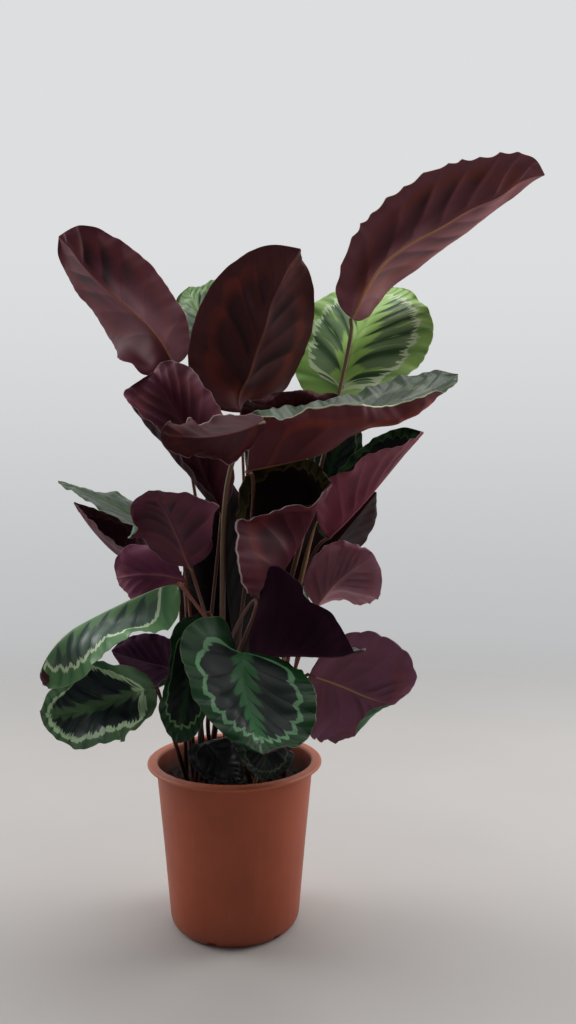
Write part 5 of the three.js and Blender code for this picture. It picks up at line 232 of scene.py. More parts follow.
    "leaf_15": """
      -96.1 -88.5 346.2 -96.1 -88.5 346.2 -96.1 -88.5 346.2 -96.1 -88.5 346.2 -96.1 -88.5 346.2 -96.1 -88.5 346.2 -96.1 -88.5 346.2
      -97.6 -76.6 318.3 -97.3 -79.2 328.2 -100.8 -82.7 337.8 -103 -88.7 344 -104.6 -94.5 350.5 -106.8 -99.3 359.9 -112.8 -98.6 368.2
      -113 -85.7 300.9 -104.2 -89.4 313.9 -112.8 -83.1 327.9 -117.1 -87.3 341.1 -119.8 -97.6 351.3 -122.8 -109.1 364.5 -125.7 -114.2 380.4
      -129.4 -106.7 293.3 -116.2 -108.9 309.4 -130.1 -94.1 319.1 -138.1 -87.9 335 -141.7 -95.4 351.8 -146.3 -109.5 368.7 -150.6 -122.6 384.8
      -129.9 -134.3 290.7 -130.8 -129.4 313.8 -147.9 -112.2 318.5 -160.5 -98.9 328.2 -166.8 -95.8 347.6 -170.8 -102.1 371.4 -175.8 -115.2 390.3
      -132.6 -158.1 300.3 -148.1 -147.5 314.7 -165.4 -129.9 319.4 -179.5 -116.1 326.3 -189 -107 342.6 -195.5 -101.3 366.7 -197.3 -102.5 390.6
      -153.3 -173 298.6 -168.5 -159.5 306.4 -184.3 -146 316.2 -196.4 -135.6 326.7 -201.5 -129 343.8 -195.7 -126.5 365.8 -183 -123.2 382.9
      -177.9 -180.3 296.7 -189.8 -171.4 306.4 -200.4 -162.9 319.4 -207.7 -156.2 331.5 -206.2 -152.1 346.3 -193.8 -149.8 360 -180.4 -146.8 370.9
      -195.4 -189.1 312.5 -204.2 -183.7 318.5 -210 -178.5 328.5 -213.1 -174.5 337.8 -210.3 -171.8 347.6 -204.6 -169.3 358.6 -199 -166.3 368.6
      -210.2 -192.9 327.1 -212.6 -190.3 331.8 -214.2 -188 337.3 -215.1 -186.3 342.1 -214 -184.8 346.9 -213.1 -182.9 352.8 -212.8 -180.6 358.3
      -215.6 -191.4 343.8 -215.6 -191.4 343.8 -215.6 -191.4 343.8 -215.6 -191.4 343.8 -215.6 -191.4 343.8 -215.6 -191.4 343.8 -215.6 -191.4 343.8""",
    "leaf_16": """
      -66.8 -60.7 350 -66.8 -60.7 350 -66.8 -60.7 350 -66.8 -60.7 350 -66.8 -60.7 350 -66.8 -60.7 350 -66.8 -60.7 350
      -60.9 -58.1 365.9 -63.6 -57.1 360.8 -66.3 -56.4 355.3 -68.2 -56.1 350.6 -72.6 -57.6 348.6 -78.5 -59.5 348.7 -84.1 -60 350.6
      -62.7 -51.7 378.7 -65.9 -49.8 369.9 -69.4 -48.3 360.6 -72.2 -47.4 352.7 -78 -49.2 347 -86.9 -52.7 343.7 -96.2 -54.8 344.3
      -71.5 -43.3 390.8 -74.5 -40.6 379.3 -77.7 -38.1 367 -80.5 -36.1 356.7 -85.4 -36.4 347.1 -94.3 -39.9 338.3 -104.9 -44 333.9
      -85.1 -35.4 399.6 -88.2 -33.3 386.7 -91.6 -30.8 373.2 -94.1 -28 362.1 -96.8 -24.6 351.2 -102.9 -24.9 338.3 -111.8 -28.2 328.7
      -100.4 -29.1 404.1 -103.9 -28.7 391 -107.6 -28.1 377.2 -110.6 -27.7 365.7 -111.9 -19.6 357.2 -114.9 -14.3 344.3 -120 -13.4 331.9
      -116.7 -23.6 404.6 -120.3 -25.1 392.8 -124 -26.1 380.2 -126.9 -26.5 369.7 -127.9 -18.5 362.3 -129.3 -10.3 352.3 -130.9 -4.2 341.7
      -132.9 -19.3 401.5 -136.1 -22 392.4 -139.3 -23.7 382.3 -141.8 -24.3 373.8 -142.8 -18.4 367.3 -143.9 -11.3 359.3 -145 -5.2 351.4
      -148.1 -18.1 396 -150.3 -19.9 389.8 -152.6 -21.5 383.1 -154.4 -22.2 377.4 -155.1 -18.6 372.7 -155.9 -14.2 367 -156.9 -10.4 361.4
      -159.1 -18.6 388.8 -160.2 -19.4 385.7 -161.4 -20.3 382.5 -162.4 -20.8 379.8 -162.7 -19.1 377.4 -163 -17.1 374.6 -163.4 -15.2 371.8
      -165.8 -20 380.8 -165.8 -20 380.8 -165.8 -20 380.8 -165.8 -20 380.8 -165.8 -20 380.8 -165.8 -20 380.8 -165.8 -20 380.8""",
    "leaf_17": """
      2.9 -26.8 353 2.9 -26.8 353 2.9 -26.8 353 2.9 -26.8 353 2.9 -26.8 353 2.9 -26.8 353 2.9 -26.8 353
      14.3 2.7 360.1 10.7 -7.7 362.1 6.3 -18.4 363.4 2 -27 363.7 -7.1 -24.4 362.4 -17.5 -19.6 360.3 -26.6 -13.7 358
      24.1 20.5 381.3 16.1 4.5 383.3 7.4 -12.4 384.6 -0.5 -26 385.1 -15.7 -22.5 382.9 -33.3 -16.1 379.9 -49.2 -8.6 376.4
      32.8 31.8 415.3 19.7 12.9 416.1 6.5 -7.5 416.7 -4.9 -24.3 416.8 -24.5 -20.4 414.5 -47.3 -12.5 411.4 -68.9 -4.9 408
      35.4 37.1 454 20 16.8 453.9 4.1 -4.8 453.9 -9.5 -22.7 453.8 -31.4 -19.9 451.7 -55.2 -8.4 449.1 -75.5 6.1 446.1
      33.3 37.8 491.3 18 17.4 491.1 1.4 -4.1 491 -13 -21.4 490.8 -35 -18.9 489.3 -57.1 -4.1 486.8 -73.1 15.2 483.5
      28.3 33 528.1 14.3 14.3 528 -1.1 -5.2 528 -14.7 -20.7 528 -34.6 -16.5 527 -53.1 -0.7 524.6 -64.7 19 520.9
      20.7 23.1 562.2 8.8 8.2 562.2 -4 -7.4 562.5 -15.2 -19.9 562.8 -30.8 -14.1 561.9 -44.8 -0.1 559.7 -53.6 16.3 556.5
      7.7 11.4 591.2 0.2 0.9 591.4 -8 -10 591.8 -15.2 -18.8 592.3 -24.9 -13.1 591.4 -33.9 -3.1 589.7 -40.4 7.7 587.5
      -5.8 -1.7 609.7 -8.7 -7.2 610.1 -12.2 -13 610.6 -15.4 -17.5 611.1 -19.7 -14 610.4 -23.9 -9 609.2 -27.3 -3.8 607.8
      -15.7 -16.2 619.1 -15.7 -16.2 619.1 -15.7 -16.2 619.1 -15.7 -16.2 619.1 -15.7 -16.2 619.1 -15.7 -16.2 619.1 -15.7 -16.2 619.1""",
    "leaf_18": """
      16 -195.5 412.9 16 -195.5 412.9 16 -195.5 412.9 16 -195.5 412.9 16 -195.5 412.9 16 -195.5 412.9 16 -195.5 412.9
      40.8 -173.7 404.8 34.4 -184.6 411.1 26 -195 414.6 17.9 -201.3 414.8 9.4 -200.2 420 4.9 -200 433.1 5.5 -202.2 447.6
      64.3 -179 402.8 51 -192.7 409.3 35.8 -205.3 414.9 21.6 -213 418.4 5.7 -214.1 422.8 -8.1 -214 438.8 -17.2 -214.2 458.6
      85.3 -201.1 395.9 65.3 -212.6 402 42.9 -223.2 406.7 23.4 -230.1 410.4 4.2 -234.5 418.8 -18.5 -237.8 432.9 -40.2 -240.8 449.1
      98.6 -226.3 388.1 74.2 -234.4 390.5 47.3 -240.7 391.7 24.4 -244.2 392.8 5.5 -252.4 403 -17.5 -260.1 416.6 -41.8 -266.2 425.2
      103.7 -246.6 375 78.5 -251.4 374.4 51.1 -255.4 374.7 28.5 -260 376.6 11.3 -269.7 388 -10.7 -279 400.6 -32.5 -286.9 409.4
      103.1 -262.7 357.1 79.3 -266.1 356.7 54.2 -271.5 359.1 34.2 -277.9 363 19.1 -287.1 374.2 -2.1 -295.9 384.4 -24.8 -301.4 389
      94.9 -278.8 340 75.6 -283.3 343.4 56 -289.5 348.2 40.6 -295.7 353 27.5 -302.9 361.1 9.4 -309.4 367.9 -9 -313.1 371.5
      80.2 -298.8 335.2 67.8 -301.9 337.8 55.3 -306.5 341.3 45.5 -311.1 344.9 35.8 -315.4 349 22.9 -319.1 352.4 10.1 -320.4 354
      64.4 -314 340.2 59.1 -316.4 337.6 52.7 -318.2 337.2 47.6 -320.4 338.4 42.8 -322.4 340.3 36.3 -323.6 341.7 30 -323.8 342.5
      48.7 -324.3 335.6 48.7 -324.3 335.6 48.7 -324.3 335.6 48.7 -324.3 335.6 48.7 -324.3 335.6 48.7 -324.3 335.6 48.7 -324.3 335.6""",
    "leaf_19": """
      -35.8 -53.3 263.2 -35.8 -53.3 263.2 -35.8 -53.3 263.2 -35.8 -53.3 263.2 -35.8 -53.3 263.2 -35.8 -53.3 263.2 -35.8 -53.3 263.2
      -20.4 -49.3 264.2 -25.7 -50.6 265.6 -31.1 -52.9 266.2 -35.4 -55.1 265.8 -40 -56.6 265.2 -45.6 -58.3 264.3 -51.3 -60.9 265
      -9.1 -50.1 268.3 -17.8 -52.6 269.9 -26.2 -57.2 268.8 -32.9 -60.9 266.1 -39.8 -63.1 262.5 -48.6 -65 258.7 -56.7 -69.4 257.4
      -0.2 -55.2 276.3 -10.2 -60 272.7 -19.5 -63.9 265.8 -27.4 -65.5 259.7 -35.9 -66.6 254.1 -46.2 -70.8 249.5 -52.5 -80 250.7
      6.3 -65.8 276 -1.6 -64.1 266.2 -11.8 -65.9 257.8 -20.4 -67.4 251 -29.5 -70.3 245.2 -40 -77.7 241.5 -46.3 -88.2 243.9
      7.3 -76.5 271.3 4.7 -70.8 260.1 -4.5 -69.5 250.1 -13.1 -70.6 242.9 -22.1 -75.3 237.9 -32.2 -83.7 235.2 -40 -93.7 236.1
      7.3 -84.9 262.9 8 -78.7 253 1.6 -75.5 242.9 -5.7 -75.6 235.6 -13.8 -80.8 231.9 -23 -88.8 230 -30.8 -97.5 229.9
      12.8 -89.3 252.7 11.1 -84.8 244.4 6.5 -81.8 236 1.1 -81.1 229.6 -5.4 -85.8 227.1 -12.8 -92.5 226.3 -19.2 -99.6 227.2
      16.7 -90.3 240.5 13.8 -88.4 235 10.2 -86.9 229.3 6.8 -86.3 224.8 2.4 -89.6 223.7 -2.5 -94.3 223.8 -6.7 -98.9 225.7
      16.1 -90.6 229.3 14.1 -90.3 226.9 12 -90 224.2 10.3 -89.8 221.9 8.2 -91.5 221.7 5.8 -93.8 222 3.6 -96 222.8
      11.8 -91.4 220.8 11.8 -91.4 220.8 11.8 -91.4 220.8 11.8 -91.4 220.8 11.8 -91.4 220.8 11.8 -91.4 220.8 11.8 -91.4 220.8""",
    "leaf_20": """
      39.1 -68 272.7 39.1 -68 272.7 39.1 -68 272.7 39.1 -68 272.7 39.1 -68 272.7 39.1 -68 272.7 39.1 -68 272.7
      54.2 -65.5 277.2 49.2 -67.5 276.2 44 -69.5 274.9 39.7 -70.9 273.7 35.3 -71.3 275.1 29.8 -71.4 276.8 24.6 -71.4 278.2
      65.5 -69.1 277.5 57.1 -71.9 277.9 48.3 -74.6 277.3 40.9 -76.8 276 33.5 -77.5 277.9 24.4 -78.2 279.8 15.8 -78.8 281.3
      73.9 -76.7 272.5 64 -80.2 276.5 52.6 -83.4 278.5 42.8 -85.5 279.1 33 -87 280.2 21.2 -88.5 281.1 9.9 -89.8 281.4
      77.2 -85.7 265.4 67.8 -90.3 272.3 55.6 -93.9 276.1 44.8 -96.3 278.1 33.7 -98.1 278.8 20.4 -99.8 278.8 7.8 -101.1 277.8
      80.3 -95.9 262.2 69.4 -100 267 56.8 -103.1 270.1 45.9 -105.2 271.7 34.8 -106.9 272.3 21.5 -108.9 272.6 8.8 -110.4 271.6
      78.8 -106 257 67.7 -108.2 259.4 55.7 -108.9 260.7 45.7 -108.5 261.2 35.9 -110.6 262 24.3 -113.6 262.9 13.7 -117.5 263.7
      72.2 -112.6 249.3 62.9 -111.7 250.2 53.1 -110.4 250.7 45 -108.6 250.9 37.2 -110.9 251.6 28.2 -114.6 252.5 21.3 -120.6 254.6
      61.8 -114.9 242.7 56.2 -112.3 242 49.8 -110.4 242.1 44.5 -108.9 242.2 39.3 -111 242.7 33.6 -114.3 243.5 30.2 -119.1 245.7
      52.8 -112.9 236.7 49.9 -111.6 236.7 46.8 -110.3 236.7 44.2 -109.5 236.7 41.7 -110.7 237 38.9 -112.6 237.4 36.3 -114.4 237.7
      44 -109.8 234.4 44 -109.8 234.4 44 -109.8 234.4 44 -109.8 234.4 44 -109.8 234.4 44 -109.8 234.4 44 -109.8 234.4""",
    "leaf_21": """
      102.4 -30.8 350.1 102.4 -30.8 350.1 102.4 -30.8 350.1 102.4 -30.8 350.1 102.4 -30.8 350.1 102.4 -30.8 350.1 102.4 -30.8 350.1
      93.5 -23.1 319.8 99.6 -25.8 329.1 105.1 -28.8 339.4 108.4 -31.3 348.3 111.5 -31.9 357.4 115.8 -29.1 368.2 122.5 -22.8 375
      94.3 -28.8 296.5 105 -28.1 311.9 114.4 -29.6 329.3 120.5 -32 344.4 125.5 -34.1 359.6 131.8 -32.6 378.2 137.4 -26 394.6
      102.1 -44.6 278 116.7 -38.1 296.6 129.5 -35 318.9 138 -35 338.5 145.1 -36.6 358.4 153.7 -36.2 382.5 160.7 -32.7 405.7
      114 -65.1 272.9 131.7 -53.2 288.7 147.1 -45.2 310.9 157.4 -42.1 331.8 166.2 -41.8 354 176.5 -41.4 380.7 185.5 -39.7 406.1
      125.2 -83.2 278.5 145.7 -70.1 288.1 163.3 -59.1 306.9 175.3 -52.9 325.9 185.2 -50.5 348.1 196.7 -49.1 374.7 206.9 -47.4 399.8
      141.4 -98.2 281.9 159.2 -86.6 293.3 177 -75.7 308.4 190.5 -68.2 323.7 201.3 -63.7 342.2 213.7 -60.4 365.3 225.1 -57.5 387.4
      158.3 -109.7 293.3 171.3 -100.5 304.4 186.9 -92 315.1 200 -85.8 324.8 211 -80.8 337.4 223.9 -75.9 353.5 235.7 -71.6 369.1
      170.6 -114.3 314.5 182 -109.8 319.2 194.3 -105.3 323.7 204.6 -101.9 328 213.4 -98.2 335 224.2 -93.9 343.2 235.4 -89.8 350
      187.6 -115 329.2 194.2 -114.6 329.2 201 -113.4 329.7 206.5 -112.2 330.8 210.9 -110.3 333.8 216.3 -107.9 337.3 221.2 -105.4 340.8
      207.1 -116.6 332.4 207.1 -116.6 332.4 207.1 -116.6 332.4 207.1 -116.6 332.4 207.1 -116.6 332.4 207.1 -116.6 332.4 207.1 -116.6 332.4""",
    "leaf_22": """
      26.3 -130 396.1 26.3 -130 396.1 26.3 -130 396.1 26.3 -130 396.1 26.3 -130 396.1 26.3 -130 396.1 26.3 -130 396.1
      49.5 -97.3 396.4 44 -110.2 395.9 37.6 -123.4 396.2 31.4 -133.6 396.8 29.9 -131.9 408.7 28.8 -128 422.9 29.2 -122.6 435.7
      74.3 -83.5 396 63.8 -103.3 395.8 52.1 -124 396.8 41.7 -140.7 398.3 38.4 -139.3 418 35.7 -135.1 441.7 37.7 -127.2 463
      102.6 -80.4 395.9 87.3 -104.6 396.3 70.8 -129.9 398.2 57.2 -150.9 400.7 51.6 -150.4 427 46 -148.1 458.8 45 -141.6 488.1
      127.3 -86.8 397.2 109.4 -112.8 397.7 90.2 -140.1 400.5 74.3 -162.7 404.5 68 -161.8 434.6 60.8 -159.2 472.4 53.6 -154.2 511.3
      145.9 -99.5 399.7 127.6 -125.3 399.8 107.9 -152.4 402.3 91.2 -174.6 406.8 86.8 -171 436.2 81.1 -166 471.6 73 -167.3 504
      159 -118.4 403.5 142.2 -142.1 403.1 124 -166.7 404.2 108.4 -186.4 408.8 105.6 -180.8 434.7 99.3 -178 466 88.2 -183.3 493
      165.7 -142.9 408.2 151.9 -162.1 407.6 137 -182.2 407.8 124.1 -198.1 411.1 120.6 -194.4 432.1 113.5 -193.4 456.7 99 -199.1 474.6
      165.3 -171 413.2 155.8 -183.9 413 145.5 -197.5 413.1 136.6 -208.8 414.2 132 -207.7 428.3 127.3 -206.9 445.1 123.6 -206.3 460.9
      158.8 -196.1 417.2 154.1 -202.4 417.4 148.9 -209.1 417.7 144.7 -214.6 418.3 142 -214.6 424.7 139.6 -214.2 432.8 137.9 -213.5 440.6
      148.3 -217.1 420 148.3 -217.1 420 148.3 -217.1 420 148.3 -217.1 420 148.3 -217.1 420 148.3 -217.1 420 148.3 -217.1 420""",
    "leaf_23": """
      111.6 -17.3 439.6 111.6 -17.3 439.6 111.6 -17.3 439.6 111.6 -17.3 439.6 111.6 -17.3 439.6 111.6 -17.3 439.6 111.6 -17.3 439.6
      131.4 -4.8 446.1 125.1 -10.3 445.7 118.8 -16.2 444.5 113.7 -21.1 442.8 109.6 -18.4 448.1 104.1 -15.2 454.2 98.3 -12.8 459.7
      149.9 -6.4 448.1 138.4 -12.7 451.5 126.5 -20.7 451.8 117.8 -28.5 449.4 111.3 -24 458.2 103.6 -18.1 468.7 95.9 -12.7 478.5
      165.8 -18.9 444.5 152.5 -23.5 454.8 136.4 -30.9 460 123.8 -39.6 459.2 116 -33.7 470.9 108.4 -25 484.9 103.2 -15 497.9
      178.4 -34.5 446.5 163.2 -39.5 457 146 -45.7 466.1 131 -52.3 470.9 123.6 -45.3 484 117.5 -34.4 499.6 114 -22.2 513.8
      187.2 -50.1 453 170.8 -56.2 461 154.2 -61.4 471.7 140.7 -64.4 481.5 134.1 -56.5 495.1 128.9 -44.7 510.9 126.3 -31.9 524.9
      191 -68 459.2 176.8 -72.2 469 162.7 -74.9 481.2 151.6 -75.2 492.5 146.2 -67.5 504.8 142.3 -55.9 518.9 141.1 -43.1 531
      192.6 -83.2 471.6 182 -84.8 481.3 171.2 -85.1 492.4 162.8 -84.4 502.3 158.9 -77.5 512.2 156.8 -67 522.8 157.4 -54.6 530
      192.9 -92 489.4 185.5 -92.6 495.9 178.5 -92.2 503.6 173.1 -91.3 510.3 171 -85.9 516.6 170.5 -77.7 522.7 171.1 -68.2 524.3
      188.6 -96.9 505 185.3 -96.4 508.5 182.1 -95.8 512.4 179.6 -95.4 515.8 179 -92.2 518.4 179.1 -87.8 520.8 179.3 -83.2 522.2
      182.6 -96.8 518.1 182.6 -96.8 518.1 182.6 -96.8 518.1 182.6 -96.8 518.1 182.6 -96.8 518.1 182.6 -96.8 518.1 182.6 -96.8 518.1""",
    "leaf_24": """
      125.3 -50.6 536 125.3 -50.6 536 125.3 -50.6 536 125.3 -50.6 536 125.3 -50.6 536 125.3 -50.6 536 125.3 -50.6 536
      115.1 -21 543.3 121.1 -30.3 542.8 126.9 -40.2 542 131.2 -48.8 541.1 125.9 -53.5 547.6 119.1 -59.4 554.9 112.3 -65.3 561.4
      115.5 -0.6 559 125.4 -15.3 556.4 135.3 -31.3 553.7 142.8 -45.1 551.3 134 -52.5 562.4 123.1 -61.7 575.1 113.7 -71.5 586.7
      122.7 15.4 582.8 135.5 -2.9 577.6 148.6 -22.6 572 159.2 -39.4 567.6 147.7 -48.5 581.9 134.9 -61.1 598.8 124.5 -75.3 614.2
      135.2 24.7 608.5 149.5 5.1 601.5 164.7 -15.4 593.6 177.7 -32.3 586.8 166.6 -44.7 601.8 156.1 -63.1 618.1 151.4 -86.8 624.4
      151.3 28.2 631.9 165.8 9 624.1 181.7 -10.5 615 195.5 -26 606.8 188.7 -44.2 618 180.1 -65.3 632.3 172.1 -86.2 644.6
      171.5 26.4 652.7 185 9.3 644.9 200 -7.7 635.7 213.1 -21.1 627.3 211.5 -40.8 633 205.9 -62.6 642.9 200.2 -82.8 652.4
      194.7 19.8 669 205.9 6.4 662.1 218.4 -6.9 653.8 229.3 -17.2 646.5 230 -33.7 649.4 228.4 -53 654.7 226.4 -71.1 659.2
      218.6 8.5 680 227.2 1.2 674.1 235.9 -7 667.8 243.1 -14 662.6 244.1 -25.1 664.4 244.4 -38.3 667.1 243.8 -50.8 670
      240.3 -1.2 681.5 244.6 -4.5 678.3 249.1 -8.3 675 252.7 -11.5 672.3 253 -16.9 673.3 253.3 -23.5 674.5 253.3 -29.7 675.7
      256.8 -10.4 676.5 256.8 -10.4 676.5 256.8 -10.4 676.5 256.8 -10.4 676.5 256.8 -10.4 676.5 256.8 -10.4 676.5 256.8 -10.4 676.5""",
    "leaf_25": """
      122.2 45.9 594.2 122.2 45.9 594.2 122.2 45.9 594.2 122.2 45.9 594.2 122.2 45.9 594.2 122.2 45.9 594.2 122.2 45.9 594.2
      109.6 36.9 604.1 114.5 40.6 602.8 119.7 44.4 601 123.9 47.3 599.1 128.2 44.1 598.3 133 39.6 597 137.2 35.2 595.5
      103.6 32.9 618 111.7 38.7 615.3 120.1 44.7 612.1 127.3 49.3 609.1 134.6 44.3 607.4 142.6 37.3 605.4 149.6 30 603.5
      101.8 32.1 636.6 112.1 39.2 632.5 123 46.4 627.9 132.4 51.9 624 142 45.9 621.8 152.7 37.5 619.4 161.9 28.4 617.6
      103.7 35 655.8 115 42.5 650.8 127.5 49.7 645.6 138.4 54.7 641.4 148.9 48 639 161.3 39.4 636.3 172.9 31.2 633.7
      107 41.6 672.9 118.9 48.2 667.9 132.4 53.9 662.9 144.1 57.4 659 154.4 50.2 656.7 166.6 41.3 654 178.3 32.9 651.6
      112.6 51.1 688.2 124.7 55 684.1 137.9 58 680.1 149 59.3 676.8 158.2 52.2 674.8 168.5 42.9 672.5 177.3 33.2 670.4
      122.6 58.9 701.7 133 60 698.9 144.1 60.5 695.9 153.4 60.2 693.6 160.4 53.9 691.9 168 45.5 690.1 174.1 36.7 688.4
      136 62.4 712.8 143.1 61.9 711 150.6 61.2 709.2 156.9 60.4 707.8 161.2 55.8 706.6 166 49.8 705.4 170.2 43.9 704.2
      148.7 61.9 719 152.2 61.2 718.2 155.9 60.7 717.5 159 60.3 716.9 160.9 57.8 716.2 163.1 54.8 715.5 165.1 51.9 714.9
      159.7 59.9 720.8 159.7 59.9 720.8 159.7 59.9 720.8 159.7 59.9 720.8 159.7 59.9 720.8 159.7 59.9 720.8 159.7 59.9 720.8""",
    "leaf_26": """
      89.3 -0.1 460 89.3 -0.1 460 89.3 -0.1 460 89.3 -0.1 460 89.3 -0.1 460 89.3 -0.1 460 89.3 -0.1 460
      100.2 22.2 453 98.4 14.8 457.4 96.1 7 461.9 93.5 0.8 465.6 87.2 2.8 469.4 79.4 5.8 473.5 71.8 8.6 477
      114.2 38 456.9 110.7 25.8 463.5 106.3 13.2 470.6 101.7 3.2 476.6 91.4 5.7 483.3 79.2 10.9 490.4 67.9 17.2 496.4
      132.7 50.5 468.7 126.9 35.3 476.8 120.2 19.3 485.6 113.9 6.5 493.1 100.9 8.9 502.2 86 16 512 72.9 25.7 519.9
      151.4 57.8 485.6 144.1 41.1 494.2 136 23.8 503.7 128.4 9.9 512.1 114.4 12.7 522.5 98.3 20.8 533.7 83.6 30.5 543.4
      167.2 60.6 504.7 160.5 43.2 512.5 151.9 26 521.9 143.8 12.4 530.4 130 16.5 541 113.9 25.1 552.4 99.3 34.9 562.5
      183.6 56.6 523.3 175.8 42.1 531.8 167.2 26.8 540.9 159.3 14.9 548.9 146.8 19.7 558.3 132.6 28.8 568.3 120 39.9 576.2
      194.4 50.3 544.9 187.6 38.7 551.9 180.3 26.6 559.5 173.7 17.1 566.2 163.7 22.1 573.5 152.6 30.8 580.9 143.2 41.7 585.5
      199.1 42 566.9 194.9 33.8 571.4 190.2 25.5 576.5 185.7 19.1 581 179.2 23.3 585.5 171.9 29.8 590.2 165.4 36.8 593.8
      198.7 32.3 583.8 197.3 27.9 585.9 195.3 23.6 588.3 193.4 20.3 590.6 190.2 22.8 592.5 186.6 26.1 594.6 183.3 29.4 596.5
      196.6 21.2 594.7 196.6 21.2 594.7 196.6 21.2 594.7 196.6 21.2 594.7 196.6 21.2 594.7 196.6 21.2 594.7 196.6 21.2 594.7""",
    "leaf_27": """
      39.3 -62.3 454.9 39.3 -62.3 454.9 39.3 -62.3 454.9 39.3 -62.3 454.9 39.3 -62.3 454.9 39.3 -62.3 454.9 39.3 -62.3 454.9
      15.4 -34.7 483.8 24.8 -44.7 476.3 35.1 -55.1 468.4 43.8 -63.5 461.6 41.6 -77 460.6 35.3 -92.3 461.7 26.4 -103.1 468.6
      5.6 -21 513.1 20.3 -37.5 500.2 37.6 -53.2 486.6 52.5 -65.8 475.2 48.8 -88.1 473.6 38.5 -113.5 475.1 22.5 -133.8 478.5
      4 -15.9 546.2 21.1 -37.9 528.9 44.9 -55.8 510.7 66.4 -68.1 495 58 -96.2 495.8 37.2 -124 501.3 12.7 -145.7 507.1
      7.8 -21.3 576.8 26.7 -45.2 557.2 55.5 -61 536.7 81.4 -70.1 519.2 63.3 -96.2 524 34 -120.2 530.5 10.9 -147 537.6
      10.5 -36.4 602.1 36.8 -54 582.8 68.3 -65 561.8 94.8 -73.7 544.3 66.9 -89.8 551.5 37.5 -114.5 558.4 12.5 -140.1 564.9
      25 -54.1 623.4 53.4 -62.4 605.1 82.9 -70.6 585.5 106.5 -80.4 569.4 83.7 -100.2 571.4 59.9 -126.4 572.8 39.4 -152.5 567.8
      53.1 -66.6 636 74.7 -73.9 621.1 96.3 -84.1 604.3 113.8 -94.5 590.7 106.3 -113.6 577 87.3 -135.4 576.9 68.4 -154.7 581.1
      85.2 -80.8 640.9 95.9 -90.3 629.3 105.1 -102 616.7 113 -111.2 605.9 121.5 -119.1 594.2 113 -135.5 588.7 102.8 -149.9 584
      111.6 -95.5 631.6 116.1 -100.6 625.6 120.5 -106.6 619.4 124.2 -111.6 614.3 127.8 -116.4 609.1 124.2 -124.7 606.3 119.5 -131.9 603.4
      127.2 -106.8 611.9 127.2 -106.8 611.9 127.2 -106.8 611.9 127.2 -106.8 611.9 127.2 -106.8 611.9 127.2 -106.8 611.9 127.2 -106.8 611.9""",
    "leaf_28": """
      -33.6 -53.7 438.9 -33.6 -53.7 438.9 -33.6 -53.7 438.9 -33.6 -53.7 438.9 -33.6 -53.7 438.9 -33.6 -53.7 438.9 -33.6 -53.7 438.9
      -34.1 -71.7 436.7 -34.6 -65.8 434.7 -35 -59.5 433.1 -35.4 -54.2 432.2 -40.4 -54.9 434 -45.4 -58.5 436 -48 -64.1 435.1
      -36.3 -84.9 424.9 -37.3 -75.2 422.5 -38.3 -64.9 420.4 -39.7 -56.2 419.1 -48 -56.8 421.9 -57.6 -59.6 425.8 -65.5 -64.3 430.1
      -38.3 -95.8 404 -40.1 -83.2 402.2 -42.4 -70 400.4 -44.9 -59 399.2 -55.5 -60.8 402.5 -67.4 -65.7 407 -77.5 -72.5 411.5
      -35.4 -101.3 379.2 -39.5 -87.9 378 -44.5 -73.8 376.6 -49.8 -62.6 375.7 -61.3 -65.8 379.2 -72.3 -74.4 384.3 -76.6 -86.6 389.7
      -31.3 -101.8 354.9 -37.2 -89 353.8 -45.6 -76.6 352.7 -54.6 -67.9 352.3 -65.6 -72.5 356.2 -75.2 -82.6 361.7 -77.8 -95.6 366.5
      -29.5 -98.7 330.6 -37.6 -88.6 329.5 -48.5 -80.2 329 -59.1 -76 329.6 -69.2 -80 333.4 -79.5 -87.5 338.4 -85 -98.3 343
      -33.7 -95.3 307.5 -42.7 -89.8 307.2 -53.5 -86.7 308.1 -62.7 -86.4 309.8 -71.4 -88.8 312.8 -81.7 -92.2 316.3 -91.1 -96.3 319.9
      -43.8 -96 288.3 -51 -95.2 289.8 -58.5 -95.1 291.6 -64.7 -95.7 293.4 -70.6 -97 295.4 -77.6 -99 297.9 -84 -101.2 300.3
      -56.8 -100.9 279.9 -60.1 -101.1 281.1 -63.7 -101.5 282.2 -66.7 -101.8 283.1 -69.4 -102.5 284.3 -72.4 -103.9 286 -74.8 -105.6 288
      -67.6 -104.8 279 -67.6 -104.8 279 -67.6 -104.8 279 -67.6 -104.8 279 -67.6 -104.8 279 -67.6 -104.8 279 -67.6 -104.8 279""",
}

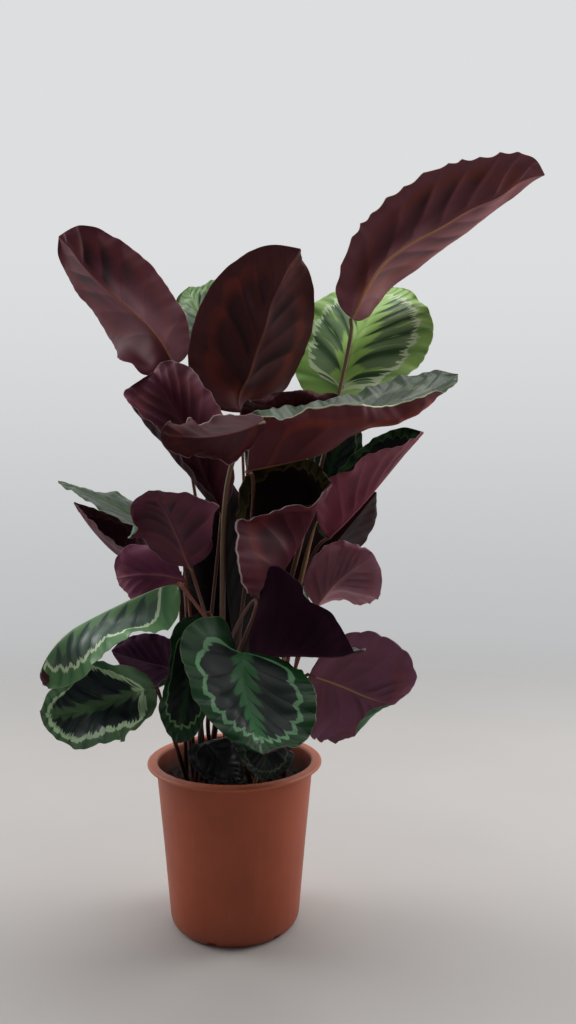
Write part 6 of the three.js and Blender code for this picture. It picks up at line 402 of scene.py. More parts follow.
STALKS = {
    "leaf_01": [[6.1, 21.5, 200.3], [-6.2, 21.9, 272.8], [-60.6, 27.4, 624.1], [-84.9, 29.6, 769]],
    "leaf_02": [[20, 62, 200.3], [20.1, 37, 410.4], [7.7, 55.1, 672.2], [8.8, 24.3, 702.7]],
    "leaf_03": [[-0.5, -56.7, 200.3], [19.4, -66.3, 273.9], [181.4, 48.5, 828.9], [161.5, 42.3, 835.9]],
    "leaf_04": [[61.2, 12.3, 200.3], [66.1, 16.7, 236.7], [135.3, 78.7, 655.8], [145.7, 88.7, 722.6]],
    "leaf_05": [[45.4, 42.7, 200.3], [42, 54.8, 289.1], [21.3, 107.9, 658.3], [18.2, 118.6, 739.3]],
    "leaf_06": [[-13, -17.1, 200.3], [6.4, -76.2, 415.8], [46.4, -105.7, 648], [24.1, -131.7, 620.5]],
    "leaf_07": [[-40.2, 34.1, 200.3], [16.5, -116.5, 456.4], [-36.9, -125.2, 630.9], [38.1, -162.5, 678.1]],
    "leaf_08": [[30.7, 30.7, 200.3], [64, 0.2, 524], [68, -4.8, 570.5], [76.2, -12.1, 648.1]],
    "leaf_09": [[-50.4, -45.7, 200.3], [-32.5, -35.7, 402.3], [-26, -42, 451.9], [-15, -29.2, 565.7]],
    "leaf_10": [[31, -19.2, 200.3], [17.5, -40.2, 260], [-21.1, -95.2, 407.7], [-45.2, -132.5, 505.7]],
    "leaf_11": [[-37.1, -25.8, 200.3], [-40, -27.1, 229.3], [-59, -29, 476.7], [-68.8, -31, 524]],
    "leaf_12": [[-67.8, 3.8, 200.3], [-69.4, -8.3, 323.2], [-73.1, -17, 422.4], [-72, -19.6, 487.1]],
    "leaf_13": [[-57.1, 0.7, 200.3], [-56.7, -14.6, 271.5], [-60.6, -57.7, 467.2], [-61.2, -61.7, 481.6]],
    "leaf_14": [[67.8, 5.1, 200.3], [74.2, -37.2, 282.5], [-49.7, -132.2, 477.4], [-53.7, -181.1, 493]],
    "leaf_15": [[-63.1, -19.9, 200.3], [-79.4, -55.8, 276], [-84.5, -66.2, 301], [-94.2, -88.6, 346.6]],
    "leaf_16": [[-52.5, -29.9, 200.3], [-58.9, -43.8, 264.1], [-61.5, -51.2, 301.8], [-66, -62.5, 349.7]],
    "leaf_17": [[-25.7, 45.7, 200.3], [-18.7, 28.6, 235.4], [-3, -11, 318.9], [3.1, -26.8, 351]],
    "leaf_18": [[-12.9, 36.6, 200.3], [-96.8, -87.4, 297.7], [99.2, -181.8, 599.7], [15.4, -193.6, 412.4]],
    "leaf_19": [[2.8, -45.7, 200.3], [-10.9, -47.7, 222.3], [-21.4, -49.4, 238.7], [-36.5, -51.5, 262.5]],
    "leaf_20": [[2.3, -25.3, 200.3], [14.6, -38.9, 224.2], [25.3, -51.4, 246.1], [38.8, -66.1, 272]],
    "leaf_21": [[-45.4, -12.4, 200.3], [-42.2, -11.3, 249.3], [63.6, -28.7, 325.2], [100.5, -30.6, 350.7]],
    "leaf_22": [[19.8, -9.3, 200.3], [29.7, -11.6, 254.3], [1.8, -73.6, 342], [24.7, -128.8, 395.9]],
    "leaf_23": [[33.4, 20.7, 200.3], [52.6, 11.2, 262.6], [88.3, -1, 361.9], [110.9, -15.9, 438.3]],
    "leaf_24": [[14.7, 12.6, 200.3], [50.4, 2.8, 331.6], [92.9, -51.2, 523.4], [123.9, -51, 534.7]],
    "leaf_25": [[42.4, 25.4, 200.3], [58.6, 21.8, 271.5], [93, 74.3, 492], [121.6, 45.5, 592.4]],
    "leaf_26": [[48.1, -5.1, 200.3], [71.2, -2.4, 342.1], [87.4, -0.6, 455], [88.1, -0.4, 458.5]],
    "leaf_27": [[-9.8, 17.4, 200.3], [0.3, -0.1, 256.3], [15.9, -24.8, 333.5], [38.3, -62.1, 453.2]],
    "leaf_28": [[21.8, -20, 200.3], [3.5, -27.7, 271.5], [-6.1, -35.5, 370.7], [-30.5, -52.7, 438.4]],
}

FURLED = {
    "furled_leaf_tan": { "path": [[27.6, -40.5, 200.3], [65.8, -66.6, 352.2], [95.5, -86.3, 529.5], [109.3, -122, 562]], "radius": [[0, 2.6], [0.5, 3.0], [0.68, 3.6], [0.84, 3.3], [0.95, 2.0], [1, 0.7]] },
    "furled_leaf_purple": { "path": [[2.1, 52.3, 200.3], [19.7, 4.5, 265], [-21.4, 78.4, 398.2], [5.4, 20, 574.6]], "radius": [[0, 3.2], [0.38, 3.6], [0.58, 6.4], [0.78, 7.2], [0.92, 4.4], [1, 0.8]] },
}


UNDERSIDE_FORWARD = {"leaf_01", "leaf_02", "leaf_03", "leaf_06", "leaf_07", "leaf_08", "leaf_09", "leaf_10", "leaf_13", "leaf_16", "leaf_17", "leaf_21", "leaf_22", "leaf_23", "leaf_24", "leaf_26", "leaf_27"}

# ------------------------------------------------------------------ mesh helpers
def spline(knots, t):
    """Weights of a cubic Hermite spline through the knots, one row for each t."""
    n = len(knots)
    slopes = np.zeros((n, n))
    for i in range(n):
        if i == 0:
            h = knots[1] - knots[0]
            slopes[0, 0], slopes[0, 1] = -1 / h, 1 / h
        elif i == n - 1:
            h = knots[-1] - knots[-2]
            slopes[i, i - 1], slopes[i, i] = -1 / h, 1 / h
        else:
            h0, h1 = knots[i] - knots[i - 1], knots[i + 1] - knots[i]
            p, q = h1 / (h0 + h1), h0 / (h0 + h1)
            slopes[i, i - 1] += -p / h0
            slopes[i, i] += p / h0 - q / h1
            slopes[i, i + 1] += q / h1
    out = np.zeros((len(t), n))
    for k, x in enumerate(t):
        i = min(max(int(np.searchsorted(knots, x, side="right")) - 1, 0), n - 2)
        h = knots[i + 1] - knots[i]
        s = (x - knots[i]) / h
        out[k, i] += 2 * s**3 - 3 * s**2 + 1
        out[k, i + 1] += -2 * s**3 + 3 * s**2
        out[k] += h * ((s**3 - 2 * s**2 + s) * slopes[i] + (s**3 - s**2) * slopes[i + 1])
    return out


def smoothstep(a, b, x):
    t = np.clip((x - a) / (b - a), 0, 1)
    return t * t * (3 - 2 * t)


def width_profile(u):
    base = np.sqrt(np.clip(1 - (np.abs(u - 0.47) / 0.47) ** 2.25, 0, 1))
    top = np.clip(1 - (np.abs(u - 0.47) / 0.53) ** 1.9, 0, 1) ** 0.62
    return np.where(u < 0.47, base, top)


def mesh_object(name, verts, faces, mats, face_mats=None, uvs=None, smooth=True):
    """verts (n, 3) in metres, faces a list of index tuples, uvs {map name: (n, 2) per vertex}."""
    me = bpy.data.meshes.new(name)
    me.from_pydata([tuple(map(float, v)) for v in verts], [], faces)
    for m in mats:
        me.materials.append(m)
    if face_mats is not None:
        me.polygons.foreach_set("material_index", np.asarray(face_mats, np.int32))
    me.polygons.foreach_set("use_smooth", np.full(len(me.polygons), smooth))
    if uvs:
        loops = np.zeros(len(me.loops), np.int32)
        me.loops.foreach_get("vertex_index", loops)
        for key, data in uvs.items():
            layer = me.uv_layers.new(name=key)
            layer.data.foreach_set("uv", np.asarray(data, np.float32)[loops].ravel())
    me.update()
    o = bpy.data.objects.new(name, me)
    bpy.context.scene.collection.objects.link(o)
    return o


# ------------------------------------------------------------------ shader helpers
class Tree:
    """A small way to write node maths: every method returns a socket."""

    def __init__(self, name):
        self.mat = bpy.data.materials.new(name)
        self.mat.use_nodes = True
        self.nt = self.mat.node_tree
        self.nt.nodes.clear()
        self.out = self.nt.nodes.new("ShaderNodeOutputMaterial")
        self.bsdf = self.nt.nodes.new("ShaderNodeBsdfPrincipled")
        self.nt.links.new(self.bsdf.outputs[0], self.out.inputs[0])

    def put(self, socket, value):
        if isinstance(value, bpy.types.NodeSocket):
            self.nt.links.new(value, socket)
        else:
            socket.default_value = value

    def m(self, op, a, b=0.0, c=0.0, clamp=False):
        n = self.nt.nodes.new("ShaderNodeMath")
        n.operation = op
        n.use_clamp = clamp
        self.put(n.inputs[0], a)
        self.put(n.inputs[1], b)
        if op in ("MULTIPLY_ADD", "WRAP", "SMOOTH_MIN", "SMOOTH_MAX", "COMPARE"):
            self.put(n.inputs[2], c)
        return n.outputs[0]

    def add(self, a, b):
        return self.m("ADD", a, b)

    def sub(self, a, b):
        return self.m("SUBTRACT", a, b)

    def mul(self, a, b):
        return self.m("MULTIPLY", a, b)

    def step(self, lo, hi, x):
        n = self.nt.nodes.new("ShaderNodeMapRange")
        n.interpolation_type = "SMOOTHSTEP"
        self.put(n.inputs["Value"], x)
        flip = lo > hi
        n.inputs["From Min"].default_value = min(lo, hi)
        n.inputs["From Max"].default_value = max(lo, hi)
        n.inputs["To Min"].default_value = 1.0 if flip else 0.0
        n.inputs["To Max"].default_value = 0.0 if flip else 1.0
        return n.outputs["Result"]

    def tri(self, x):
        """Triangle wave of period 1: 0 at whole numbers, 1 half way."""
        f = self.m("FRACT", x)
        return self.sub(1.0, self.m("ABSOLUTE", self.m("MULTIPLY_ADD", f, 2.0, -1.0)))

    def uv(self, name):
        n = self.nt.nodes.new("ShaderNodeUVMap")
        n.uv_map = name
        s = self.nt.nodes.new("ShaderNodeSeparateXYZ")
        self.nt.links.new(n.outputs[0], s.inputs[0])
        return s.outputs[0], s.outputs[1]

    def vec(self, x, y, z=0.0):
        n = self.nt.nodes.new("ShaderNodeCombineXYZ")
        self.put(n.inputs[0], x)
        self.put(n.inputs[1], y)
        self.put(n.inputs[2], z)
        return n.outputs[0]

    def coord(self, which="Object"):
        return self.nt.nodes.new("ShaderNodeTexCoord").outputs[which]

    def noise(self, vector, scale=5.0, detail=3.0, rough=0.5, distort=0.0):
        n = self.nt.nodes.new("ShaderNodeTexNoise")
        self.nt.links.new(vector, n.inputs["Vector"])
        n.inputs["Scale"].default_value = scale
        n.inputs["Detail"].default_value = detail
        n.inputs["Roughness"].default_value = rough
        n.inputs["Distortion"].default_value = distort
        return n.outputs["Fac"]

    def voronoi(self, vector, scale=5.0, feature="F1"):
        n = self.nt.nodes.new("ShaderNodeTexVoronoi")
        n.feature = feature
        self.nt.links.new(vector, n.inputs["Vector"])
        n.inputs["Scale"].default_value = scale
        return n.outputs["Distance"]

    def mix(self, fac, a, b, blend="MIX"):
        n = self.nt.nodes.new("ShaderNodeMix")
        n.data_type = "RGBA"
        n.blend_type = blend
        self.put(n.inputs[0], fac)
        for s, v in ((n.inputs[6], a), (n.inputs[7], b)):
            self.put(s, v if isinstance(v, bpy.types.NodeSocket) else (*v, 1.0))
        return n.outputs[2]

    def bump(self, height, strength=0.3, distance=0.001, normal=None):
        n = self.nt.nodes.new("ShaderNodeBump")
        n.inputs["Strength"].default_value = strength
        n.inputs["Distance"].default_value = distance
        self.put(n.inputs["Height"], height)
        if normal is not None:
            self.nt.links.new(normal, n.inputs["Normal"])
        return n.outputs[0]

    def finish(self, color, rough, normal=None, **constants):
        self.put(self.bsdf.inputs["Base Color"], color if isinstance(color, bpy.types.NodeSocket) else (*color, 1.0))
        self.put(self.bsdf.inputs["Roughness"], rough)
        if normal is not None:
            self.nt.links.new(normal, self.bsdf.inputs["Normal"])
        for k, v in constants.items():
            self.bsdf.inputs[k.replace("_", " ")].default_value = v
        return self.mat


def srgb(r, g, b, k=1.0):
    def lin(c):
        c /= 255.0
        return c / 12.92 if c <= 0.04045 else ((c + 0.055) / 1.055) ** 2.4

    return tuple(min(1.0, k * lin(c)) for c in (r, g, b))


# ------------------------------------------------------------------ leaf materials
def leaf_tree(name):
    t = Tree(name)
    u, v01 = t.uv("blade")
    rho, phase = t.uv("vein")
    a = t.m("ABSOLUTE", t.m("MULTIPLY_ADD", v01, 2.0, -1.0))
    return t, u, a, rho, t.mul(phase, 16.0)


def upper_material(name, c, ring_at=0.75, ring_w=0.055, lobe=0.05, jag=0.03, tuft=0.2, bands=0.4, gloss=0.4, feathered=0.0, streaks=0.0, spec=0.32):
    """The patterned side: dark centre, pale feather along the midrib, a closed pale ring, a green border."""
    t, u, a, rho, ph = leaf_tree(name)
    lobes = t.m("ABSOLUTE", t.m("SINE", t.mul(ph, math.pi)))
    streak = t.noise(t.vec(t.mul(ph, 3.3), t.mul(rho, 1.3)), 1.0, 2.0, 0.55)
    fine = t.noise(t.vec(t.mul(ph, 10.0), t.mul(rho, 2.4)), 1.0, 2.0, 0.6)
    cloud = t.noise(t.vec(t.mul(ph, 0.5), t.mul(rho, 2.6), 3.0), 1.0, 3.0, 0.5)
    # the ring bulges outwards between the side veins, and its inner side is drawn out into strokes along them
    edge = t.sub(rho, t.add(t.mul(t.sub(lobes, 0.6), lobe), t.add(t.mul(t.sub(streak, 0.5), 2.4 * jag), t.mul(t.sub(fine, 0.5), 1.2 * jag))))
    outside = t.step(ring_at - 0.008, ring_at + 0.010, edge)
    inner = t.add(edge, t.add(t.mul(t.sub(fine, 0.5), 0.05 + 0.5 * feathered), t.mul(t.sub(streak, 0.5), 0.03 + 0.35 * feathered)))
    ring = t.mul(t.sub(1.0, outside), t.step(ring_at - ring_w - 0.012, ring_at - ring_w + 0.012, inner))
    width = t.add(t.mul(t.add(t.mul(lobes, 0.6), 0.4), tuft), t.mul(t.sub(streak, 0.5), 0.9 * tuft + 0.1))
    centre = t.mul(t.step(0.05, -0.03, t.sub(a, width)), t.step(0.95, 0.70, rho))
    band = t.step(0.30, 0.72, t.add(t.mul(lobes, 0.55), t.mul(streak, 0.45)))
    col = t.mix(t.mul(band, bands), c["dark"], c["band"])
    if streaks:
        col = t.mix(t.mul(t.mul(t.step(0.52, 0.66, fine), t.step(0.45, 0.6, streak)), streaks), col, c["centre"])
    col = t.mix(t.mul(centre, 0.85), col, c["centre"])
    border = t.mix(t.step(0.25, 0.8, t.add(t.mul(lobes, 0.6), t.mul(streak, 0.4))), c["outer"], c["outer_light"])
    col = t.mix(outside, col, border)
    col = t.mix(t.mul(ring, 0.95), col, c["ring"])
    col = t.mix(t.mul(t.step(0.020, 0.006, t.m("MULTIPLY_ADD", u, 0.008, a)), 0.9), col, c["mid"])
    col = t.mix(t.mul(t.step(0.984, 0.996, a), 0.6), col, c["rim"])
    col = t.mix(t.mul(t.step(0.42, 0.75, cloud), 0.22), col, c["dark"])
    vein = t.m("POWER", t.sub(1.0, lobes), 5.0)
    col = t.mix(t.mul(vein, 0.22), col, c["dark"])
    fine_line = t.tri(t.mul(ph, 9.0))
    height = t.add(t.mul(vein, -1.0), t.add(t.mul(fine_line, 0.16), t.mul(fine, 0.35)))
    rough = t.add(gloss, t.mul(t.sub(cloud, 0.5), 0.2))
    return t.finish(col, rough, t.bump(height, 0.32, 0.0006), Specular_IOR_Level=spec)


def under_material(name, c, ring=0.6, gloss=0.58, veins=0.25, fold_shade=0.6, lean=1, spec=0.22, rim=0.5, rim_at=0.985):
    """The burgundy side, with the ring showing through redder, painted shade in the folds beside the side veins and a
    painted highlight on their crests.
    """
    t, u, a, rho, ph = leaf_tree(name)
    lobes = t.m("ABSOLUTE", t.m("SINE", t.mul(ph, math.pi)))
    streak = t.noise(t.vec(t.mul(ph, 2.2), t.mul(rho, 1.2)), 1.0, 2.0, 0.55)
    fine = t.noise(t.vec(t.mul(ph, 9.0), t.mul(rho, 3.5)), 1.0, 2.0, 0.6)
    cloud = t.noise(t.vec(t.mul(ph, 0.33), t.mul(rho, 2.2), 5.0), 1.0, 3.0, 0.5)
    each = t.noise(t.vec(t.mul(t.m("FLOOR", ph), 0.77), t.mul(rho, 0.8), 9.0), 1.0, 1.0, 0.5)
    f = t.m("FRACT", ph)
    if lean < 0:
        f = t.sub(1.0, f)
    # painted shade: darker on one side of each side vein as if light fell across the folds, and a painted highlight
    # just past the vein
    painted_fold_shade = t.mul(t.m("POWER", f, 1.4), t.sub(1.0, t.m("POWER", f, 12.0)))
    painted_crest_highlight = t.mul(t.m("POWER", t.sub(1.0, f), 3.0), t.step(0.0, 0.10, f))
    within = t.mul(t.step(0.02, 0.14, a), t.step(0.90, 0.55, rho))
    edge = t.sub(rho, t.add(t.mul(t.sub(lobes, 0.6), 0.09), t.mul(t.sub(streak, 0.5), 0.12)))
    band = t.mul(t.step(0.84, 0.74, edge), t.step(0.54, 0.68, edge))
    patch = t.step(0.36, 0.62, t.add(t.mul(cloud, 0.55), t.mul(each, 0.45)))
    col = t.mix(t.mul(t.step(0.25, 0.75, cloud), 0.7), c["base"], c["deep"])
    col = t.mix(t.mul(t.mul(band, patch), ring), col, c["ring"])
    col = t.mix(t.mul(t.step(0.45, 0.8, fine), 0.12), col, c["vein"])
    # painted shade in the folds, then a painted highlight on the crests
    col = t.mix(t.mul(t.mul(painted_fold_shade, t.mul(within, t.step(0.25, 0.65, each))), 1.25 * fold_shade), col, tuple(0.5 * x for x in c["vein"]))
    col = t.mix(t.mul(t.mul(painted_crest_highlight, within), 0.16 * fold_shade), col, tuple(min(1.0, 1.5 * x) for x in c["base"]))
    vein = t.m("POWER", t.sub(1.0, lobes), 9.0)
    col = t.mix(t.mul(t.mul(vein, within), veins), col, c["vein"])
    rib = t.step(0.030, 0.012, t.m("MULTIPLY_ADD", u, 0.016, a))
    col = t.mix(t.mul(rib, t.step(0.92, 0.45, u)), col, c["mid"])
    col = t.mix(t.mul(t.step(rim_at, min(0.997, rim_at + 0.012), a), rim), col, c["rim"])
    fine_line = t.tri(t.mul(ph, 9.0))
    height = t.add(t.mul(vein, 1.0), t.add(t.mul(fine_line, 0.14), t.mul(fine, 0.3)))
    rough = t.add(gloss, t.mul(t.sub(cloud, 0.5), 0.16))
    return t.finish(col, rough, t.bump(height, 0.30, 0.0006), Specular_IOR_Level=spec)


def palette(k=(1.0, 1.0, 1.0), **colors):
    return {key: tuple(min(1.0, x * m) for x, m in zip(srgb(*rgb), k)) for key, rgb in colors.items()}


# the patterned sides
UPPER = {
    "deep": (dict(centre=(64, 120, 72), dark=(20, 46, 40), band=(34, 74, 54), ring=(150, 196, 150), outer=(36, 88, 54), outer_light=(52, 108, 66), mid=(92, 140, 86), rim=(150, 160, 110)), {}),
    "medallion": (dict(centre=(76, 148, 88), dark=(10, 31, 30), band=(26, 60, 50), ring=(178, 220, 174), outer=(31, 79, 46), outer_light=(45, 98, 52), mid=(96, 152, 92), rim=(140, 150, 90)), dict(ring_at=0.775, ring_w=0.070, lobe=0.085, jag=0.035, tuft=0.20, bands=0.35, gloss=0.44, feathered=0.2, spec=0.26)),
    # brighter greens: partly the young leaves' own colour, partly painted light standing for light that shines through
    # the blade from behind
    "fresh": (dict(centre=(132, 178, 88), dark=(42, 70, 40), band=(92, 120, 82), ring=(178, 216, 138), outer=(98, 138, 70), outer_light=(122, 162, 84), mid=(140, 160, 80), rim=(160, 190, 110)), dict(ring_at=0.78, ring_w=0.07, lobe=0.06, jag=0.09, tuft=0.26, bands=1.0, gloss=0.42, feathered=0.9, streaks=1.0)),
    "lime": (dict(centre=(132, 178, 88), dark=(42, 70, 40), band=(92, 120, 82), ring=(163, 188, 150), outer=(98, 138, 70), outer_light=(122, 162, 84), mid=(130, 154, 78), rim=(150, 180, 110)), dict(ring_at=0.78, ring_w=0.07, lobe=0.06, jag=0.09, tuft=0.26, bands=1.0, gloss=0.42, feathered=0.9, streaks=1.0)),
    "silver": (dict(centre=(92, 130, 96), dark=(56, 76, 74), band=(86, 108, 100), ring=(192, 223, 196), outer=(75, 121, 85), outer_light=(91, 133, 97), mid=(120, 150, 112), rim=(130, 150, 110)), dict(ring_at=0.77, ring_w=0.06, lobe=0.06, jag=0.05, tuft=0.26, bands=0.5, gloss=0.34, feathered=0.35, streaks=0.4)),
    "slate": (dict(centre=(92, 124, 88), dark=(28, 34, 40), band=(48, 60, 60), ring=(190, 222, 178), outer=(64, 100, 70), outer_light=(84, 120, 83), mid=(96, 130, 84), rim=(130, 150, 100)), dict(ring_at=0.80, ring_w=0.11, lobe=0.06, jag=0.07, tuft=0.14, bands=0.7, gloss=0.34, feathered=0.7, streaks=0.5)),
    "ink": (dict(centre=(34, 66, 40), dark=(14, 24, 22), band=(24, 44, 32), ring=(110, 150, 96), outer=(26, 56, 34), outer_light=(36, 72, 42), mid=(60, 84, 52), rim=(120, 140, 90)), dict(ring_at=0.76, ring_w=0.045, lobe=0.06, jag=0.04, tuft=0.16, bands=0.5, gloss=0.40)),
    # painted shade: a near-black green with a faint ring, for upper sides that lie in deep shade
    "black": (dict(centre=(14, 24, 16), dark=(8, 7, 8), band=(12, 14, 12), ring=(40, 66, 30), outer=(16, 34, 16), outer_light=(30, 58, 26), mid=(20, 26, 18), rim=(110, 124, 96)), dict(ring_at=0.84, ring_w=0.03, lobe=0.05, jag=0.06, tuft=0.1, bands=0.4, gloss=0.7, spec=0.06)),
    # painted shade: a near-black purple with hardly any markings, for upper sides that lie in deep shade
    "shade": (dict(centre=(34, 20, 24), dark=(26, 14, 19), band=(32, 18, 23), ring=(44, 30, 32), outer=(34, 22, 26), outer_light=(38, 26, 28), mid=(40, 28, 28), rim=(90, 84, 76)), dict(gloss=0.75, spec=0.06)),
    # painted reflection: a pale grey-green standing for the sheen of the bright surroundings on a glossy upper side
    "glare": (dict(centre=(140, 168, 146), dark=(104, 128, 112), band=(122, 148, 128), ring=(156, 186, 156), outer=(108, 138, 112), outer_light=(122, 152, 124), mid=(140, 160, 130), rim=(176, 196, 176)), dict(ring_at=0.74, ring_w=0.08, lobe=0.04, jag=0.06, tuft=0.2, bands=0.6, gloss=0.30, feathered=0.4)),
}
# the burgundy sides
UNDER = {
    "plum": (dict(base=(104, 54, 62), deep=(82, 41, 47), ring=(110, 48, 38), vein=(62, 31, 36), mid=(140, 92, 54), rim=(150, 120, 104)), dict()),
    "wine": (dict(base=(66, 30, 31), deep=(48, 21, 22), ring=(88, 36, 29), vein=(34, 14, 16), mid=(84, 44, 32), rim=(96, 70, 60)), dict(ring=0.7)),
    "violet": (dict(base=(72, 30, 38), deep=(54, 22, 28), ring=(104, 42, 30), vein=(40, 16, 21), mid=(96, 58, 44), rim=(150, 160, 140)), dict()),
    "ruby": (dict(base=(86, 37, 49), deep=(66, 27, 37), ring=(94, 38, 40), vein=(48, 20, 27), mid=(104, 60, 50), rim=(130, 104, 92)), dict()),
    "night": (dict(base=(44, 16, 27), deep=(32, 11, 20), ring=(50, 20, 22), vein=(22, 8, 13), mid=(56, 28, 28), rim=(84, 66, 60)), dict(gloss=0.7, spec=0.08)),
    "rose": (dict(base=(110, 68, 76), deep=(86, 50, 59), ring=(100, 52, 53), vein=(66, 37, 44), mid=(124, 86, 76), rim=(150, 130, 116)), dict(veins=0.35)),
}
LOOK_CACHE = {}


def look(side, key, tint_with_painted_light, **more):
    """One material for each look and colour factor; the factor carries painted light and shade as well as the leaf's
    own colour.
    """
    k = (side, key, tint_with_painted_light, tuple(more.items()))
    if k not in LOOK_CACHE:
        colors, options = (UPPER if side == "upper" else UNDER)[key]
        make = upper_material if side == "upper" else under_material
        LOOK_CACHE[k] = make("leaf_%s_%s_%d" % (side, key, len(LOOK_CACHE)), palette(tint_with_painted_light, **colors), **dict(options, **more))
    return LOOK_CACHE[k]


WHITE = (1.0, 1.0, 1.0)
# For each leaf: the looks of both sides, the height of the folds and of the margin's waves in
# millimetres, side veins a side, waves along a margin, how strong the folds are on side v < 0 and v > 0, and what
# the two margins do: kind, how many, how deep in millimetres.
PLAIN = ("wavy", 9, 0.8)
# how much redder, greener and bluer the side of a leaf that faces the front is than its look: partly the leaf's own
# colour, partly painted light and shade for how brightly or dimly that leaf is lit
TINT_AND_PAINTED_LIGHT = {
    "leaf_01": (1.09, 0.79, 0.96),
    "leaf_02": (2.81, 3.00, 3.28),
    "leaf_03": (2.18, 2.65, 2.46),
    "leaf_04": (2.31, 1.97, 2.03),
    "leaf_05": (0.8, 0.8, 0.9),
    "leaf_06": (1.75, 1.35, 1.35),
    "leaf_07": (1.08, 0.60, 0.76),
    "leaf_08": (1.0, 0.8, 0.8),
    "leaf_09": (2.75, 2.85, 2.90),
    "leaf_10": (1.65, 1.94, 2.27),
    "leaf_11": (0.22, 0.25, 0.27),
    "leaf_12": (0.75, 0.65, 0.8),
    "leaf_13": (2.52, 2.75, 3.71),
    "leaf_14": (1.56, 1.45, 1.19),
    "leaf_15": (1.4, 1.35, 1.35),
    "leaf_16": (2.98, 4.58, 5.61),
    "leaf_17": (0.21, 0.07, 0.08),
    "leaf_18": (0.28, 0.39, 0.32),
    "leaf_19": (0.31, 0.15, 0.46),
    "leaf_20": (0.47, 0.32, 0.42),
    "leaf_21": (2.52, 3.61, 4.37),
    "leaf_22": (1.31, 1.27, 1.91),
    "leaf_23": (4.14, 4.81, 5.12),
    "leaf_24": (2.33, 1.64, 2.03),
    "leaf_26": (0.35, 0.20, 0.30),
    "leaf_27": (0.8, 0.35, 0.4),
}
# leaves whose folds lean towards the base instead of the tip
LEAN = {"leaf_02": -1, "leaf_10": -1, "leaf_07": -1}
# undersides with stronger painted shade in the folds, a stronger ring or a paler rim than the others
SEEN_BELOW = {
    "leaf_01": dict(fold_shade=1.3),
    "leaf_02": dict(fold_shade=1.0, ring=0.9),
    "leaf_03": dict(fold_shade=1.15),
    "leaf_06": dict(rim=0.9, rim_at=0.975, ring=0.8),
    "leaf_07": dict(rim=0.95, rim_at=0.962),
    "leaf_10": dict(rim=0.5, rim_at=0.975, fold_shade=1.0),
    "leaf_27": dict(rim=0.9, rim_at=0.97),
}
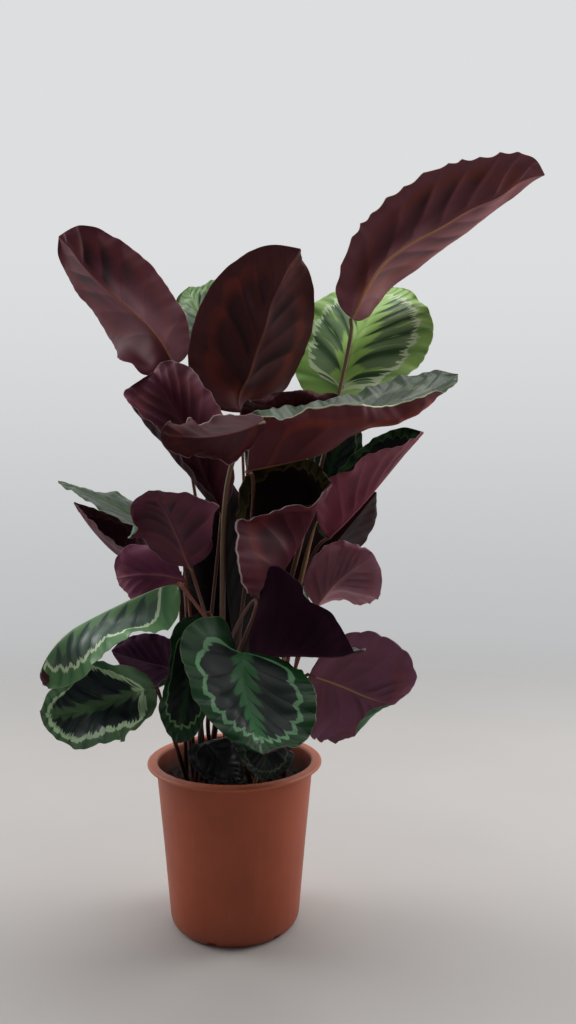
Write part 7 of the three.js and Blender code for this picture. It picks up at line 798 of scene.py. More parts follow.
# colour factors for both sides of these leaves, upper then under: partly their own colour, partly painted light and
# shade
BOTH_SIDES_TINT_AND_PAINTED_LIGHT = {
    "leaf_06": ((0.50, 0.44, 0.42), (2.9, 3.1, 2.6)),
    "leaf_07": ((1.0, 1.0, 1.0), (1.05, 0.55, 0.72)),
    "leaf_09": ((2.2, 1.6, 1.9), (2.4, 3.2, 3.2)),
    "leaf_12": ((12.0, 10.0, 11.0), (1.3, 1.15, 1.3)),
    "leaf_27": ((3.6, 1.0, 1.1), (1.9, 1.25, 1.75)),
}
LOOKS = {
    "leaf_01": ("deep", "plum", 2.8, 1.4, 6, 6, (1.3, 0.25), (PLAIN, ("scallop", 17, 2.4))),
    "leaf_02": ("deep", "wine", 3.2, 1.2, 7, 5, (0.7, 1.3), (PLAIN, PLAIN)),
    "leaf_03": ("deep", "plum", 3.2, 1.4, 8, 8, (0.2, 1.3), (("wavy", 5, 0.3), ("teeth", 14, 5.2))),
    "leaf_04": ("lime", "plum", 1.6, 2.0, 10, 6, (1, 1), (("scallop", 12, 2.2), ("scallop", 12, 2.2))),
    "leaf_05": ("fresh", "plum", 1.6, 2.0, 10, 6, (1, 1), (("scallop", 12, 2.2), ("scallop", 12, 2.2))),
    "leaf_06": ("glare", "violet", 1.6, 3.2, 9, 8, (1, 1), (("teeth", 9, 3.5), PLAIN)),
    "leaf_07": ("glare", "violet", 1.4, 2.6, 7, 5, (1, 1), (("teeth", 6, 2.5), PLAIN)),
    "leaf_08": ("deep", "ruby", 1.8, 2.4, 8, 6, (1, 1), (PLAIN, PLAIN)),
    "leaf_09": ("shade", "ruby", 3.0, 2.0, 8, 6, (1.2, 1.2), (PLAIN, PLAIN)),
    "leaf_10": ("deep", "ruby", 4.2, 1.6, 6, 5, (1.1, 1.2), (PLAIN, PLAIN)),
    "leaf_11": ("fresh", "violet", 1.2, 1.6, 9, 6, (1, 1), (PLAIN, PLAIN)),
    "leaf_12": ("shade", "ruby", 1.4, 1.6, 9, 6, (1, 1), (PLAIN, PLAIN)),
    "leaf_13": ("deep", "ruby", 1.8, 1.4, 7, 5, (1, 1), (PLAIN, PLAIN)),
    "leaf_14": ("silver", "violet", 1.8, 2.2, 9, 6, (1, 1), (PLAIN, PLAIN)),
    "leaf_15": ("slate", "violet", 1.8, 2.0, 9, 6, (1, 1), (PLAIN, PLAIN)),
    "leaf_16": ("ink", "night", 1.6, 1.6, 8, 5, (1, 1), (PLAIN, PLAIN)),
    "leaf_17": ("ink", "night", 1.8, 1.6, 8, 5, (1, 1), (PLAIN, PLAIN)),
    "leaf_18": ("medallion", "violet", 1.4, 1.8, 9, 7, (1, 1), (("scallop", 9, 2.0), ("scallop", 9, 1.2))),
    "leaf_19": ("ink", "night", 1.2, 1.4, 8, 5, (1, 1), (PLAIN, PLAIN)),
    "leaf_20": ("ink", "night", 1.2, 1.4, 8, 5, (1, 1), (PLAIN, PLAIN)),
    "leaf_21": ("deep", "plum", 2.2, 2.4, 8, 6, (1, 1), (("scallop", 6, 5.0), ("scallop", 6, 5.0))),
    "leaf_22": ("ink", "night", 2.0, 1.8, 7, 5, (1, 1), (PLAIN, PLAIN)),
    "leaf_23": ("ink", "rose", 2.0, 1.8, 8, 5, (1, 1), (PLAIN, PLAIN)),
    "leaf_24": ("black", "ruby", 1.8, 2.0, 9, 6, (1, 1), (PLAIN, PLAIN)),
    "leaf_25": ("ink", "violet", 1.4, 1.4, 8, 5, (1, 1), (PLAIN, PLAIN)),
    "leaf_26": ("deep", "violet", 1.4, 1.4, 8, 5, (1, 1), (PLAIN, PLAIN)),
    "leaf_27": ("black", "violet", 1.8, 2.8, 8, 6, (1, 1), (("teeth", 7, 2.5), ("teeth", 7, 2.5))),
    "leaf_28": ("ink", "night", 1.4, 1.4, 9, 6, (1, 1), (PLAIN, PLAIN)),
}


# ------------------------------------------------------------------ leaf blades
def blade_columns(n):
    side = np.concatenate([[0.010, 0.022, 0.038, 0.060], np.linspace(0.09, 0.965, n), [0.986, 1.0]])
    return np.concatenate([-side[::-1], [0.0], side])


def margin_shape(kind, count, u, local):
    """How far a margin reaches outwards along u, about 0 to 1."""
    k = local.uniform(0, 2 * np.pi, 3)
    x = count * (u + 0.018 * np.sin(2 * np.pi * 2.3 * u + k[0]) + 0.010 * np.sin(2 * np.pi * 5.1 * u + k[1])) + k[2]
    f = x - np.floor(x)
    size = 0.55 + 0.45 * np.sin(1.7 * np.floor(x) + k[0]) ** 2
    if kind == "teeth":
        return size * (1 - np.abs(2 * f - 1)) ** 1.7
    if kind == "scallop":
        return size * np.sqrt(np.sin(np.pi * f))
    return 0.5 + 0.3 * np.sin(2 * np.pi * x) + 0.2 * np.sin(2 * np.pi * 1.7 * x + k[1])


def folds(phase, local, lean):
    """Bulges between the side veins, of uneven height and leaning to one side: 0 on the veins."""
    tall = local.uniform(0.5, 1.3, 96)
    cell = np.clip(np.floor(phase).astype(int) + 32, 0, 95)
    f = phase - np.floor(phase)
    f = f if lean > 0 else 1 - f
    return tall[cell] * f**0.65 * (1 - f) ** 1.25 * 2.1


def build_blade(name, index, text):
    upper, under, pleat, wave, veins, waves, fold_sides, margins = LOOKS[name]
    # the colour factors carry painted light and shade as well as colour
    tint_with_painted_light = TINT_AND_PAINTED_LIGHT.get(name, WHITE)
    up_tint_with_painted_light, low_tint_with_painted_light = (WHITE, tint_with_painted_light) if name in UNDERSIDE_FORWARD else (tint_with_painted_light, WHITE)
    up_tint_with_painted_light, low_tint_with_painted_light = BOTH_SIDES_TINT_AND_PAINTED_LIGHT.get(name, (up_tint_with_painted_light, low_tint_with_painted_light))
    net = np.array([float(x) for x in text.split()]).reshape(11, 7, 3)
    length = np.linalg.norm(np.diff(net[:, 3], axis=0), axis=1).sum()
    half = np.linalg.norm(np.diff(net, axis=1), axis=2).sum(1).max() / 2
    rows = int(np.clip(length / 2.2, 60, 136))
    tv = blade_columns(int(np.clip(length / 9, 17, 25)))
    s = np.linspace(0, 1, rows)
    tu = 0.5 - 0.5 * np.cos(np.pi * s)
    tu = 0.5 * tu + 0.5 * s
    p = np.einsum("ai,bj,ijk->abk", spline(U, tu), spline(V, tv), net)
    # a rounded base: the first rows widen like a quarter circle
    mid0 = np.einsum("ai,ik->ak", spline(U, tu), net[:, 3])
    at4 = np.einsum("bj,jk->bk", spline(V, tv), net[1]) - net[1, 3]
    for i in np.where(tu < 0.04)[0]:
        f = tu[i] / 0.04
        p[i] = mid0[i] + at4 * math.sqrt(max(0.0, 1 - (1 - f) ** 2)) * (0.35 + 0.65 * f) ** 0.35
    p[0] = net[0, 3]
    # even out the joints of the net
    for _ in range(3):
        q = p.copy()
        q[1:-1] = 0.25 * p[:-2] + 0.5 * p[1:-1] + 0.25 * p[2:]
        q[:2], q[-2:] = p[:2], p[-2:]
        p = q
        q = p.copy()
        q[:, 1:-1] = 0.25 * p[:, :-2] + 0.5 * p[:, 1:-1] + 0.25 * p[:, 2:]
        p = 0.5 * p + 0.5 * q
    uu, vv = np.meshgrid(tu, tv, indexing="ij")
    aa = np.abs(vv)
    shape = width_profile(uu)
    side = np.where(vv < 0, 0.5, 0.0)
    # a side vein leaves the midrib at about 45 degrees and bends towards the tip; the lowest ones fan out
    run = aa * shape * half / length
    lag = run * (1.30 + 0.50 * aa)
    lag = np.where(lag > 1e-6, lag * (1 - np.exp(-0.75 * uu / np.maximum(lag, 1e-6))), 0)
    phase = veins * (uu - lag) + side
    rho = np.sqrt((aa * shape) ** 2 + np.abs(np.where(uu < 0.47, (uu - 0.47) / 0.47, (uu - 0.47) / 0.53)) ** 2.2)
    du, dv = np.gradient(p, axis=0), np.gradient(p, axis=1)
    n = np.cross(dv, du)
    n /= np.linalg.norm(n, axis=2, keepdims=True) + 1e-12
    n[0], n[-1] = n[1], n[-2]
    n[0], n[-1] = n[0].mean(0) / np.linalg.norm(n[0].mean(0)), n[-1].mean(0) / np.linalg.norm(n[-1].mean(0))
    local = np.random.default_rng(100 + index)
    strength = np.where(vv < 0, fold_sides[0], fold_sides[1])
    env = smoothstep(0.0, 0.22, aa) * (1 - 0.6 * smoothstep(0.70, 1, aa)) * smoothstep(0.0, 0.3, shape)
    lean = LEAN.get(name, 1)
    d = pleat * (np.where(vv < 0, folds(phase, local, lean), folds(phase, local, lean)) - 0.5) * env * strength
    # slow swells, different on every leaf
    for _ in range(5):
        k = local.uniform(0.6, 2.4, 2)
        c = local.uniform(0, 2 * np.pi, 2)
        d = d + 0.55 * np.sin(2 * np.pi * k[0] * uu + c[0]) * np.sin(np.pi * k[1] * vv + c[1]) * smoothstep(0.03, 0.5, aa) * smoothstep(0, 0.3, shape)
    ph = local.random(4) * 2 * np.pi
    w = np.sin(2 * np.pi * waves * uu + ph[0] + 2.0 * side) + 0.55 * np.sin(2 * np.pi * waves * 1.73 * uu + ph[1] + side * 5) + 0.35 * np.sin(2 * np.pi * waves * 2.9 * uu + ph[2])
    d = d + wave * 0.6 * np.minimum(strength, 1) * w * aa**3.2 * smoothstep(0.0, 0.4, shape)
    d = d - 0.8 * np.exp(-((aa * shape * 70 / 3.0) ** 2)) * smoothstep(0, 0.1, shape)  # the midrib lies in a shallow groove
    p = p + n * d[..., None]
    # the margins
    mid = p[:, [len(tv) // 2]]
    arm = p - mid
    far = np.linalg.norm(arm[:, [0, -1]], axis=2)
    reach = np.zeros_like(uu)
    for k, (kind, count, deep) in enumerate(margins):
        along = margin_shape(kind, count, tu, local) * deep * smoothstep(0.03, 0.2, tu) * smoothstep(1.0, 0.9, tu)
        scale = along / np.maximum(far[:, 0 if k == 0 else -1], 12)
        reach += np.where((vv < 0) == (k == 0), scale[:, None], 0)
    p = mid + arm * (1 + reach * smoothstep(0.78, 1, aa))[..., None]
    thick = 0.30 * (1 - 0.45 * smoothstep(0.6, 1.0, aa))
    rib_h = (1.5 - 1.15 * uu) * np.exp(-((aa * np.maximum(shape, 0.12) * half / (2.2 - 1.5 * uu)) ** 2)) * smoothstep(0.0, 0.05, shape)
    top = p + n * thick[..., None]
    low = p - n * (thick + rib_h)[..., None]
    R, Cn = p.shape[:2]

    def ids(offset):
        g = np.zeros((R, Cn), int)
        g[0] = offset
        g[1:-1] = offset + 1 + np.arange((R - 2) * Cn).reshape(R - 2, Cn)
        g[-1] = offset + 1 + (R - 2) * Cn
        return g

    flat = lambda x: np.concatenate([x[0, [Cn // 2]], x[1:-1].reshape(-1, x.shape[2]), x[-1, [Cn // 2]]])
    count = 2 + (R - 2) * Cn
    verts = np.concatenate([flat(top), flat(low)]) * MM
    base_uv = np.stack([uu, vv * 0.5 + 0.5], -1)
    vein_uv = np.stack([rho, (phase + 37 * (index + 1)) / 16.0], -1)
    uv1, uv2 = np.tile(flat(base_uv), (2, 1)), np.tile(flat(vein_uv), (2, 1))
    faces, kinds = [], []
    a, b = ids(0), ids(count)
    for i in range(R - 1):
        for j in range(Cn - 1):
            q = (a[i, j], a[i, j + 1], a[i + 1, j + 1], a[i + 1, j])
            r = (b[i, j], b[i + 1, j], b[i + 1, j + 1], b[i, j + 1])
            if i == 0:
                q, r = (q[0], q[2], q[3]), (r[0], r[1], r[2])
            elif i == R - 2:
                q, r = (q[0], q[1], q[2]), (r[0], r[1], r[3])
            faces += [q, r]
            kinds += [0, 1]
    rim = [a[i, Cn - 1] for i in range(R)] + [a[i, 0] for i in range(R - 2, 0, -1)]
    for k, x in enumerate(rim):
        y = rim[(k + 1) % len(rim)]
        faces.append((x, x + count, y + count, y))
        kinds.append(1)
    faces = [tuple(int(i) for i in f) for f in faces]
    o = mesh_object(name + "_leaf", verts, faces, [look("upper", upper, up_tint_with_painted_light), look("under", under, low_tint_with_painted_light, lean=lean, **SEEN_BELOW.get(name, {}))], kinds, {"blade": uv1, "vein": uv2})
    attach(o, "root")
    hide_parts(name + "_blade")
    return p, n, length


# ------------------------------------------------------------------ stalks
def stalk_material(name, low, high, joint, mottle):
    t = Tree(name)
    s, ang = t.uv("run")
    n1 = t.noise(t.vec(t.mul(s, 9.0), t.mul(ang, 3.0)), 1.0, 4.0, 0.6)
    n2 = t.noise(t.vec(t.mul(s, 60.0), t.mul(ang, 26.0), 2.0), 1.0, 2.0, 0.5)
    lines = t.noise(t.vec(t.mul(s, 3.0), t.mul(ang, 60.0), 4.0), 1.0, 2.0, 0.5)
    col = t.mix(t.step(0.05, 0.75, t.add(s, t.mul(t.sub(n1, 0.5), 0.4))), low, high)
    col = t.mix(t.mul(t.step(0.48, 0.70, n1), 0.6), col, mottle)
    col = t.mix(t.step(0.93, 0.965, t.add(s, t.mul(t.sub(n1, 0.5), 0.03))), col, joint)
    col = t.mix(t.mul(t.step(0.62, 0.75, n2), 0.4), col, mottle)
    return t.finish(col, t.add(0.42, t.mul(t.sub(n1, 0.5), 0.2)), t.bump(t.add(lines, t.mul(n2, 0.4)), 0.25, 0.0004), Specular_IOR_Level=0.45)


STALK_LOOKS = [
    stalk_material("stalk_olive", srgb(60, 27, 32), srgb(112, 68, 50), srgb(138, 92, 66), srgb(76, 36, 38)),
    stalk_material("stalk_red", srgb(76, 30, 38), srgb(132, 72, 58), srgb(150, 92, 72), srgb(90, 38, 44)),
    stalk_material("stalk_brown", srgb(48, 23, 27), srgb(92, 52, 42), srgb(118, 76, 56), srgb(62, 30, 31)),
]
MAIN_STALK = stalk_material("stalk_main", srgb(74, 32, 38), srgb(120, 92, 66), srgb(140, 112, 78), srgb(84, 50, 40))
STALK_SCALE = {"leaf_07": 1.38, "leaf_03": 1.25}


def tube(name, path, radii, sides, mats, tip=False):
    """path (n, 3) and radii (n,) in millimetres."""
    n = len(path)
    d = np.gradient(path, axis=0)
    d /= np.linalg.norm(d, axis=1, keepdims=True)
    side = np.array([1.0, 0, 0])
    verts, uv = [], []
    arc = np.concatenate([[0], np.cumsum(np.linalg.norm(np.diff(path, axis=0), axis=1))])
    arc /= arc[-1]
    ang = np.linspace(0, 2 * np.pi, sides, endpoint=False)
    for i in range(n):
        side = side - d[i] * side.dot(d[i])
        side /= np.linalg.norm(side)
        up = np.cross(d[i], side)
        verts.append(path[i] + radii[i] * (np.cos(ang)[:, None] * side + np.sin(ang)[:, None] * up))
        uv.append(np.stack([np.full(sides, arc[i]), 0.5 + 0.5 * np.cos(ang)], 1))
    verts, uv = np.concatenate(verts), np.concatenate(uv)
    faces = []
    for i in range(n - 1):
        for k in range(sides):
            l = (k + 1) % sides
            faces.append((i * sides + k, i * sides + l, (i + 1) * sides + l, (i + 1) * sides + k))
    faces.append(tuple(range(sides))[::-1])
    faces.append(tuple(range((n - 1) * sides, n * sides)))
    return mesh_object(name, verts * MM, faces, mats, None, {"run": uv})


def bezier(points, n):
    p = np.array(points, float)
    t = np.linspace(0, 1, 400)[:, None]
    c = (1 - t) ** 3 * p[0] + 3 * t * (1 - t) ** 2 * p[1] + 3 * t**2 * (1 - t) * p[2] + t**3 * p[3]
    arc = np.concatenate([[0], np.cumsum(np.linalg.norm(np.diff(c, axis=0), axis=1))])
    s = np.linspace(0, arc[-1], n)
    return np.stack([np.interp(s, arc, c[:, k]) for k in range(3)], 1)


def build_stalk(name, index, points, p, n):
    path = bezier(points, 54)
    path[0, 2] -= 3.0  # into the soil
    t = np.linspace(0, 1, len(path))
    radii = STALK_SCALE.get(name, 1) * np.interp(t, [0, 0.10, 0.9, 0.93, 1.0], [3.5, 3.1, 2.15, 2.5, 2.35])
    # on along the underside of the midrib
    c = p.shape[1] // 2
    rib = p[1:9, c] - n[1:9, c] * np.linspace(1.2, 0.8, 8)[:, None]
    path = np.concatenate([path, rib])
    radii = np.concatenate([radii, np.linspace(1.9, 0.75, 8)])
    o = tube(name + "_petiole", path, radii, 12, [MAIN_STALK if name in STALK_SCALE else STALK_LOOKS[index % 3]])
    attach(o, "root")
    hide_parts(name + "_stalk")


for index, (name, text) in enumerate(BLADES.items()):
    p, n, length = build_blade(name, index, text)
    build_stalk(name, index, STALKS[name], p, n)


# ------------------------------------------------------------------ furled young leaves
def furled_material(name, base, deep, seam):
    t = Tree(name)
    s, ang = t.uv("run")
    n1 = t.noise(t.vec(t.mul(s, 12.0), t.mul(ang, 4.0)), 1.0, 4.0, 0.6)
    lines = t.tri(t.add(t.mul(s, 16.0), t.mul(ang, 5.0)))
    col = t.mix(t.step(0.3, 0.7, n1), base, deep)
    col = t.mix(t.mul(t.step(0.8, 1.0, lines), 0.5), col, seam)
    return t.finish(col, 0.45, t.bump(t.add(lines, n1), 0.3, 0.0006), Specular_IOR_Level=0.45)


FURLED_LOOKS = {
    "furled_leaf_tan": furled_material("furled_tan", srgb(168, 128, 92), srgb(132, 92, 62), srgb(196, 168, 124)),
    "furled_leaf_purple": furled_material("furled_purple", srgb(84, 44, 50), srgb(60, 30, 36), srgb(112, 70, 60)),
}
for name, f in FURLED.items():
    path = bezier(f["path"], 90)
    path[0, 2] -= 3.0
    t = np.linspace(0, 1, 90)
    prof = np.array(f["radius"])
    radii = np.interp(t, prof[:, 0], prof[:, 1])
    o = tube(name + "_spindle", path, radii, 28, [FURLED_LOOKS[name]])
    # the rolled edge: a spiral step that runs up the spindle
    me = o.data
    co = np.zeros(len(me.vertices) * 3)
    me.vertices.foreach_get("co", co)
    co = co.reshape(90, 28, 3)
    ang = np.linspace(0, 2 * np.pi, 28, endpoint=False)
    for i in range(90):
        c = path[i] * MM
        turn = ((ang + 2 * np.pi * 1.2 * t[i]) / (2 * np.pi)) % 1.0
        k = 1 - 0.13 * turn * smoothstep(0.3, 0.55, t[i])
        co[i] = c + (co[i] - c) * k[:, None]
    me.vertices.foreach_set("co", co.ravel())
    me.update()
    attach(o, "root")
    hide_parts(name)


# ------------------------------------------------------------------ pot
def lathe(profile, segments):
    verts, faces, first = [], [], []
    for r, z in profile:
        first.append(len(verts))
        if r == 0:
            verts.append((0, 0, z))
        else:
            for k in range(segments):
                a = 2 * math.pi * k / segments
                verts.append((r * math.cos(a), r * math.sin(a), z))
    for i in range(len(profile) - 1):
        for k in range(segments):
            l = (k + 1) % segments
            A = first[i] + (0 if profile[i][0] == 0 else k)
            B = first[i] + (0 if profile[i][0] == 0 else l)
            Cc = first[i + 1] + (0 if profile[i + 1][0] == 0 else l)
            D = first[i + 1] + (0 if profile[i + 1][0] == 0 else k)
            f = [A]
            for x in (B, Cc, D):
                if x != f[-1] and x != f[0]:
                    f.append(x)
            faces.append(tuple(f))
    return np.array(verts), faces


def rounded(profile, radius, steps=5):
    """Rounds the corners of an open profile that starts and ends on the axis."""
    out = [profile[0]]
    for i in range(1, len(profile) - 1):
        p0, p1, p2 = (np.array(profile[k], float) for k in (i - 1, i, i + 1))
        a, b = p0 - p1, p2 - p1
        la, lb = np.linalg.norm(a), np.linalg.norm(b)
        r = min(radius, 0.45 * la, 0.45 * lb)
        a, b = p1 + a / la * r, p1 + b / lb * r
        for s in np.linspace(0, 1, steps):
            q = (1 - s) ** 2 * a + 2 * s * (1 - s) * p1 + s * s * b
            out.append((float(q[0]), float(q[1])))
    out.append(profile[-1])
    return out


POT_PROFILE = [(0, 0), (76, 0), (82, 1.4), (85.5, 5), (88.3, 10), (89.5, 18), (97.7, 113.5), (107.5, 217), (109.5, 221), (118, 221), (120, 222.6), (120, 224.6), (117.8, 226.6), (115, 227), (107.7, 227), (105.2, 224.5), (105.2, 215), (95.4, 113.5), (87.2, 18), (84.8, 9), (79, 3.6), (74, 3), (0, 3)]


def pot_material():
    t = Tree("pot_terracotta_plastic")
    obj = t.coord("Object")
    sep = t.nt.nodes.new("ShaderNodeSeparateXYZ")
    t.nt.links.new(obj, sep.inputs[0])
    z = sep.outputs[2]
    cloud = t.noise(obj, 9.0, 4.0, 0.55)
    grain = t.noise(obj, 900.0, 2.0, 0.5)
    stretch = t.nt.nodes.new("ShaderNodeMapping")
    stretch.inputs["Scale"].default_value = (1.0, 1.0, 0.05)
    t.nt.links.new(obj, stretch.inputs[0])
    drips = t.noise(stretch.outputs[0], 60.0, 4.0, 0.6)
    scuffs = t.noise(stretch.outputs[0], 170.0, 3.0, 0.7, 0.6)
    col = t.mix(t.step(0.3, 0.7, cloud), srgb(170, 80, 48), srgb(154, 70, 42))
    col = t.mix(t.mul(t.step(0.5, 0.72, drips), 0.16), col, srgb(184, 102, 70))
    col = t.mix(t.mul(t.step(0.62, 0.74, scuffs), 0.16), col, srgb(186, 116, 88))
    low = t.step(0.05, 0.0, t.add(z, t.mul(t.sub(cloud, 0.5), 0.04)))
    col = t.mix(t.mul(low, 0.30), col, srgb(96, 58, 44))
    # painted highlight: the top of the lip lighter, where the light falls on it
    top = t.step(0.219, 0.2225, z)
    col = t.mix(t.mul(top, 0.25), col, srgb(206, 128, 94))
    # the inner wall above the soil darker, more so lower down: partly soil residue, partly painted shade
    radius = t.m("SQRT", t.add(t.mul(sep.outputs[0], sep.outputs[0]), t.mul(sep.outputs[1], sep.outputs[1])))
    inner_wall_soil_and_shade = t.mul(t.step(-0.0002, -0.0008, t.sub(radius, t.add(0.0858, t.mul(z, 0.0947)))), t.step(0.186, 0.196, z))
    col = t.mix(t.mul(inner_wall_soil_and_shade, t.add(0.45, t.mul(t.step(0.224, 0.204, z), 0.45))), col, srgb(44, 20, 15))
    height = t.add(t.mul(grain, 0.5), t.add(t.mul(drips, 0.5), t.mul(scuffs, 0.3)))
    rough = t.add(0.5, t.mul(t.sub(drips, 0.5), 0.35))
    return t.finish(col, rough, t.bump(height, 0.22, 0.0005), Specular_IOR_Level=0.4)


verts, faces = lathe(rounded(POT_PROFILE, 2.5), 144)
pot = mesh_object("pot_shell", verts * MM, faces, [pot_material()])
for i in range(6):
    a = 0.22 + 2 * math.pi * i / 6
    bpy.ops.mesh.primitive_cylinder_add(vertices=32, radius=6 * MM, depth=14 * MM, location=(86 * MM * math.cos(a), 86 * MM * math.sin(a), 1 * MM))
    cutter = bpy.context.object
    mod = pot.modifiers.new("drain", "BOOLEAN")
    mod.operation = "DIFFERENCE"
    mod.object = cutter
    mod.solver = "EXACT"
    bpy.context.view_layer.objects.active = pot
    with bpy.context.temp_override(object=pot, active_object=pot):
        bpy.ops.object.modifier_apply(modifier="drain")
    bpy.data.objects.remove(cutter)
pot.data.polygons.foreach_set("use_smooth", np.full(len(pot.data.polygons), True))
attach(pot, "root")
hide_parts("pot")


# ------------------------------------------------------------------ soil
def soil_material():
    t = Tree("soil_peat")
    obj = t.coord("Object")
    big = t.noise(obj, 45.0, 5.0, 0.65)
    small = t.noise(obj, 330.0, 4.0, 0.7)
    bits = t.voronoi(obj, 160.0)
    fibre = t.noise(obj, 120.0, 4.0, 0.6, 2.5)
    col = t.mix(t.step(0.3, 0.7, big), srgb(30, 21, 18), srgb(52, 37, 29))
    col = t.mix(t.mul(t.step(0.18, 0.06, bits), t.step(0.5, 0.65, big)), col, srgb(118, 74, 44))
    col = t.mix(t.mul(t.step(0.60, 0.66, fibre), 0.5), col, srgb(92, 62, 42))
    height = t.add(t.mul(big, 1.0), t.add(t.mul(small, 0.8), t.mul(bits, 0.6)))
    return t.finish(col, 0.93, t.bump(height, 0.7, 0.0018), Specular_IOR_Level=0.25)


SOIL = soil_material()
EXTRA = []
wave_dirs = [(rng.uniform(0, 2 * np.pi), rng.uniform(60, 420), rng.uniform(0, 6.28)) for _ in range(22)]


def soil_height(x, y):
    h = 0
    for a, k, ph in wave_dirs:
        h = h + np.sin(k * (x * np.cos(a) + y * np.sin(a)) + ph) * (0.16 / (k / 60) ** 0.75)
    return h


rings, seg = 60, 150
R_TOP = 0.1018
v_list, f_list = [(0, 0, 0)], []
for i in range(1, rings + 1):
    for k in range(seg):
        a = 2 * math.pi * (k + 0.5 * (i % 2)) / seg
        r = R_TOP * i / rings
        v_list.append((r * math.cos(a), r * math.sin(a), 0))
v = np.array(v_list, float)
h = soil_height(v[:, 0], v[:, 1]) * 0.0021 + rng.normal(0, 0.00035, len(v))
r = np.hypot(v[:, 0], v[:, 1])
v[:, 2] = 0.1986 + np.clip(h, -0.003, 0.003) - 0.002 * smoothstep(0.085, R_TOP, r)
for k in range(seg):
    f_list.append((0, 1 + k, 1 + (k + 1) % seg))
for i in range(rings - 1):
    for k in range(seg):
        a, b = 1 + i * seg + k, 1 + i * seg + (k + 1) % seg
        f_list.append((a, a + seg, b + seg, b))
base = len(v)
side = []
for z, rr_ in ((0.15, 0.0985), (0.0835, 0.0925), (0.02, 0.0864), (0.0108, 0.0815)):
    for k in range(seg):
        a = 2 * math.pi * (k + 0.5 * (rings % 2)) / seg
        side.append((rr_ * math.cos(a), rr_ * math.sin(a), z))
side.append((0, 0, 0.0084))
v = np.concatenate([v, np.array(side)])
prev = 1 + (rings - 1) * seg
for level in range(4):
    cur = base + level * seg
    for k in range(seg):
        l = (k + 1) % seg
        f_list.append((prev + k, cur + k, cur + l, prev + l))
    prev = cur
for k in range(seg):
    f_list.append((prev + k, len(v) - 1, prev + (k + 1) % seg))
# crumbs, bark chips and fibres lying on the peat
crumbs = []
ico_v = np.array([(0, 0, 1), (0.894, 0, 0.447), (0.276, 0.851, 0.447), (-0.724, 0.526, 0.447), (-0.724, -0.526, 0.447), (0.276, -0.851, 0.447), (0.724, 0.526, -0.447), (-0.276, 0.851, -0.447), (-0.894, 0, -0.447), (-0.276, -0.851, -0.447), (0.724, -0.526, -0.447), (0, 0, -1)])
ico_f = [(0, 1, 2), (0, 2, 3), (0, 3, 4), (0, 4, 5), (0, 5, 1), (1, 6, 2), (2, 6, 7), (2, 7, 3), (3, 7, 8), (3, 8, 4), (4, 8, 9), (4, 9, 5), (5, 9, 10), (5, 10, 1), (1, 10, 6), (11, 7, 6), (11, 8, 7), (11, 9, 8), (11, 10, 9), (11, 6, 10)]
feet = np.array([[s[0][0], s[0][1]] for s in STALKS.values()] + [[f["path"][0][0], f["path"][0][1]] for f in FURLED.values()]) * MM
vs, fs = [v], list(f_list)
count = len(v)
chip_v, chip_f, chip_n = [], [], 0
made = 0
while made < 620:
    a, q = rng.uniform(0, 2 * np.pi), 0.098 * math.sqrt(rng.uniform(0, 1))
    x, y = q * math.cos(a), q * math.sin(a)
    size = rng.choice([0.0009, 0.0014, 0.0022, 0.0034], p=[0.4, 0.35, 0.18, 0.07])
    chip = made % 14 == 0
    if np.min(np.hypot(feet[:, 0] - x, feet[:, 1] - y)) < 0.0036 + size:
        continue
    if q + 2 * size > 0.1:
        continue
    c = ico_v * (1 + rng.uniform(-0.25, 0.25, (12, 1))) * size
    c = c * (np.array([1.9, 0.9, 0.45]) if chip else np.array([1.0, rng.uniform(0.6, 1), rng.uniform(0.5, 0.9)]))
    th = rng.uniform(0, 2 * np.pi)
    rot = np.array([[math.cos(th), -math.sin(th), 0], [math.sin(th), math.cos(th), 0], [0, 0, 1]])
    z = 0.1986 + float(np.clip(soil_height(x, y) * 0.0021, -0.003, 0.003)) - 0.002 * float(smoothstep(0.085, R_TOP, q))
    c = c @ rot.T + np.array([x, y, z + size * 0.15])
    if chip:
        chip_v.append(c)
        chip_f += [tuple(i + chip_n for i in f) for f in ico_f]
        chip_n += 12
    else:
        vs.append(c)
        fs += [tuple(i + count for i in f) for f in ico_f]
        count += 12
    made += 1
soil = mesh_object("soil_bed", np.concatenate(vs), fs, [SOIL])
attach(soil, "root")
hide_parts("soil")


def bark_material():
    t = Tree("soil_bark")
    obj = t.coord("Object")
    n1 = t.noise(obj, 300.0, 4.0, 0.6)
    col = t.mix(t.step(0.3, 0.7, n1), srgb(150, 92, 52), srgb(92, 56, 34))
    return t.finish(col, 0.85, t.bump(n1, 0.5, 0.0008))


bark = mesh_object("soil_bark_chips", np.concatenate(chip_v), chip_f, [bark_material()])
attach(bark, "root")


# ------------------------------------------------------------------ stage, light, camera
FLOOR_FADE = (0.55, 2.4)  # metres from the object
FRONT_LEVEL = 0.16
LIGHTS = [
    ("left", (-1.9, 0.5, 1.3), (0, 0, 0.55), 1.3, 16, (1.0, 0.99, 0.98)),
    ("right", (1.9, 0.6, 1.2), (0, 0, 0.45), 1.3, 20, (1.0, 0.985, 0.96)),
    ("top", (0.1, 0.2, 2.6), (0, 0, 0.4), 1.6, 16),
]


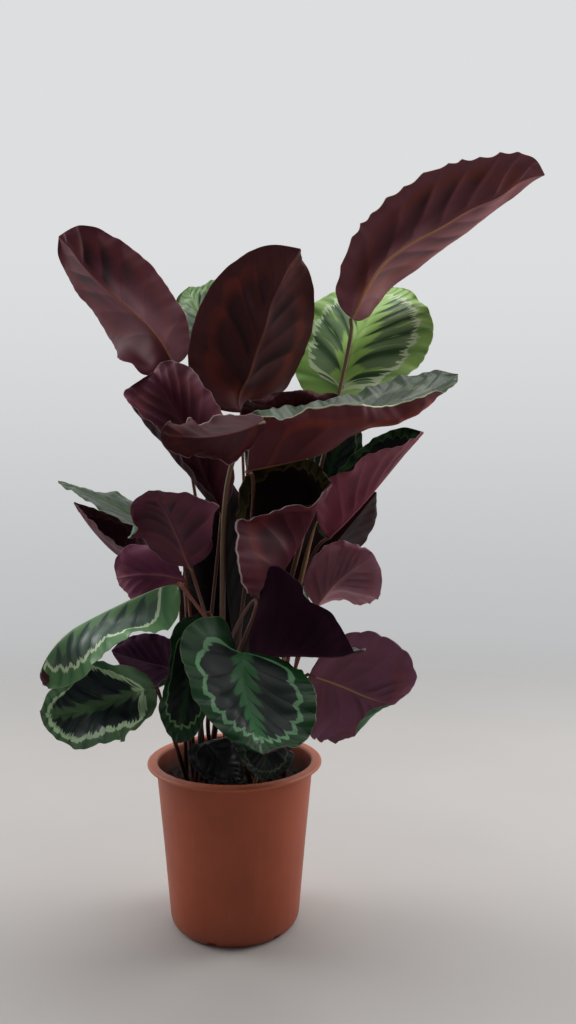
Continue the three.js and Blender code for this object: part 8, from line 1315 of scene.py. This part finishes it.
def floor_material():
    """Pale floor that thins out far from the object, so that no horizon shows."""
    t = Tree("floor_pale")
    obj = t.coord("Object")
    n1 = t.noise(obj, 3.0, 3.0, 0.5)
    col = t.mix(n1, srgb(198, 194, 191), srgb(189, 185, 182))
    t.finish(col, 0.75, t.bump(t.noise(obj, 250.0, 2.0, 0.5), 0.05, 0.0005), Specular_IOR_Level=0.2)
    length = t.nt.nodes.new("ShaderNodeVectorMath")
    length.operation = "LENGTH"
    t.nt.links.new(obj, length.inputs[0])
    clear = t.nt.nodes.new("ShaderNodeBsdfTransparent")
    mix = t.nt.nodes.new("ShaderNodeMixShader")
    t.nt.links.new(t.step(FLOOR_FADE[0], FLOOR_FADE[1], length.outputs["Value"]), mix.inputs[0])
    t.nt.links.new(t.bsdf.outputs[0], mix.inputs[1])
    t.nt.links.new(clear.outputs[0], mix.inputs[2])
    t.nt.links.new(mix.outputs[0], t.out.inputs[0])
    return t.mat


bpy.ops.mesh.primitive_circle_add(vertices=128, radius=5.2, fill_type="NGON", location=(0, 0, -0.0002))
floor = bpy.context.object
floor.name = "floor"
floor.data.materials.append(floor_material())
floor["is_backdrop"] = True

# soft studio light: bright behind, beside and above the plant, dim on the camera's side
world = bpy.data.worlds.new("studio")
bpy.context.scene.world = world
world.use_nodes = True
wt = world.node_tree
bg = wt.nodes["Background"]
direction = wt.nodes.new("ShaderNodeTexCoord")
split = wt.nodes.new("ShaderNodeSeparateXYZ")
wt.links.new(direction.outputs["Generated"], split.inputs[0])


def world_range(socket, lo, hi, out_lo, out_hi):
    n = wt.nodes.new("ShaderNodeMapRange")
    n.interpolation_type = "SMOOTHSTEP"
    wt.links.new(socket, n.inputs["Value"])
    for key, value in (("From Min", lo), ("From Max", hi), ("To Min", out_lo), ("To Max", out_hi)):
        n.inputs[key].default_value = value
    return n.outputs["Result"]


front = world_range(split.outputs[1], -0.75, 0.25, FRONT_LEVEL, 1.0)
height = world_range(split.outputs[2], -0.28, 0.26, 0.80, 1.16)
level = wt.nodes.new("ShaderNodeMath")
level.operation = "MULTIPLY"
wt.links.new(front, level.inputs[0])
wt.links.new(height, level.inputs[1])
wt.links.new(level.outputs[0], bg.inputs[1])
bg.inputs[0].default_value = (*srgb(207, 208, 209), 1)


def area(name, loc, target, size, power, color=(1, 1, 1)):
    data = bpy.data.lights.new(name, "AREA")
    data.shape = "DISK"
    data.size = size
    data.energy = power
    data.color = color
    o = bpy.data.objects.new(name, data)
    o.location = loc
    o.rotation_euler = (Vector(target) - Vector(loc)).to_track_quat("-Z", "Y").to_euler()
    bpy.context.scene.collection.objects.link(o)


for light in LIGHTS:
    area(*light)

cam_data = bpy.data.cameras.new("camera")
cam_data.lens = 36.0 * 900 / 1024
cam_data.sensor_width = 36.0
cam_data.clip_end = 60
cam = bpy.data.objects.new("camera", cam_data)
cam.location = (0.0736, -1.23, 0.628)
cam.rotation_euler = (math.radians(90 - 2.8), 0, 0)
bpy.context.scene.collection.objects.link(cam)
bpy.context.scene.camera = cam
bpy.context.scene.view_settings.view_transform = "Standard"

size = {"cad": [list(map(float, c)) for c in CAD_BOX], "visual": [list(map(float, c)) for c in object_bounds()]}
